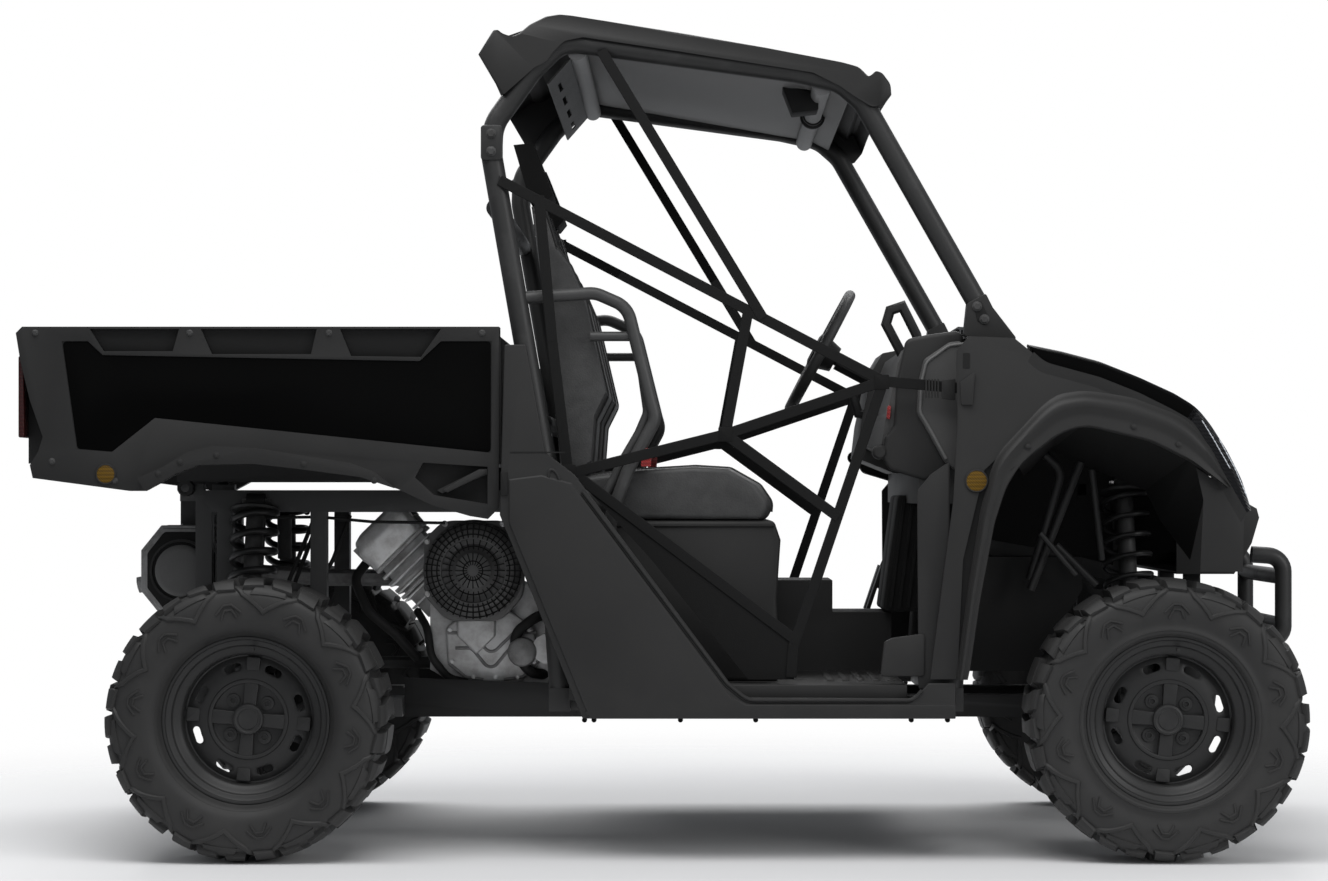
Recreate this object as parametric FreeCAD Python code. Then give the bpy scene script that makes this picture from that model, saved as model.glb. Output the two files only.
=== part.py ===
import FreeCAD, Part
import math
import os

# Side by side utility vehicle, in millimetres. X runs forward, Y to the vehicle's left, Z up.
# The origin lies on the ground, under the middle of the overall length and width.
# Lengths along X follow LENGTH, lengths across follow WIDTH, the frame's heights follow the
# axle, and the cab's heights follow HEIGHT. Values whose names end in share are parts of these.
V = FreeCAD.Vector
os.makedirs("parts", exist_ok=True)

# Overall
LENGTH = 3046.0
WIDTH = 1560.0
HEIGHT = 1990.0
TYRE_R = 330.0
front_axle_share = 0.378201
rear_axle_share = -0.322718
belt_share = 0.547101
HALF = WIDTH / 2
FRONT_X = LENGTH * front_axle_share
REAR_X = LENGTH * rear_axle_share
TAIL_X = -LENGTH / 2
NOSE_X = LENGTH / 2
SKIN = 6.0              # moulded panels
SEAT_GAP = 0.3          # between pieces that sit on each other
MOVE_GAP = 6.0          # between pieces that move past each other
RUN_GAP = 0.08          # radial, a shaft in its bore
OVERRUN = 20.0          # how far a cut runs past what it cuts
RECESS = 3.0            # how deep a shallow recess is

# Heights above the axle line
SILL_Z = TYRE_R + 4.0
FLOOR_Z = TYRE_R + 80.0
RAIL_Z = TYRE_R + 2.0
DIFF_Z = TYRE_R + 90.0
PROP_Z = DIFF_Z + 6.0
HITCH_Z = DIFF_Z
LOWER_ARM_Z = TYRE_R + 30.0
UPPER_ARM_Z = TYRE_R + 270.0
REAR_LOWER_ARM_Z = TYRE_R + 70.0
MUFFLER_Z = TYRE_R + 334.0
UPPER_Z = TYRE_R + 506.0
SHOCK_BAR_Z = TYRE_R + 550.0
BED_LOW_Z = TYRE_R + 465.0
BED_FLOOR_Z = TYRE_R + 595.0
BED_TOP_Z = TYRE_R + 914.0
ENGINE_LOW_Z = TYRE_R - 30.0
ENGINE_TOP_Z = TYRE_R + 550.0
BELT_Z = SILL_Z + (HEIGHT - SILL_Z) * belt_share

# Tyres and rims
TREAD_H = 13.0
CARCASS_R = TYRE_R - TREAD_H
FRONT_TYRE_W = 230.0
REAR_TYRE_W = 280.0
FRONT_Y = HALF - FRONT_TYRE_W / 2
REAR_Y = HALF - REAR_TYRE_W / 2
BEAD_R = 178.0
BEAD_W = 170.0
FLANGE_R = 194.5
FLANGE_T = 13.0
RIM_WALL = 7.0
DISC_T = 8.0
DISC_IN = 34.0
HUB_R = 62.0
HUB_L = 44.0
SPINDLE_R = 16.0
CAP_R = 30.0
CAP_L = 22.0
STUD_R = 55.0
NUT_R = 11.0
NUT_L = 14.0
SLOT_RING_R = 124.0
SLOT_R = 12.0
SLOT_HALF = 12.0
SLOTS = 8
RING_SIDES = 40
DISC_SIDES = 20
STUDS = 4
LUGS = 20
LUG_W = 42.0
LUG_SIDE = 36.0
belly_share = 0.5
shoulder_share = 0.84
tread_share = 0.74
lug_taper_share = 0.9
lug_start_share = 0.08

# Front knuckles, tie rods and steering
KING_IN = 77.0
KING_Y = FRONT_Y - KING_IN
UPRIGHT_W = 56.0
UPRIGHT_H = 160.0
KING_PIN_R = 9.0
KING_PIN_L = 26.0
STEER_ARM_L = 104.0
STEER_ARM_IN = 22.0
STEER_ARM_Z = TYRE_R + 10.0
STEER_ARM_T = 14.0
STEER_ARM_W = 30.0
TIE_ROD_Z = STEER_ARM_Z + 54.0
TIE_ROD_R = 8.0
BALL_R = 15.0
SHOULDER_R = 42.0
RACK_X = FRONT_X - STEER_ARM_L
RACK_R = 22.0
RACK_HALF = 150.0
WHEEL_R = 168.0
GRIP_R = 14.0
GRIP_SIDES = 16
GRIP_SECTION = 6
SPOKE_W = 30.0
spoke_turns = (-12.0, 192.0, 270.0)
COLUMN_TILT = 28.0
COLUMN_R = 14.0
JACKET_R = 25.0
WHEEL_BOSS_R = 34.0
WHEEL_BOSS_L = 46.0
COLUMN_FOOT_Y = 120.0
KNEE_BACK = 208.0
KNEE_Y = 270.0
wheel_hub_share = (0.86804, 0.540459)
knee_share = (1.180412, 0.160628)

# Roll cage and roof
TUBE_R = 25.0
TUBE_Y = HALF - 150.0
TUBE_BEND = 75.0
CROSS_R = 22.0
ROOF_Y = TUBE_Y + 31.0
ROOF_PAD = 60.0
FOOT_PLATE_T = 12.0
TUBE_SIDES = 8
CAGE_FOOT_Z = FLOOR_Z - 10.0
roof_low_share = 0.824879

# Frame
RAIL_W = 44.0
RAIL_H = 50.0
RAIL_Y = 190.0
PAN_T = 5.0
OUTRIGGER = 34.0
OUTRIGGER_LOW = SILL_Z + 11.0
OUTRIGGER_Y = TUBE_Y - 13.0
outrigger_shares = (-0.086014, 0.014773, 0.115561, 0.216678)
OUTRIGGER_XS = [LENGTH * share for share in outrigger_shares]
rail_rear_share = -0.217334
RAIL_REAR_X = LENGTH * rail_rear_share
UPPER_Y = 262.0
UPPER_H = 54.0
UPPER_W = 40.0
RISE_BACK = 38.0
RISE_DROP = 136.0
BEND_BACK = 158.0
MID_BAR_BACK = 298.0
TOWER_X = REAR_X - 167.0
POST_W = 40.0
HITCH_HALF = 32.0
HITCH_HOLE_HALF = 25.6
HITCH_L = 225.0
HITCH_X = TOWER_X - 210.0
PIN_R = 8.0
PIN_IN = 35.0
NOSE_Y = 215.0
NOSE_BAR = 38.0
BAY_REAR_X = FRONT_X - 132.0
BAY_FRONT_X = FRONT_X + 133.0
BAY_MID_X = FRONT_X - 192.0
BAY_MID_Z = TYRE_R + 360.0
BAY_LOW_Z = TYRE_R + 280.0
BAY_POST_Z = TYRE_R + 345.0
nose_bar_zs = (TYRE_R + 230.0, TYRE_R + 130.0)
RAIL_FRONT_X = BAY_FRONT_X - 23.0
cowl_share = (1.170103, 0.245169)
SHOCK_X = FRONT_X - 45.0
SHOCK_BAR_Y = NOSE_Y + 90.0
BUMPER_R = 21.0
BUMPER_Y = NOSE_Y + 55.0
BUMPER_BEND = 60.0
BUMPER_IN = 103.0
BUMPER_FOOT_Z = TYRE_R + 190.0
BUMPER_LOW_Z = TYRE_R + 160.0
BUMPER_TOP_Z = TYRE_R + 370.0
BUMPER_RISE = 10.0
bumper_bar_zs = (TYRE_R + 320.0, TYRE_R + 200.0)

# Cargo bed
BED_OUT = HALF - 80.0
BED_IN = BED_OUT - 60.0
BED_FLARE = BED_OUT + 36.0
bed_front_share = -0.13132
BED_RAIL_H = 22.0
BED_HINGE_X = TOWER_X - 38.0
BED_HINGE_Z = UPPER_Z + 32.0
BED_BEAM_Y = UPPER_Y + 48.0
BED_BEAM_W = 40.0
BED_BEAM_Z = UPPER_Z + 48.0
BED_RIBS = 9
HINGE_R = 20.0
PIN_SIDES = 12
GATE_PIN_R = 5.0
GATE_PIN_L = 24.0
GATE_Y = BED_IN - 52.0
GATE_T = 24.0
GATE_GAP = 9.0
LAMP_T = 14.0
LAMP_LOW_Z = BED_FLOOR_Z + 60.0
LAMP_TOP_Z = BED_TOP_Z - 69.0
brace_shares = (0.12, 0.82)
gate_panel_shares = (-0.62, 0.0, 0.62)

# Hood, fenders, sills and floor
HOOD_PIN_R = 5.0
HOOD_BARREL_R = 10.0
HOOD_HINGE_IN = 120.0
HOOD_HINGE_L = 50.0
HOOD_LIFT = 14.0
HOOD_SET = 12.0
HOOD_Y = HALF - 360.0
HOOD_HINGE_Y = HOOD_Y - HOOD_HINGE_IN
hood_hinge_share = (0.17027, 0.977925)
FENDER_OUT = HALF - 52.0
FENDER_FLARE = FENDER_OUT + 24.0
FENDER_SET = 30.0
LINER_T = 5.0
WELL_Y = HALF - 400.0
ARCH_IN = 330.0
WELL_TOP_Y = NOSE_Y - NOSE_BAR / 2 - LINER_T - MOVE_GAP
FASCIA_Y = HOOD_Y - 20.0
GRILLE_BARS = 4
LAMP_Y = HALF - 90.0
SILL_OUT = HALF - 44.0
SILL_T = 20.0
SILL_DROP = 40.0
FLOOR_T = 5.0
FLOOR_Y = SILL_OUT - 36.0
TUNNEL_Y = 120.0
TUNNEL_Z = FLOOR_Z + 148.0
CONSOLE_Z = FLOOR_Z + 228.0
RIB_W = 16.0
RIB_H = 4.0
RIBS = 5
RIB_PITCH = 36.0

# Cab
SEAT_IN = 140.0
SEAT_OUT = TUBE_Y - 74.0
SEAT_Y = (SEAT_IN + SEAT_OUT) / 2
BOLSTER = 40.0
HEAD_HALF = 103.0
HEAD_POST_R = 7.0
DASH_Y = TUBE_Y - 34.0
WHEEL_Y = SEAT_Y - 18.0
STRAP_W = 25.0
STRAP_T = 3.0
HIP_R = 15.0
HIP_Y = TUBE_Y - 40.0
HIP_BEND = 45.0
GRAB_R = 12.0
PEDAL_W = 60.0
PEDAL_T = 8.0
PEDAL_LEFT = 80.0
SHIFT_R = 12.0
SHIFT_Y = 190.0
THIN_SIDES = 6

# Engine, exhaust, driveline and suspension
CASE_Y = 150.0
CYL_Y = 90.0
FINS = 6
FILTER_R = 38.0
FILTER_L = 60.0
CVT_IN = CASE_Y + SEAT_GAP
CVT_T = 80.0
CVT_R = 122.0
CVT_BOSS_R = 52.0
CVT_STEP = 14.0
CVT_SIDES = 16
CVT_RIBS = 8
MUFFLER_X = TOWER_X - 63.0
MUFFLER_Y = 230.0
MUFFLER_W = 92.0
MUFFLER_H = 104.0
MUFFLER_RIM = 8.0
PIPE_R = 22.0
PIPE_Y = 40.0
PROP_R = 16.0
DIFF_R = 78.0
DIFF_Y = 80.0
HALF_SHAFT_R = 15.0
BOOT_R = 34.0
BOOT_L = 70.0
HUB_IN = 120.0
REAR_POST_W = 80.0
REAR_POST_T = 30.0
REAR_POST_UP = 100.0
REAR_POST_DOWN = 90.0
REAR_BALL_UP = 80.0
REAR_BALL_DOWN = 70.0
ARM_W = 30.0
ARM_T = 24.0
BALL_DROP = 116.0
ARM_SPAN = 115.0
SHOCK_BAR_R = 11.0
SHOCK_BAR_HALF = 60.0
FRONT_SHOCK_DROP = 48.0
REAR_SHOCK_DROP = 12.0
FRONT_SHOCK_IN = 158.0
REAR_SHOCK_IN = 95.0
SHOCK_OUT = 65.0
REAR_SHOCK_OUT = 38.0
SHOCK_LEAN = 13.0
REAR_SHOCK_X = REAR_X - 36.0
REAR_SHOCK_LEAN = 9.0
DAMPER_R = 22.0
ROD_R = 9.0
SPRING_R = 46.0
WIRE = 11.0
SPRING_TURNS = 5
SPRING_SIDES = 6
FRONT_SPRING_L = 250.0
REAR_SPRING_L = 220.0
PERCH_T = 8.0
PERCH_IN = 20.0
damper_share = 0.62

# Side frames in which outlines are read: low x, high x, low z, high z
side_shares_x = (-0.130007, 0.22981)
fender_shares_x = (0.190414, 0.433355)
cab_shares_x = (-0.149376, 0.169074)
nose_back_share = 0.400525
nose_shares_z = (0.117, 0.60265)
rear_shares_x = (-0.393959, -0.078792)


def side_frame(shares_x, z0, z1):
    """A side frame between two shares of the length."""
    return (LENGTH * shares_x[0], LENGTH * shares_x[1], z0, z1)


BED = (TAIL_X, LENGTH * bed_front_share, BED_LOW_Z, BED_TOP_Z)
SIDE = side_frame(side_shares_x, SILL_Z, BELT_Z)
FENDER = side_frame(fender_shares_x, SILL_Z, BELT_Z)
CAB = side_frame(cab_shares_x, SILL_Z, HEIGHT)
ROOF = side_frame(cab_shares_x, SILL_Z + (HEIGHT - SILL_Z) * roof_low_share, HEIGHT)
NOSE = (LENGTH * nose_back_share, NOSE_X, *(SILL_Z + (BELT_Z - SILL_Z) * share for share in nose_shares_z))
REAR = side_frame(rear_shares_x, ENGINE_LOW_Z, ENGINE_TOP_Z)

bed_shares = (
    (0.013, 0.997), (1, 0.997), (1, 0.058), (0.977, 0.001), (0.94, 0.016), (0.861, 0.073),
    (0.791, 0.156), (0.716, 0.218), (0.588, 0.26), (0.495, 0.286), (0.381, 0.28), (0.34, 0.239),
    (0.271, 0.146), (0.236, 0.146), (0.035, 0.213), (0.029, 0.28), (0.046, 0.348), (0.056, 0.425),
    (0.029, 0.617), (0.009, 0.824), (0, 0.964),
)
bed_inset_shares = (
    (0.095, 0.922), (0.149, 0.922), (0.18, 0.85), (0.836, 0.819), (0.88, 0.922), (0.985, 0.922),
    (0.985, 0.343), (0.288, 0.524), (0.199, 0.348), (0.126, 0.363),
)
bed_pocket_shares = (
    ((0.153, 0.985), (0.338, 0.985), (0.325, 0.87), (0.182, 0.87)),
    ((0.383, 0.985), (0.623, 0.985), (0.611, 0.855), (0.406, 0.855)),
    ((0.671, 0.985), (0.88, 0.985), (0.839, 0.84), (0.694, 0.845)),
)
bed_latch_shares = ((0.836, 0.31), (0.985, 0.285), (0.985, 0.06), (0.861, 0.115), (0.818, 0.22))
bed_lever_shares = ((0.872, 0.15), (0.882, 0.135), (0.975, 0.232), (0.975, 0.26), (0.96, 0.26))
bed_flare_shares = (
    (0.257, 0.213), (0.309, 0.27), (0.36, 0.348), (0.412, 0.379), (0.495, 0.368), (0.692, 0.291),
    (0.743, 0.244), (0.785, 0.161), (0.716, 0.218), (0.588, 0.26), (0.495, 0.286), (0.381, 0.28),
    (0.34, 0.239), (0.271, 0.146),
)
side_shares = (
    (0.01, 0.955), (0.055, 0.955), (0.095, 0.681), (0.158, 0.622), (0.497, 0.072), (0.524, 0.054),
    (0.867, 0.051), (0.892, 0.072), (0.905, 0.09), (0.962, 0.09), (0.962, 0), (0.175, 0), (0, 0.52),
)
side_fold_shares = (
    (0.088, 0.62), (0.152, 0.6), (0.487, 0.056), (0.52, 0.036), (0.962, 0.036), (0.962, 0),
    (0.19, 0), (0.02, 0.5), (0.02, 0.61),
)
fender_shares = (
    (0.11, 0.941), (0.15, 0.977), (0.291, 0.972), (0.369, 0.92), (0.557, 0.869), (0.744, 0.801),
    (0.838, 0.75), (0.869, 0.711), (0.994, 0.584), (0.957, 0.589), (0.838, 0.66), (0.713, 0.711),
    (0.51, 0.75), (0.432, 0.732), (0.275, 0.635), (0.229, 0.584), (0.207, 0.533), (0.166, 0.252),
    (0.15, 0.13), (0.142, 0.1), (0.028, 0.1), (0.032, 0.13), (0.1, 0.558), (0.113, 0.762),
)
fender_flare_shares = (
    (0.112, 0.1), (0.13, 0.405), (0.197, 0.635), (0.425, 0.808), (0.51, 0.826), (0.791, 0.77),
    (0.863, 0.7), (0.957, 0.589), (0.838, 0.66), (0.713, 0.711), (0.51, 0.75), (0.432, 0.732),
    (0.275, 0.635), (0.229, 0.584), (0.207, 0.533), (0.166, 0.252), (0.15, 0.13), (0.142, 0.1),
)
bonnet_shares = ((0.15, 0.977), (0.291, 0.972), (0.369, 0.92), (0.557, 0.869), (0.744, 0.801),
                 (0.838, 0.75), (0.869, 0.711), (0.994, 0.584))
hood_shares = ((0.172, 1.0), (0.291, 0.994), (0.369, 0.947), (0.557, 0.9), (0.744, 0.835),
               (0.869, 0.75), (1.0, 0.64), (1.035, 0.6))
nose_shares = ((0.0, 0.955), (0.46, 0.93), (0.64, 0.86), (0.66, 0.81), (0.6, 0.67), (0.46, 0.5), (0.0, 0.5))
grille_shares = ((0.52, 0.62), (0.62, 0.78), (0.3, 0.78), (0.3, 0.62))
lamp_shares = ((0.13, 0.985), (0.015, 1.215), (-0.012, 1.165), (0.08, 0.945))
roof_shares = (
    (0.004, 0.631), (0.041, 0.866), (0.082, 0.793), (0.169, 0.948), (0.199, 1), (0.927, 0.558),
    (0.964, 0.46), (0.983, 0.525), (1, 0.363), (0.971, 0.16), (0.903, 0.346), (0.866, 0.428),
    (0.247, 0.785), (0.199, 0.728), (0.15, 0.59), (0.065, 0.281),
)
roof_hollow_shares = (
    (0.06, 0.26), (0.045, 0.6), (0.085, 0.74), (0.178, 0.9), (0.205, 0.965), (0.915, 0.525),
    (0.955, 0.42), (0.965, 0.12), (0.903, 0.12), (0.247, 0.12), (0.15, 0.12),
)
rops_shares = (
    (0.2, 0.03), (0.161, 0.369), (0.035, 0.793), (0.038, 0.836), (0.13, 0.911), (0.195, 0.949),
    (0.238, 0.953), (0.77, 0.911), (0.878, 0.897), (0.934, 0.868), (1.253, 0.539), (1.185, 0.3),
    (1.148, 0.03),
)
crossbar_shares = ((0.24, 0.943), (0.043, 0.72), (0.14, 0.42), (0.835, 0.893), (1.23, 0.493))
hood_ear_shares = ((1.22, 0.493), (1.24, 0.493), (1.207, 0.54), (1.187, 0.54), (1.187, 0.53))
rops_foot_shares = ((1.165, 0.59), (1.215, 0.62), (1.32, 0.535), (1.19, 0.5))
rops_joint_shares = ((0.01, 0.835), (0.062, 0.835), (0.062, 0.785), (0.01, 0.785))
strap_shares = (
    ((0.055, 0.757), (0.98, 0.473)), ((0.98, 0.473), (1.205, 0.461)), ((0.15, 0.33), (0.6, 0.398)),
    ((0.6, 0.398), (0.655, 0.573)), ((0.6, 0.398), (0.98, 0.473)), ((0.6, 0.398), (0.88, 0.275)),
    ((0.975, 0.47), (0.79, 0.06)), ((0.15, 0.33), (0.79, 0.06)), ((0.3, 0.94), (0.665, 0.573)),
)
cushion_shares = (
    (0.223, 0.337), (0.284, 0.342), (0.382, 0.349), (0.528, 0.354), (0.614, 0.351), (0.687, 0.327),
    (0.716, 0.302), (0.714, 0.288), (0.699, 0.276), (0.26, 0.276), (0.23, 0.29),
)
back_shares = (
    (0.157, 0.727), (0.187, 0.67), (0.223, 0.641), (0.26, 0.591), (0.314, 0.455), (0.284, 0.42),
    (0.275, 0.35), (0.222, 0.332), (0.2, 0.332), (0.157, 0.591), (0.125, 0.727),
)
headrest_shares = (
    (0.077, 0.82), (0.126, 0.823), (0.157, 0.777), (0.174, 0.748), (0.156, 0.735), (0.12, 0.735),
)
base_shares = (
    (0.268, 0.2758), (0.72, 0.2758), (0.736, 0.248), (0.726, 0.162), (0.731, 0.105), (0.731, 0.046),
    (0.268, 0.046),
)
hip_shares = (
    (0.095, 0.591), (0.284, 0.6), (0.362, 0.58), (0.421, 0.441), (0.431, 0.42), (0.362, 0.345),
    (0.32, 0.28),
)
dash_shares = (
    (1.0, 0.505), (1.029, 0.534), (1.15, 0.548), (1.15, 0.346), (1.06, 0.346), (0.96, 0.37), (0.97, 0.42),
)
dash_shell_shares = (
    (1.02, 0.5), (1.035, 0.52), (1.17, 0.532), (1.17, 0.51), (1.21, 0.51), (1.21, 0.47), (1.17, 0.45),
    (1.17, 0.3), (1.07, 0.3), (1.07, 0.36), (0.98, 0.385), (0.99, 0.42),
)
glove_shares = ((0.9, 0.47), (1.0, 0.47), (1.0, 0.43), (0.9, 0.43))
firewall_shares = ((1.12, 0.345), (1.05, 0.119), (1.035, 0.046))
grab_shares = ((1.045, 0.51), (1.0, 0.56), (1.01, 0.58), (1.04, 0.586), (1.075, 0.545), (1.09, 0.51))
case_shares = ((0.62, 0.56), (0.8, 0.6), (0.95, 0.5), (0.95, 0.12), (0.86, 0.08), (0.74, 0.08), (0.62, 0.2))
side_beam_shares = ((0.56, 0.17), (1.0, 0.145), (1.0, 0.02), (0.83, 0.02), (0.56, 0.06))
octagon_shares = ((1, 0.45), (0.5, 1), (-0.5, 1), (-1, 0.45), (-1, -0.45), (-0.5, -1), (0.5, -1), (1,
                                                                                                   -0.45))
cvt_shares = ((1, 0.62), (0.62, 1), (-0.62, 1), (-1, 0.62), (-1, -0.5), (-0.55, -1.02), (0.55, -1.02), (1,
                                                                                                        -0.5))
cylinder_axis_shares = ((0.66, 0.5), (0.477083, 0.810345))
fin_shares = (0.3, 0.09, 0.035, 0.84)
filter_share = (0.927083, 0.293103)
cvt_spot_share = (0.7375, 0.627586)
pipe_shares = ((0.520833, 0.586207), (0.3125, 0.586207))
engine_bar_share = (0.802083, 0.0)
liner_shares = ((0.2, 0.53), (0.14, 0.1), (0.128, 0.1), (0.188, 0.535))
well_low_shares = ((0.18, 0.1), (0.45, 0.1), (0.49, 0.22), (0.56, 0.32), (0.56, 0.4), (0.18, 0.4))
well_top_shares = ((0.18, 0.4), (0.56, 0.4), (0.62, 0.37), (0.92, 0.42), (1.04, 0.46), (1.04, 0.53),
                   (0.845, 0.55),
                   (0.845, 0.69), (0.744, 0.76), (0.45, 0.86), (0.2, 0.93))
fender_leg_shares = ((0.86, 0.64), (0.957, 0.589), (0.994, 0.584), (1.012, 0.56), (1.005, 0.375), (0.872,
                                                                                                   0.375),
                     (0.882, 0.56))
arch_out_shares = ((0.3, 0.65), (0.432, 0.735), (0.51, 0.753), (0.713, 0.714), (0.838, 0.663), (0.9, 0.62))
arch_in_shares = ((0.36, 0.62), (0.445, 0.69), (0.526, 0.658), (0.753, 0.584), (0.801, 0.504), (0.899,
                                                                                                0.398))
well_slit_shares = ((0.575, 0.57), (0.605, 0.57), (0.605, 0.6), (0.575, 0.6))
roof_pad_shares = ((0.3, 0.945), (0.76, 0.88))
pedal_shares = ((0.99, 0.13), (1.03, 0.2), (1.12, 0.3))
shifter_shares = ((0.95, 0.47), (0.965, 0.44), (1.05, 0.43))
head_post_share = (0.142, 0.735)
floor_x_shares = (0.225, 1.035)
console_x_shares = (0.26, 0.882)
grille_row_shares = ((0.53, 0.6), (0.63, 0.8))


# Helpers
made = {}


def xz(frame, share):
    """Turns a share of a side frame into x and z."""
    x0, x1, z0, z1 = frame
    return x0 + (x1 - x0) * share[0], z0 + (z1 - z0) * share[1]


def at(frame, share, y):
    x, z = xz(frame, share)
    return V(x, y, z)


def face_of(points):
    return Part.Face(Part.makePolygon(list(points) + [points[0]]))


def side_plate(frame, shares, y0, y1):
    """Extrudes an outline read in side view from y0 to y1."""
    return face_of([at(frame, s, y0) for s in shares]).extrude(V(0, y1 - y0, 0))


def box(x0, x1, y0, y1, z0, z1):
    x0, x1, y0, y1, z0, z1 = min(x0, x1), max(x0, x1), min(y0, y1), max(y0, y1), min(z0, z1), max(z0, z1)
    return Part.makeBox(x1 - x0, y1 - y0, z1 - z0, V(x0, y0, z0))


def rod(a, b, r):
    return Part.makeCylinder(r, (b - a).Length, a, b - a)


def prism_rod(a, b, r, sides=8):
    """A thin rod with flat sides."""
    along = (b - a).normalize()
    one = along.cross(V(0, 0, 1) if abs(along.z) < 0.9 else V(1, 0, 0)).normalize()
    two = along.cross(one)
    turns = [2 * math.pi * (i + 0.5) / sides for i in range(sides)]
    return face_of([a + one * (r * math.cos(t)) + two * (r * math.sin(t)) for t in turns]).extrude(b - a)


def bar(a, b, wide, tall):
    """A straight rectangular bar from a to b: wide across, tall in the upright plane of its run."""
    along = (b - a).normalize()
    across = along.cross(V(0, 0, 1) if abs(along.z) < 0.9 else V(1, 0, 0)).normalize()
    up = across.cross(along)
    w, t = across * (wide / 2), up * (tall / 2)
    return face_of([a - w - t, a + w - t, a + w + t, a - w + t]).extrude(b - a)


def flat_r(r, sides=PIN_SIDES):
    """How far the flats of a flat sided rod lie from its middle."""
    return r * math.cos(math.pi / sides)


def bore(a, b, r):
    """The round hole in which a rod of radius r turns."""
    return rod(a, b, r + RUN_GAP)


def fuse(shapes):
    whole = shapes[0] if len(shapes) == 1 else shapes[0].multiFuse(list(shapes[1:]))
    return whole.removeSplitter()


def bend_points(points, bend, chords=1):
    """Rounds the corners of a path: each becomes chords of an arc of radius bend."""
    out = [points[0]]
    for a, b, c in zip(points, points[1:], points[2:]):
        u, w = (a - b).normalize(), (c - b).normalize()
        turn = math.pi - u.getAngle(w)
        reach = min(bend * math.tan(turn / 2), (a - b).Length * 0.45, (c - b).Length * 0.45)
        if turn < 0.45:
            out.append(b)
            continue
        radius = reach / math.tan(turn / 2)
        centre = b + (u + w).normalize() * (radius / math.cos(turn / 2))
        p, q = b + u * reach - centre, b + w * reach - centre
        for k in range(chords + 1):
            s = k / chords
            out.append(centre + (p * math.sin((1 - s) * turn) + q * math.sin(s * turn)) * (1 / math.sin(turn)))
    return out + [points[-1]]


def tube(points, r, sides=0):
    """A tube along a path of straight runs, mitred where they meet: round, or with flat sides."""
    runs = []
    for i, (a, b) in enumerate(zip(points, points[1:])):
        along = (b - a).normalize()
        first = i == 0
        last = i == len(points) - 2
        start = a if first else a - along * r
        end = b if last else b + along * r
        piece = prism_rod(start, end, r, sides) if sides else rod(start, end, r)
        for free, corner, near, far in ((first, a, along, (a - points[i - 1]).normalize() if i else along),
                                        (last, b, along * -1,
                                         (b - points[i + 2]).normalize() if not last else along)):
            if free:
                continue
            normal = (near + far).normalize()
            cutter = Part.makeBox(r * 8, r * 8, r * 4, V(-r * 4, -r * 4, -r * 4))
            cutter.Placement = FreeCAD.Placement(corner, FreeCAD.Rotation(V(0, 0, 1), normal))
            piece = piece.cut(cutter)
        runs.append(piece)
    return fuse(runs)


def mirrored(shape):
    return shape.mirror(V(0, 0, 0), V(0, 1, 0))


def both(shapes):
    return list(shapes) + [mirrored(s) for s in shapes]


def save(name, shapes):
    """Writes one node: the solids of a shape or of a list of shapes."""
    shapes = shapes if isinstance(shapes, list) else [shapes]
    solids = [solid for s in shapes for solid in s.Solids]
    whole = solids[0] if len(solids) == 1 else Part.makeCompound(solids)
    whole.exportStep("parts/" + name + ".step")
    made[name] = whole


def trimmed(shapes, *names):
    """Cuts each shape back from pieces that are already made, and keeps its largest solid."""
    rest = [s.cut(Part.makeCompound([made[n] for n in names])) for s in shapes]
    return [max(r.Solids, key=lambda solid: solid.Volume) for r in rest]


def flat_ring(centre, axis, section, sides, turn_share=0.0):
    """Turns a closed section of (radius, way along the axis) about an axis, in short straight runs."""
    one = axis.cross(V(0, 1, 0) if abs(axis.y) < 0.9 else V(0, 0, -1)).normalize()
    two = axis.cross(one)
    spots = []
    for k in range(sides):
        t = 2 * math.pi * (k + turn_share) / sides
        out = one * math.cos(t) + two * math.sin(t)
        spots.append([centre + out * a + axis * b for a, b in section])
    faces = []
    for here, there in zip(spots, spots[1:] + spots[:1]):
        for i in range(len(section)):
            j = (i + 1) % len(section)
            faces.append(face_of([here[i], here[j], there[j], there[i]]))
    return Part.Solid(Part.Shell(faces))


def round_section(r, half, sides):
    """The section of a ring of round bar: (radius, way along the axis)."""
    turns = (2 * math.pi * (i + 0.5) / sides for i in range(sides))
    return [(r + half * math.cos(t), half * math.sin(t)) for t in turns]


# Wheels, built round the origin with the outer face towards -Y
across = V(0, 1, 0)


def tyre(width):
    """A tyre: a ring in short flats, with lugs that reach down its shoulders by turns."""
    half, bead = width / 2, BEAD_W / 2 - SEAT_GAP
    inner = BEAD_R + SEAT_GAP
    belly = BEAD_R + (CARCASS_R - BEAD_R) * belly_share
    shoulder = BEAD_R + (CARCASS_R - BEAD_R) * shoulder_share
    side = half - RECESS
    shapes = [flat_ring(V(0, 0, 0), across, [
        (inner, -bead), (belly, -side), (CARCASS_R, -half * shoulder_share),
        (CARCASS_R, half * shoulder_share), (belly, side), (inner, bead)], RING_SIDES, 0.5)]
    root, start = CARCASS_R - TREAD_H, half * lug_start_share
    for i in range(LUGS):
        hand = 1 if i % 2 else -1
        points = [(root, -start), (TYRE_R, -start), (TYRE_R, half * lug_taper_share), (shoulder, half),
                  (shoulder - LUG_SIDE, half), (root, half * tread_share)]
        lug = face_of([V(r, hand * y, -LUG_W / 2) for r, y in points]).extrude(V(0, 0, LUG_W))
        lug.rotate(V(0, 0, 0), across, 360.0 * i / LUGS + 90.0)
        shapes.append(lug)
    return fuse(shapes)


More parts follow.
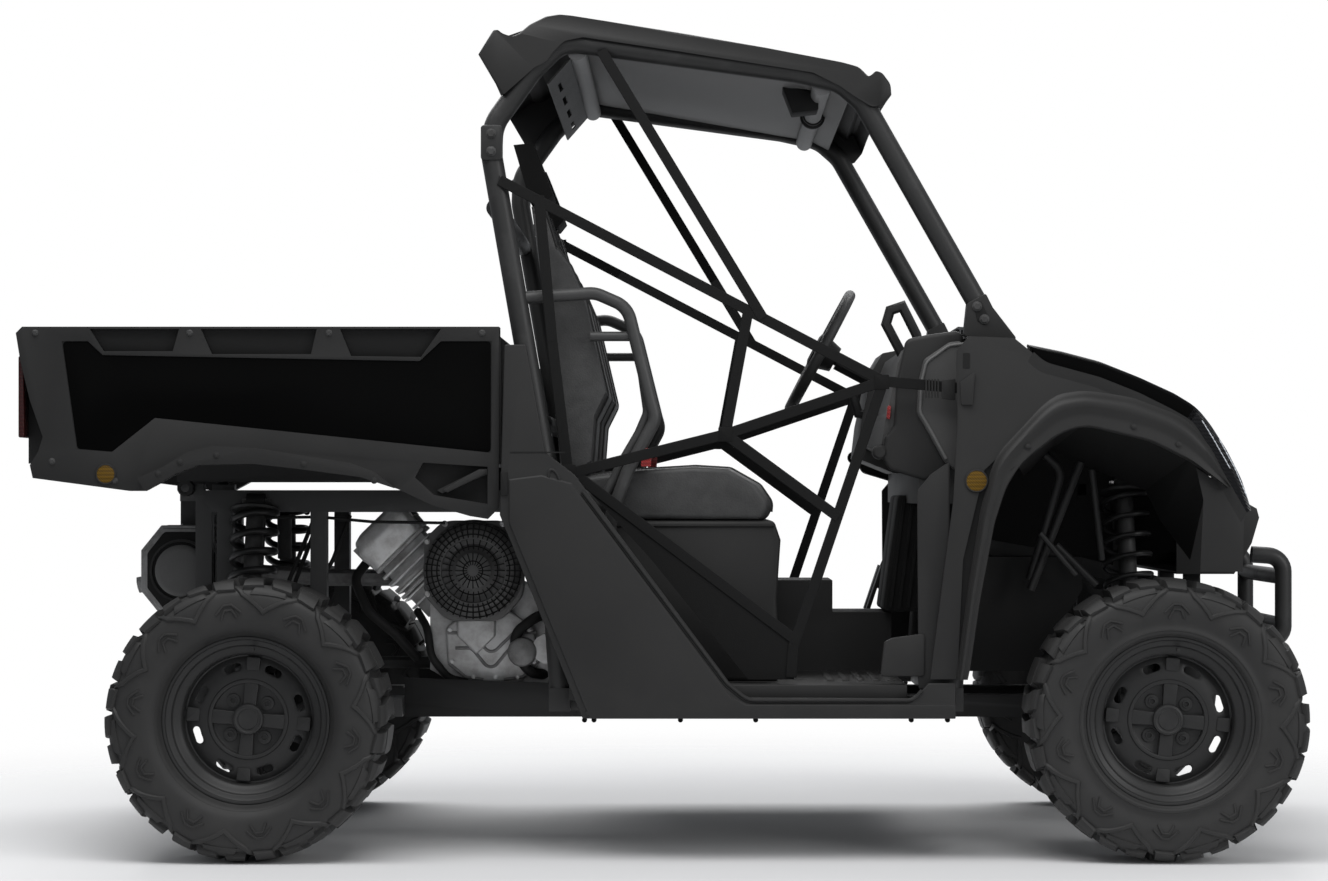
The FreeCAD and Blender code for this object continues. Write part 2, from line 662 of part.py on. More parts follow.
def rim():
    """A steel rim: a barrel between two flanges, and a slotted disc with its hub, cap and nuts."""
    half = BEAD_W / 2
    face = -half + DISC_IN
    edge = half + FLANGE_T
    wall = BEAD_R - RIM_WALL
    lip = wall - RIM_WALL * 2
    barrel = flat_ring(V(0, 0, 0), across, [
        (lip, -edge), (FLANGE_R, -edge), (BEAD_R, -half), (BEAD_R, half), (FLANGE_R, edge), (lip, edge)],
        RING_SIDES, 0.5)
    barrel = barrel.cut(prism_rod(V(0, -half * 2, 0), V(0, face, 0), wall, DISC_SIDES))
    barrel = barrel.cut(prism_rod(V(0, face + DISC_T, 0), V(0, half * 2, 0), wall, DISC_SIDES))
    disc = prism_rod(V(0, face, 0), V(0, face + DISC_T, 0), lip + RIM_WALL, DISC_SIDES)
    slots = []
    for i in range(SLOTS):
        a = 2 * math.pi * (i + 0.5) / SLOTS
        out, along = V(math.cos(a), 0, math.sin(a)), V(-math.sin(a), 0, math.cos(a))
        middle = out * SLOT_RING_R + V(0, face - DISC_T, 0)
        points = [middle + out * (p * SLOT_R) + along * (q * SLOT_HALF) for p, q in
                  ((1, 1), (0, 2), (-1, 1), (-1, -1), (0, -2), (1, -1))]
        slots.append(face_of(points).extrude(V(0, DISC_T * 3, 0)))
    disc = disc.cut(Part.makeCompound(slots))
    extra = [prism_rod(V(0, face + DISC_T, 0), V(0, face + HUB_L, 0), HUB_R, PIN_SIDES),
             prism_rod(V(0, face, 0), V(0, face - CAP_L, 0), CAP_R, PIN_SIDES)]
    for i in range(STUDS):
        a = 2 * math.pi * (i + 0.5) / STUDS
        c = V(STUD_R * math.cos(a), face, STUD_R * math.sin(a))
        extra.append(prism_rod(c, c - V(0, NUT_L, 0), NUT_R, THIN_SIDES))
    return fuse([barrel, disc] + extra).cut(bore(V(0, face + DISC_T / 2, 0), V(0, half * 2, 0), SPINDLE_R))


def place_wheel(shape, x, y):
    """Puts a wheel piece on its axle; a left one is mirrored."""
    whole = mirrored(shape) if y > 0 else shape.copy()
    whole.translate(V(x, y, TYRE_R))
    return whole


front_tyre, rear_tyre, plain_rim = tyre(FRONT_TYRE_W), tyre(REAR_TYRE_W), rim()
for end, x, y, rubber in (("front", FRONT_X, FRONT_Y, front_tyre), ("rear", REAR_X, REAR_Y, rear_tyre)):
    for hand, sign in (("left", 1), ("right", -1)):
        save("tyre_" + end + "_" + hand, place_wheel(rubber, x, sign * y))
        save("rim_" + end + "_" + hand, place_wheel(plain_rim, x, sign * y))


def hub_face(y):
    """Where the inner end of a rim's hub lies."""
    return y + BEAD_W / 2 - DISC_IN - HUB_L


def spindle(x, y_in, y_wheel):
    """Stub axle in a rim's hub, with a shoulder that stops short of it. Right hand side."""
    tip = hub_face(y_wheel) + HUB_L - DISC_T
    return [rod(V(x, -y_in, TYRE_R), V(x, -tip, TYRE_R), SPINDLE_R),
            prism_rod(V(x, -y_in, TYRE_R), V(x, -(hub_face(y_wheel) - MOVE_GAP), TYRE_R), SHOULDER_R,
                      PIN_SIDES)]


# Front knuckles and steering
def front_knuckle():
    """The right knuckle: upright, steering arm and spindle, with a bore for each king pin."""
    half = UPRIGHT_W / 2
    top, low = TYRE_R + UPRIGHT_H / 2, TYRE_R - UPRIGHT_H / 2
    post = box(FRONT_X - half, FRONT_X + half, -KING_Y - half, -KING_Y + half, low, top)
    arm_end = V(RACK_X, -KING_Y + STEER_ARM_IN, STEER_ARM_Z + STEER_ARM_T / 2)
    arm = bar(V(FRONT_X, -KING_Y, STEER_ARM_Z + STEER_ARM_T / 2), arm_end, STEER_ARM_W, STEER_ARM_T)
    half_arm = V(0, 0, STEER_ARM_T / 2)
    eye = prism_rod(arm_end - half_arm, arm_end + half_arm, STEER_ARM_W * 0.6)
    whole = fuse([post, arm, eye] + spindle(FRONT_X, KING_Y, FRONT_Y))
    for z, up in ((low, 1), (top, -1)):
        whole = whole.cut(bore(V(FRONT_X, -KING_Y, z - up * OVERRUN),
                               V(FRONT_X, -KING_Y, z + up * KING_PIN_L), KING_PIN_R))
    return whole


save("knuckle_right", front_knuckle())
save("knuckle_left", mirrored(made["knuckle_right"]))

tie_y = KING_Y - STEER_ARM_IN
rack = [prism_rod(V(RACK_X, -tie_y, TIE_ROD_Z), V(RACK_X, tie_y, TIE_ROD_Z), TIE_ROD_R)]
for y in (-tie_y, tie_y):
    rack.append(prism_rod(V(RACK_X, y, STEER_ARM_Z + STEER_ARM_T + MOVE_GAP),
                          V(RACK_X, y, TIE_ROD_Z + TIE_ROD_R), BALL_R))
save("tie_rods", fuse(rack))

wheel_hub = at(CAB, wheel_hub_share, WHEEL_Y)
column = V(math.cos(math.radians(COLUMN_TILT)), 0, -math.sin(math.radians(COLUMN_TILT)))
upward = V(-column.z, 0, column.x)
boss_end = wheel_hub + column * WHEEL_BOSS_L
boss = prism_rod(wheel_hub - column * GRIP_R, boss_end, WHEEL_BOSS_R, PIN_SIDES)
boss = boss.cut(bore(wheel_hub, boss_end + column * OVERRUN, COLUMN_R))
spokes = []
for turn in spoke_turns:
    out = across * math.cos(math.radians(turn)) + upward * math.sin(math.radians(turn))
    spokes.append(bar(wheel_hub + out * COLUMN_R * 1.5, wheel_hub + out * WHEEL_R, SPOKE_W, SKIN * 2))
grip = flat_ring(wheel_hub, column, round_section(WHEEL_R, GRIP_R, GRIP_SECTION), GRIP_SIDES)
save("steering_wheel", fuse([grip, boss] + spokes))

knee = wheel_hub + column * ((xz(CAB, knee_share)[0] - wheel_hub.x) / column.x)
lower_knee = V(RACK_X - KNEE_BACK, KNEE_Y, xz(CAB, knee_share)[1])
foot = V(RACK_X, COLUMN_FOOT_Y, TIE_ROD_Z + RACK_R + MOVE_GAP * 2)
save("steering_column", fuse([
    rod(wheel_hub + column * SEAT_GAP, boss_end + column * JACKET_R, COLUMN_R),
    prism_rod(boss_end + column * MOVE_GAP, knee, JACKET_R),
    tube([knee - column * COLUMN_R, lower_knee, foot], COLUMN_R, THIN_SIDES),
]))


# Roll cage
cage_path = bend_points([at(CAB, s, -TUBE_Y) for s in rops_shares], TUBE_BEND)
cage = [tube(cage_path, TUBE_R, TUBE_SIDES)]
cage.append(side_plate(CAB, rops_foot_shares, -TUBE_Y - FOOT_PLATE_T, -TUBE_Y + FOOT_PLATE_T))
cage.append(side_plate(CAB, rops_joint_shares, -TUBE_Y - TUBE_R - RECESS, -TUBE_Y))
below = box(CAB[0], LENGTH, -TUBE_Y * 2, 0, 0, CAGE_FOOT_Z)
save("rops_sides", both([fuse(cage).cut(below)]))
cross_y = TUBE_Y - TUBE_R + RECESS
bars = [prism_rod(at(CAB, s, -cross_y), at(CAB, s, cross_y), CROSS_R, TUBE_SIDES) for s in crossbar_shares]
bars = trimmed(bars, "rops_sides")
hood_axle = at(FENDER, hood_hinge_share, 0)
ear_y = HOOD_HINGE_Y + HOOD_HINGE_L / 2 + MOVE_GAP
for sign in (-1, 1):
    bars.append(side_plate(CAB, hood_ear_shares, sign * ear_y, sign * (ear_y + SKIN)))
    bars.append(rod(hood_axle + V(0, sign * (ear_y + RECESS), 0),
                    hood_axle + V(0, sign * (HOOD_HINGE_Y - HOOD_HINGE_L / 2), 0), HOOD_PIN_R))
save("rops_crossbars", fuse(bars).Solids)


# Cargo bed and tailgate
bed_x0, bed_x1, bed_z0, bed_z1 = BED
wall = side_plate(BED, bed_shares, -BED_OUT, -BED_OUT + SKIN)
wall = wall.cut(side_plate(BED, bed_inset_shares, -BED_OUT, -BED_OUT + RECESS))
cap = side_plate(BED, ((0.018, 0.997), (1, 0.997), (1, 0.948), (0.018, 0.948)), -BED_OUT, -BED_IN)
side = fuse([wall, cap])
for pocket in bed_pocket_shares:
    outer = side_plate(BED, pocket, -BED_OUT, -BED_OUT + SKIN * 3)
    hollow = side_plate(BED, pocket, -BED_OUT - OVERRUN, -BED_OUT + SKIN * 2)
    side = side.fuse(outer).cut(hollow)
latch = side_plate(BED, bed_latch_shares, -BED_OUT, -BED_OUT + SKIN * 5)
side = side.fuse(latch).cut(side_plate(BED, [(0.9 + (s[0] - 0.9) * 0.9, 0.19 + (s[1] - 0.19) * 0.86)
                                             for s in bed_latch_shares], -BED_OUT - OVERRUN, -BED_OUT + SKIN * 4))
lever = side_plate(BED, bed_lever_shares, -BED_OUT, -BED_OUT + SKIN * 4)
flare = side_plate(BED, bed_flare_shares, -BED_FLARE, -BED_OUT)
save("bed_sides", both([fuse([side, flare, lever])]))

tub_y = BED_IN - SEAT_GAP
gate_x = bed_x0 + GATE_GAP
rear_x = bed_x0 + GATE_T + GATE_GAP * 2
floor_top = BED_FLOOR_Z + SKIN
rail_low = bed_z1 - BED_RAIL_H
tub = [box(rear_x, bed_x1, -tub_y, tub_y, BED_FLOOR_Z, floor_top),
       box(bed_x1 - SKIN * 3, bed_x1, -tub_y, tub_y, BED_FLOOR_Z, rail_low)]
for i in range(BED_RIBS):
    y = -tub_y + 2 * tub_y * (i + 0.5) / BED_RIBS
    tub.append(box(rear_x + SKIN * 4, bed_x1 - SKIN * 8, y - RIB_W, y + RIB_W, floor_top,
                   floor_top + RIB_H))
for sign in (-1, 1):
    tub.append(box(rear_x, bed_x1, sign * tub_y, sign * (tub_y - SKIN), BED_FLOOR_Z, rail_low - SEAT_GAP))
    tub.append(box(bed_x0 + RECESS + LAMP_T + SEAT_GAP, rear_x + SKIN * 4, sign * tub_y,
                   sign * (GATE_Y + GATE_GAP),
                   BED_FLOOR_Z, rail_low - SEAT_GAP))
    beam_out, beam_in = sign * (BED_BEAM_Y + BED_BEAM_W / 2), sign * (BED_BEAM_Y - BED_BEAM_W / 2)
    tub.append(box(BED_HINGE_X - HINGE_R, bed_x1 - BED_RAIL_H * 3, beam_out, beam_in, BED_BEAM_Z,
                   BED_FLOOR_Z))
    tub.append(prism_rod(V(BED_HINGE_X, beam_in, BED_HINGE_Z), V(BED_HINGE_X, beam_out, BED_HINGE_Z),
                         HINGE_R,
                         PIN_SIDES))
    edge = sign * (BED_OUT - SKIN - SEAT_GAP)
    for share in brace_shares:
        x = bed_x0 + (bed_x1 - bed_x0) * share
        tub.append(box(x, x + BED_BEAM_W, sign * tub_y, edge, floor_top + SKIN * 6, floor_top + SKIN * 8))
tub = fuse(tub)
pin_reach = BED_BEAM_Y + BED_BEAM_W
tub = tub.cut(bore(V(BED_HINGE_X, -pin_reach, BED_HINGE_Z), V(BED_HINGE_X, pin_reach, BED_HINGE_Z),
                   HINGE_R / 2))
gate_pin = V(bed_x0 + GATE_GAP + GATE_T / 2, 0, floor_top + GATE_GAP + GATE_T / 2)
post_in, pin_tip = V(0, GATE_Y + GATE_GAP + SKIN, 0), V(0, GATE_Y - GATE_PIN_L, 0)
tub = fuse([tub] + [rod(gate_pin + post_in * sign, gate_pin + pin_tip * sign, GATE_PIN_R) for sign in (-1,
                                                                                                       1)])
save("bed_tub", tub)

lamp = box(bed_x0 + RECESS, bed_x0 + RECESS + LAMP_T, -BED_OUT + SKIN * 2, -GATE_Y - GATE_GAP, LAMP_LOW_Z,
           LAMP_TOP_Z)
save("tail_lamps", both(trimmed([lamp], "bed_sides")))

gate_low, gate_top = floor_top + GATE_GAP, bed_z1 - BED_RAIL_H
gate = box(gate_x, gate_x + GATE_T, -GATE_Y, GATE_Y, gate_low, gate_top)
panel_low, panel_top = gate_low + GATE_T * 1.5, gate_top - GATE_T * 2
for x, far in ((gate_x - OVERRUN, gate_x + RECESS), (gate_x + GATE_T - RECESS, gate_x + GATE_T + OVERRUN)):
    for share in gate_panel_shares:
        middle, reach = GATE_Y * share, GATE_Y * 0.28
        gate = gate.cut(box(x, far, middle - reach, middle + reach, panel_low, panel_top))
handle = box(gate_x - OVERRUN, gate_x + RECESS * 3, -GATE_T * 4, GATE_T * 4,
             panel_top + RECESS * 2, gate_top - RECESS * 4)
bores = [bore(gate_pin + V(0, sign * GATE_Y * 2, 0), gate_pin + V(0,
                                                                  sign * (GATE_Y - GATE_PIN_L - GATE_GAP), 0),
              GATE_PIN_R) for sign in (-1, 1)]
save("tailgate", gate.cut(handle).cut(Part.makeCompound(bores)))


# Sills, floor, firewall
sill_y = SILL_OUT - SILL_T
panel = side_plate(SIDE, side_shares, -SILL_OUT, -sill_y)
fold = side_plate(SIDE, side_fold_shares, -SILL_OUT - SKIN, -SILL_OUT)
sill_x0, sill_x1 = xz(SIDE, (0.19, 0))[0], xz(SIDE, (0.955, 0))[0]
shelf_top = SIDE[2] + SILL_DROP - SEAT_GAP
shelf = box(sill_x0, sill_x1, -sill_y, -OUTRIGGER_Y - SEAT_GAP, shelf_top - FLOOR_T, shelf_top)
save("side_panels", both([fuse([panel, fold, shelf])]))

floor_x0, floor_x1 = (CAB[0] + (CAB[1] - CAB[0]) * s for s in floor_x_shares)
console_x0, console_x1 = (CAB[0] + (CAB[1] - CAB[0]) * s for s in console_x_shares)
inside = TUNNEL_Y - FLOOR_T
tunnel = box(floor_x0, floor_x1, -TUNNEL_Y, TUNNEL_Y, FLOOR_Z - FLOOR_T, TUNNEL_Z)
tunnel = tunnel.fuse(box(console_x0, console_x1, -TUNNEL_Y, TUNNEL_Y, FLOOR_Z, CONSOLE_Z))
hollow = box(floor_x0 - OVERRUN, floor_x1 + OVERRUN * 4, -inside, inside, FLOOR_Z - OVERRUN,
             TUNNEL_Z - FLOOR_T)
pans = []
for sign in (-1, 1):
    pans.append(box(floor_x0, floor_x1, sign * inside, sign * FLOOR_Y, FLOOR_Z - FLOOR_T, FLOOR_Z))
    for i in range(RIBS):
        x = floor_x1 - RIB_PITCH * (i + 1)
        pans.append(box(x, x + RIB_W, sign * (TUNNEL_Y + RIB_PITCH), sign * (DASH_Y - RIB_PITCH),
                        FLOOR_Z, FLOOR_Z + RIB_H))
    pans.append(box(floor_x0, floor_x1, sign * (FLOOR_Y - FLOOR_T), sign * FLOOR_Y, SIDE[2] + SILL_DROP,
                    FLOOR_Z))
wall_points = [at(CAB, s, -DASH_Y) for s in firewall_shares]
wall_points += [p + V(FLOOR_T * 2, 0, 0) for p in reversed(wall_points)]
firewall = face_of(wall_points).extrude(V(0, DASH_Y * 2, 0))
prop_hole = rod(V(floor_x0, 0, PROP_Z), V(floor_x1 + OVERRUN * 10, 0, PROP_Z), PROP_R + MOVE_GAP)
floor = fuse([tunnel] + pans + [firewall]).cut(hollow).cut(prop_hole)
save("floor", trimmed([floor], "rops_sides"))


# Seats
base_top = xz(CAB, base_shares[0])[1]
base = side_plate(CAB, base_shares, SEAT_IN, SEAT_OUT)
lid = BOLSTER / 2
base_x0, base_x1 = xz(CAB, base_shares[0])[0], xz(CAB, base_shares[1])[0]
inner_x = base_x0 + lid * 2
base = base.cut(box(base_x0 + lid, base_x1 - lid, SEAT_IN + lid, SEAT_OUT - lid, FLOOR_Z - OVERRUN,
                    base_top - lid))
base = base.cut(box(inner_x, base_x0 - OVERRUN, SEAT_IN + lid * 2, SEAT_OUT - lid * 2,
                    FLOOR_Z + lid, base_top - lid * 2))
save("seat_base", both(trimmed([base], "floor")))


def padded(shares):
    """A cushion: its side outline, full in the middle and narrower and lower at both sides."""
    pieces = [side_plate(CAB, shares, SEAT_IN + BOLSTER, SEAT_OUT - BOLSTER)]
    centre_x = sum(s[0] for s in shares) / len(shares)
    centre_z = sum(s[1] for s in shares) / len(shares)
    small = [(centre_x + (s[0] - centre_x) * 0.94, centre_z + (s[1] - centre_z) * 0.94) for s in shares]
    for inner, outer in ((SEAT_IN + BOLSTER, SEAT_IN), (SEAT_OUT - BOLSTER, SEAT_OUT)):
        rings = [Part.makePolygon([at(CAB, s, y) for s in table + (table[0],)])
                 for table, y in ((tuple(shares), inner), (tuple(small), outer))]
        pieces.append(Part.makeLoft(rings, True, True))
    return fuse(pieces)


save("seat_cushions", both(trimmed([padded(cushion_shares)], "seat_base")))
back = padded(back_shares)
head = side_plate(CAB, headrest_shares, SEAT_Y - HEAD_HALF, SEAT_Y + HEAD_HALF)
head_x, head_z = xz(CAB, head_post_share)
posts = [prism_rod(V(head_x, y, head_z - BOLSTER), V(head_x, y, head_z + BOLSTER), HEAD_POST_R)
         for y in (SEAT_Y - HEAD_HALF + BOLSTER, SEAT_Y + HEAD_HALF - BOLSTER)]
save("seat_backs", both(trimmed([fuse([back, head] + posts)], "seat_cushions", "seat_base",
                                "rops_crossbars")))


# Dash, pedals, shifter, grab handle
dash = side_plate(CAB, dash_shell_shares, -DASH_Y, DASH_Y)
dash = dash.cut(side_plate(CAB, glove_shares, -DASH_Y + BOLSTER * 2, -TUNNEL_Y))
binnacle = side_plate(CAB, dash_shares, WHEEL_Y - WHEEL_R, WHEEL_Y + WHEEL_R)
clear = prism_rod(wheel_hub, knee, JACKET_R + SEAT_GAP)
dash = fuse([dash, binnacle]).cut(clear)
dash = dash.cut(prism_rod(knee - column * JACKET_R, lower_knee, COLUMN_R + SEAT_GAP))
save("dash", trimmed([dash], "floor", "rops_sides", "rops_crossbars"))

pedals = []
for y in (WHEEL_Y - PEDAL_LEFT, WHEEL_Y + PEDAL_W / 3):
    low, high, top = (at(CAB, share, y) for share in pedal_shares)
    side_way = V(0, PEDAL_W, 0)
    pad = face_of([low, high, high + side_way, low + side_way]).extrude(V(PEDAL_T, 0, -PEDAL_T / 2))
    middle = V(0, PEDAL_W / 2, 0)
    start = (low + high) * 0.5 + middle + V(PEDAL_T, 0, 0)
    pedals.append(fuse([pad, bar(start, top + middle, PEDAL_W / 3, PEDAL_T * 2)]))
shift = tube([at(CAB, s, SHIFT_Y) for s in shifter_shares], SHIFT_R, THIN_SIDES)
grab = tube([at(CAB, s, -DASH_Y * 0.75) for s in grab_shares], GRAB_R, THIN_SIDES)
save("controls", trimmed(pedals + [shift, grab], "floor", "dash"))


# Front body
def bonnet_section(shares, y, lift, back):
    """A crosswise slice of the front body: lifted towards the middle, and set back at the sides."""
    points = []
    for s in shares:
        x, z = xz(FENDER, s)
        far = max(0.0, (x - FENDER[0]) / (FENDER[1] - FENDER[0]))
        points.append(V(x - back * far * far, y, z + lift))
    return points


def bonnet_skin(shares, stations, thick):
    """A thin skin over crosswise slices (y, lift, set back)."""
    rings = []
    for y, lift, back in stations:
        top = bonnet_section(shares, y, lift, back)
        low = [p + V(-thick / 2, 0, -thick) for p in reversed(top)]
        rings.append(Part.makePolygon(top + low + [top[0]]))
    return fuse([Part.makeLoft([a, b], True, True) for a, b in zip(rings, rings[1:])])


hood = [bonnet_skin(hood_shares, ((-HOOD_Y, HOOD_LIFT, 0), (-HOOD_Y / 2, HOOD_LIFT * 2, -HOOD_SET),
                                  (HOOD_Y / 2, HOOD_LIFT * 2, -HOOD_SET), (HOOD_Y, HOOD_LIFT, 0)), SKIN)]
hinge_lift = HOOD_LIFT * (1 + (HOOD_HINGE_IN - HOOD_HINGE_L / 2) / (HOOD_Y / 2)) - SKIN / 2
for sign in (-1, 1):
    near, far = sign * (HOOD_HINGE_Y - HOOD_HINGE_L / 2), sign * (HOOD_HINGE_Y + HOOD_HINGE_L / 2)
    hood.append(prism_rod(hood_axle + V(0, near, 0), hood_axle + V(0, far, 0), HOOD_BARREL_R, PIN_SIDES))
    hood.append(box(hood_axle.x, hood_axle.x + HOOD_BARREL_R, near, far, hood_axle.z,
                    xz(FENDER, hood_shares[0])[1] + hinge_lift))
reach = V(0, HOOD_HINGE_Y * 2, 0)
save("hood", fuse(hood).cut(bore(hood_axle - reach, hood_axle + reach, HOOD_PIN_R)))

nose = side_plate(NOSE, nose_shares, -FASCIA_Y, FASCIA_Y)
inner_nose = [(s[0] - 0.03, 0.72 + (s[1] - 0.72) * 0.93) for s in nose_shares]
inner_nose = [(s[0] - (0.1 if s[0] < 0 else 0), s[1]) for s in inner_nose]
grille_hole = [(s[0] + 0.2, s[1]) if s[0] > 0.4 else s for s in grille_shares]
nose = nose.cut(side_plate(NOSE, inner_nose, -FASCIA_Y + SKIN, FASCIA_Y - SKIN))
nose = nose.cut(side_plate(NOSE, grille_hole, -FASCIA_Y * 0.7, FASCIA_Y * 0.7))
grid = []
low, high = (xz(NOSE, share) for share in grille_row_shares)
for i in range(GRILLE_BARS):
    s = (i + 0.5) / GRILLE_BARS
    x, z = low[0] + (high[0] - low[0]) * s, low[1] + (high[1] - low[1]) * s
    grid.append(box(x - SKIN * 2, x, -FASCIA_Y + RECESS, FASCIA_Y - RECESS, z, z + SKIN))
save("front_fascia", fuse([nose] + grid))


# Roof and nets
roof = side_plate(ROOF, roof_shares, -ROOF_Y, ROOF_Y)
roof = roof.cut(side_plate(ROOF, roof_hollow_shares, -ROOF_Y + SKIN, ROOF_Y - SKIN))
pads = []
for share in roof_pad_shares:
    x, z = xz(CAB, share)
    for y in (-TUBE_Y, TUBE_Y):
        pads.append(box(x, x + ROOF_PAD, y - TUBE_R, y + TUBE_R, z, ROOF[3]))
pads = [p.common(side_plate(ROOF, roof_shares, -ROOF_Y + SKIN / 2, ROOF_Y - SKIN / 2)) for p in pads]
save("roof", trimmed([fuse([roof] + pads)], "rops_sides", "rops_crossbars"))

strap_y = -TUBE_Y - flat_r(TUBE_R, TUBE_SIDES) - SEAT_GAP
straps = []
for a, b in strap_shares:
    start, end = at(CAB, a, strap_y), at(CAB, b, strap_y)
    along = (end - start).normalize()
    off = along.cross(V(0, 1, 0)).normalize() * (STRAP_W / 2)
    straps.append(face_of([start - off, end - off, end + off, start + off]).extrude(V(0, -STRAP_T, 0)))
save("side_nets", both(fuse(straps).Solids))
hip_path = [at(CAB, s, -HIP_Y) for s in hip_shares]
hip_path[0] = at(CAB, hip_shares[0], -TUBE_Y)
hip_path.append(V(hip_path[-1].x, -SEAT_OUT + HIP_R, hip_path[-1].z - HIP_BEND))
hip = tube(bend_points(hip_path, HIP_BEND), HIP_R, THIN_SIDES)
save("hip_bars", both(trimmed([hip], "seat_backs", "seat_cushions", "seat_base", "rops_sides")))


# Frame
lower = [box(RAIL_REAR_X, RAIL_FRONT_X, -RAIL_Y - RAIL_W / 2, RAIL_Y + RAIL_W / 2,
             RAIL_Z - RAIL_H / 2 - PAN_T,
             RAIL_Z - RAIL_H / 2)]
floor_low = FLOOR_Z - FLOOR_T - SEAT_GAP
for x in OUTRIGGER_XS:
    lower.append(box(x - OUTRIGGER / 2, x + OUTRIGGER / 2, -OUTRIGGER_Y, OUTRIGGER_Y, OUTRIGGER_LOW,
                     floor_low))
case_low = xz(REAR, case_shares[5])[1] - SEAT_GAP
diff_low = DIFF_Z - flat_r(DIFF_R) - SEAT_GAP
rail_low = RAIL_Z - RAIL_H / 2
engine_x = xz(REAR, engine_bar_share)[0]
lower.append(box(engine_x - OUTRIGGER, engine_x + OUTRIGGER, -RAIL_Y, RAIL_Y, rail_low, case_low))
lower.append(box(FRONT_X - OUTRIGGER, FRONT_X + OUTRIGGER, -RAIL_Y, RAIL_Y, rail_low, diff_low))
for sign in (-1, 1):
    lower.append(box(RAIL_REAR_X, RAIL_FRONT_X, sign * (RAIL_Y - RAIL_W / 2), sign * (RAIL_Y + RAIL_W / 2),
                     rail_low, RAIL_Z + RAIL_H / 2))
    outer = sign * (RAIL_Y + RAIL_W / 2)
    lower.append(side_plate(REAR, side_beam_shares, outer, outer + sign * PAN_T))
    lower.append(box(OUTRIGGER_XS[0], OUTRIGGER_XS[-1], sign * (OUTRIGGER_Y - OUTRIGGER),
                     sign * OUTRIGGER_Y,
                     OUTRIGGER_LOW, OUTRIGGER_LOW + OUTRIGGER))
    for share in (rops_shares[0], rops_shares[-1]):
        x = xz(CAB, share)[0]
        lower.append(box(x - TUBE_R, x + TUBE_R, sign * (TUBE_Y - TUBE_R * 2), sign * (TUBE_Y + TUBE_R),
                         OUTRIGGER_LOW, CAGE_FOOT_Z - SEAT_GAP))
save("frame_lower", trimmed([fuse(lower)], "floor", "side_panels", "rops_sides"))

rear_post_x, front_post_x = REAR_X - ARM_SPAN, REAR_X + ARM_SPAN
rear = []
beam_x, beam_top = OUTRIGGER_XS[0], RAIL_Z + UPPER_W / 2
back_x, join_x = TOWER_X - POST_W / 2, RAIL_REAR_X - SEAT_GAP
for sign in (-1, 1):
    y = sign * UPPER_Y
    run = [V(beam_x, y, floor_low), V(beam_x - RISE_BACK, y, UPPER_Z - RISE_DROP), V(beam_x - BEND_BACK, y,
                                                                                     UPPER_Z),
           V(back_x, y, UPPER_Z)]
    for a, b in zip(run, run[1:]):
        along = (b - a).normalize() * (UPPER_W / 2)
        start, end = a if a == run[0] else a - along, b if b == run[-1] else b + along
        rear.append(bar(start, end, UPPER_W, UPPER_H if a.z == b.z else UPPER_W))
    for x in (TOWER_X, rear_post_x, front_post_x):
        rear.append(box(x - POST_W / 2, x + POST_W / 2, y - POST_W / 2, y + POST_W / 2, RAIL_Z, UPPER_Z))
    rear.append(box(back_x, join_x, y - UPPER_W / 2, y + UPPER_W / 2, rail_low, beam_top))
    rear.append(box(RAIL_REAR_X - POST_W, join_x, sign * (RAIL_Y - RAIL_W / 2), y, rail_low, beam_top))
    rear.append(box(BED_HINGE_X - HINGE_R, TOWER_X, y - POST_W / 2, y + POST_W / 2,
                    UPPER_Z, BED_HINGE_Z + HINGE_R / 2))
    pin_out = sign * (BED_BEAM_Y + BED_BEAM_W / 2)
    rear.append(rod(V(BED_HINGE_X, y, BED_HINGE_Z), V(BED_HINGE_X, pin_out, BED_HINGE_Z), HINGE_R / 2))
    hanger_y = sign * MUFFLER_Y / 2
    rear.append(box(MUFFLER_X - OUTRIGGER / 2, TOWER_X, hanger_y, hanger_y + sign * PAN_T * 4,
                    MUFFLER_Z + MUFFLER_H + MUFFLER_RIM + SEAT_GAP, UPPER_Z))
half = OUTRIGGER / 2
for x, low, high in ((TOWER_X, UPPER_Z - OUTRIGGER, UPPER_Z), (TOWER_X, HITCH_Z - half, HITCH_Z + half),
                     (REAR_X, rail_low, diff_low), (beam_x - MID_BAR_BACK, UPPER_Z - half, UPPER_Z + half)):
    rear.append(box(x - half, x + half, -UPPER_Y, UPPER_Y, low, high))
receiver = box(HITCH_X, HITCH_X + HITCH_L, -HITCH_HALF, HITCH_HALF, HITCH_Z - HITCH_HALF,
               HITCH_Z + HITCH_HALF)
socket = box(HITCH_X - OVERRUN, HITCH_X + HITCH_L + OVERRUN, -HITCH_HOLE_HALF, HITCH_HOLE_HALF,
             HITCH_Z - HITCH_HOLE_HALF, HITCH_Z + HITCH_HOLE_HALF)
pin_hole = rod(V(HITCH_X + PIN_IN, -HITCH_HALF * 2, HITCH_Z), V(HITCH_X + PIN_IN, HITCH_HALF * 2, HITCH_Z),
               PIN_R)
save("frame_rear", trimmed([fuse(rear + [receiver]).cut(socket).cut(pin_hole)], "frame_lower"))

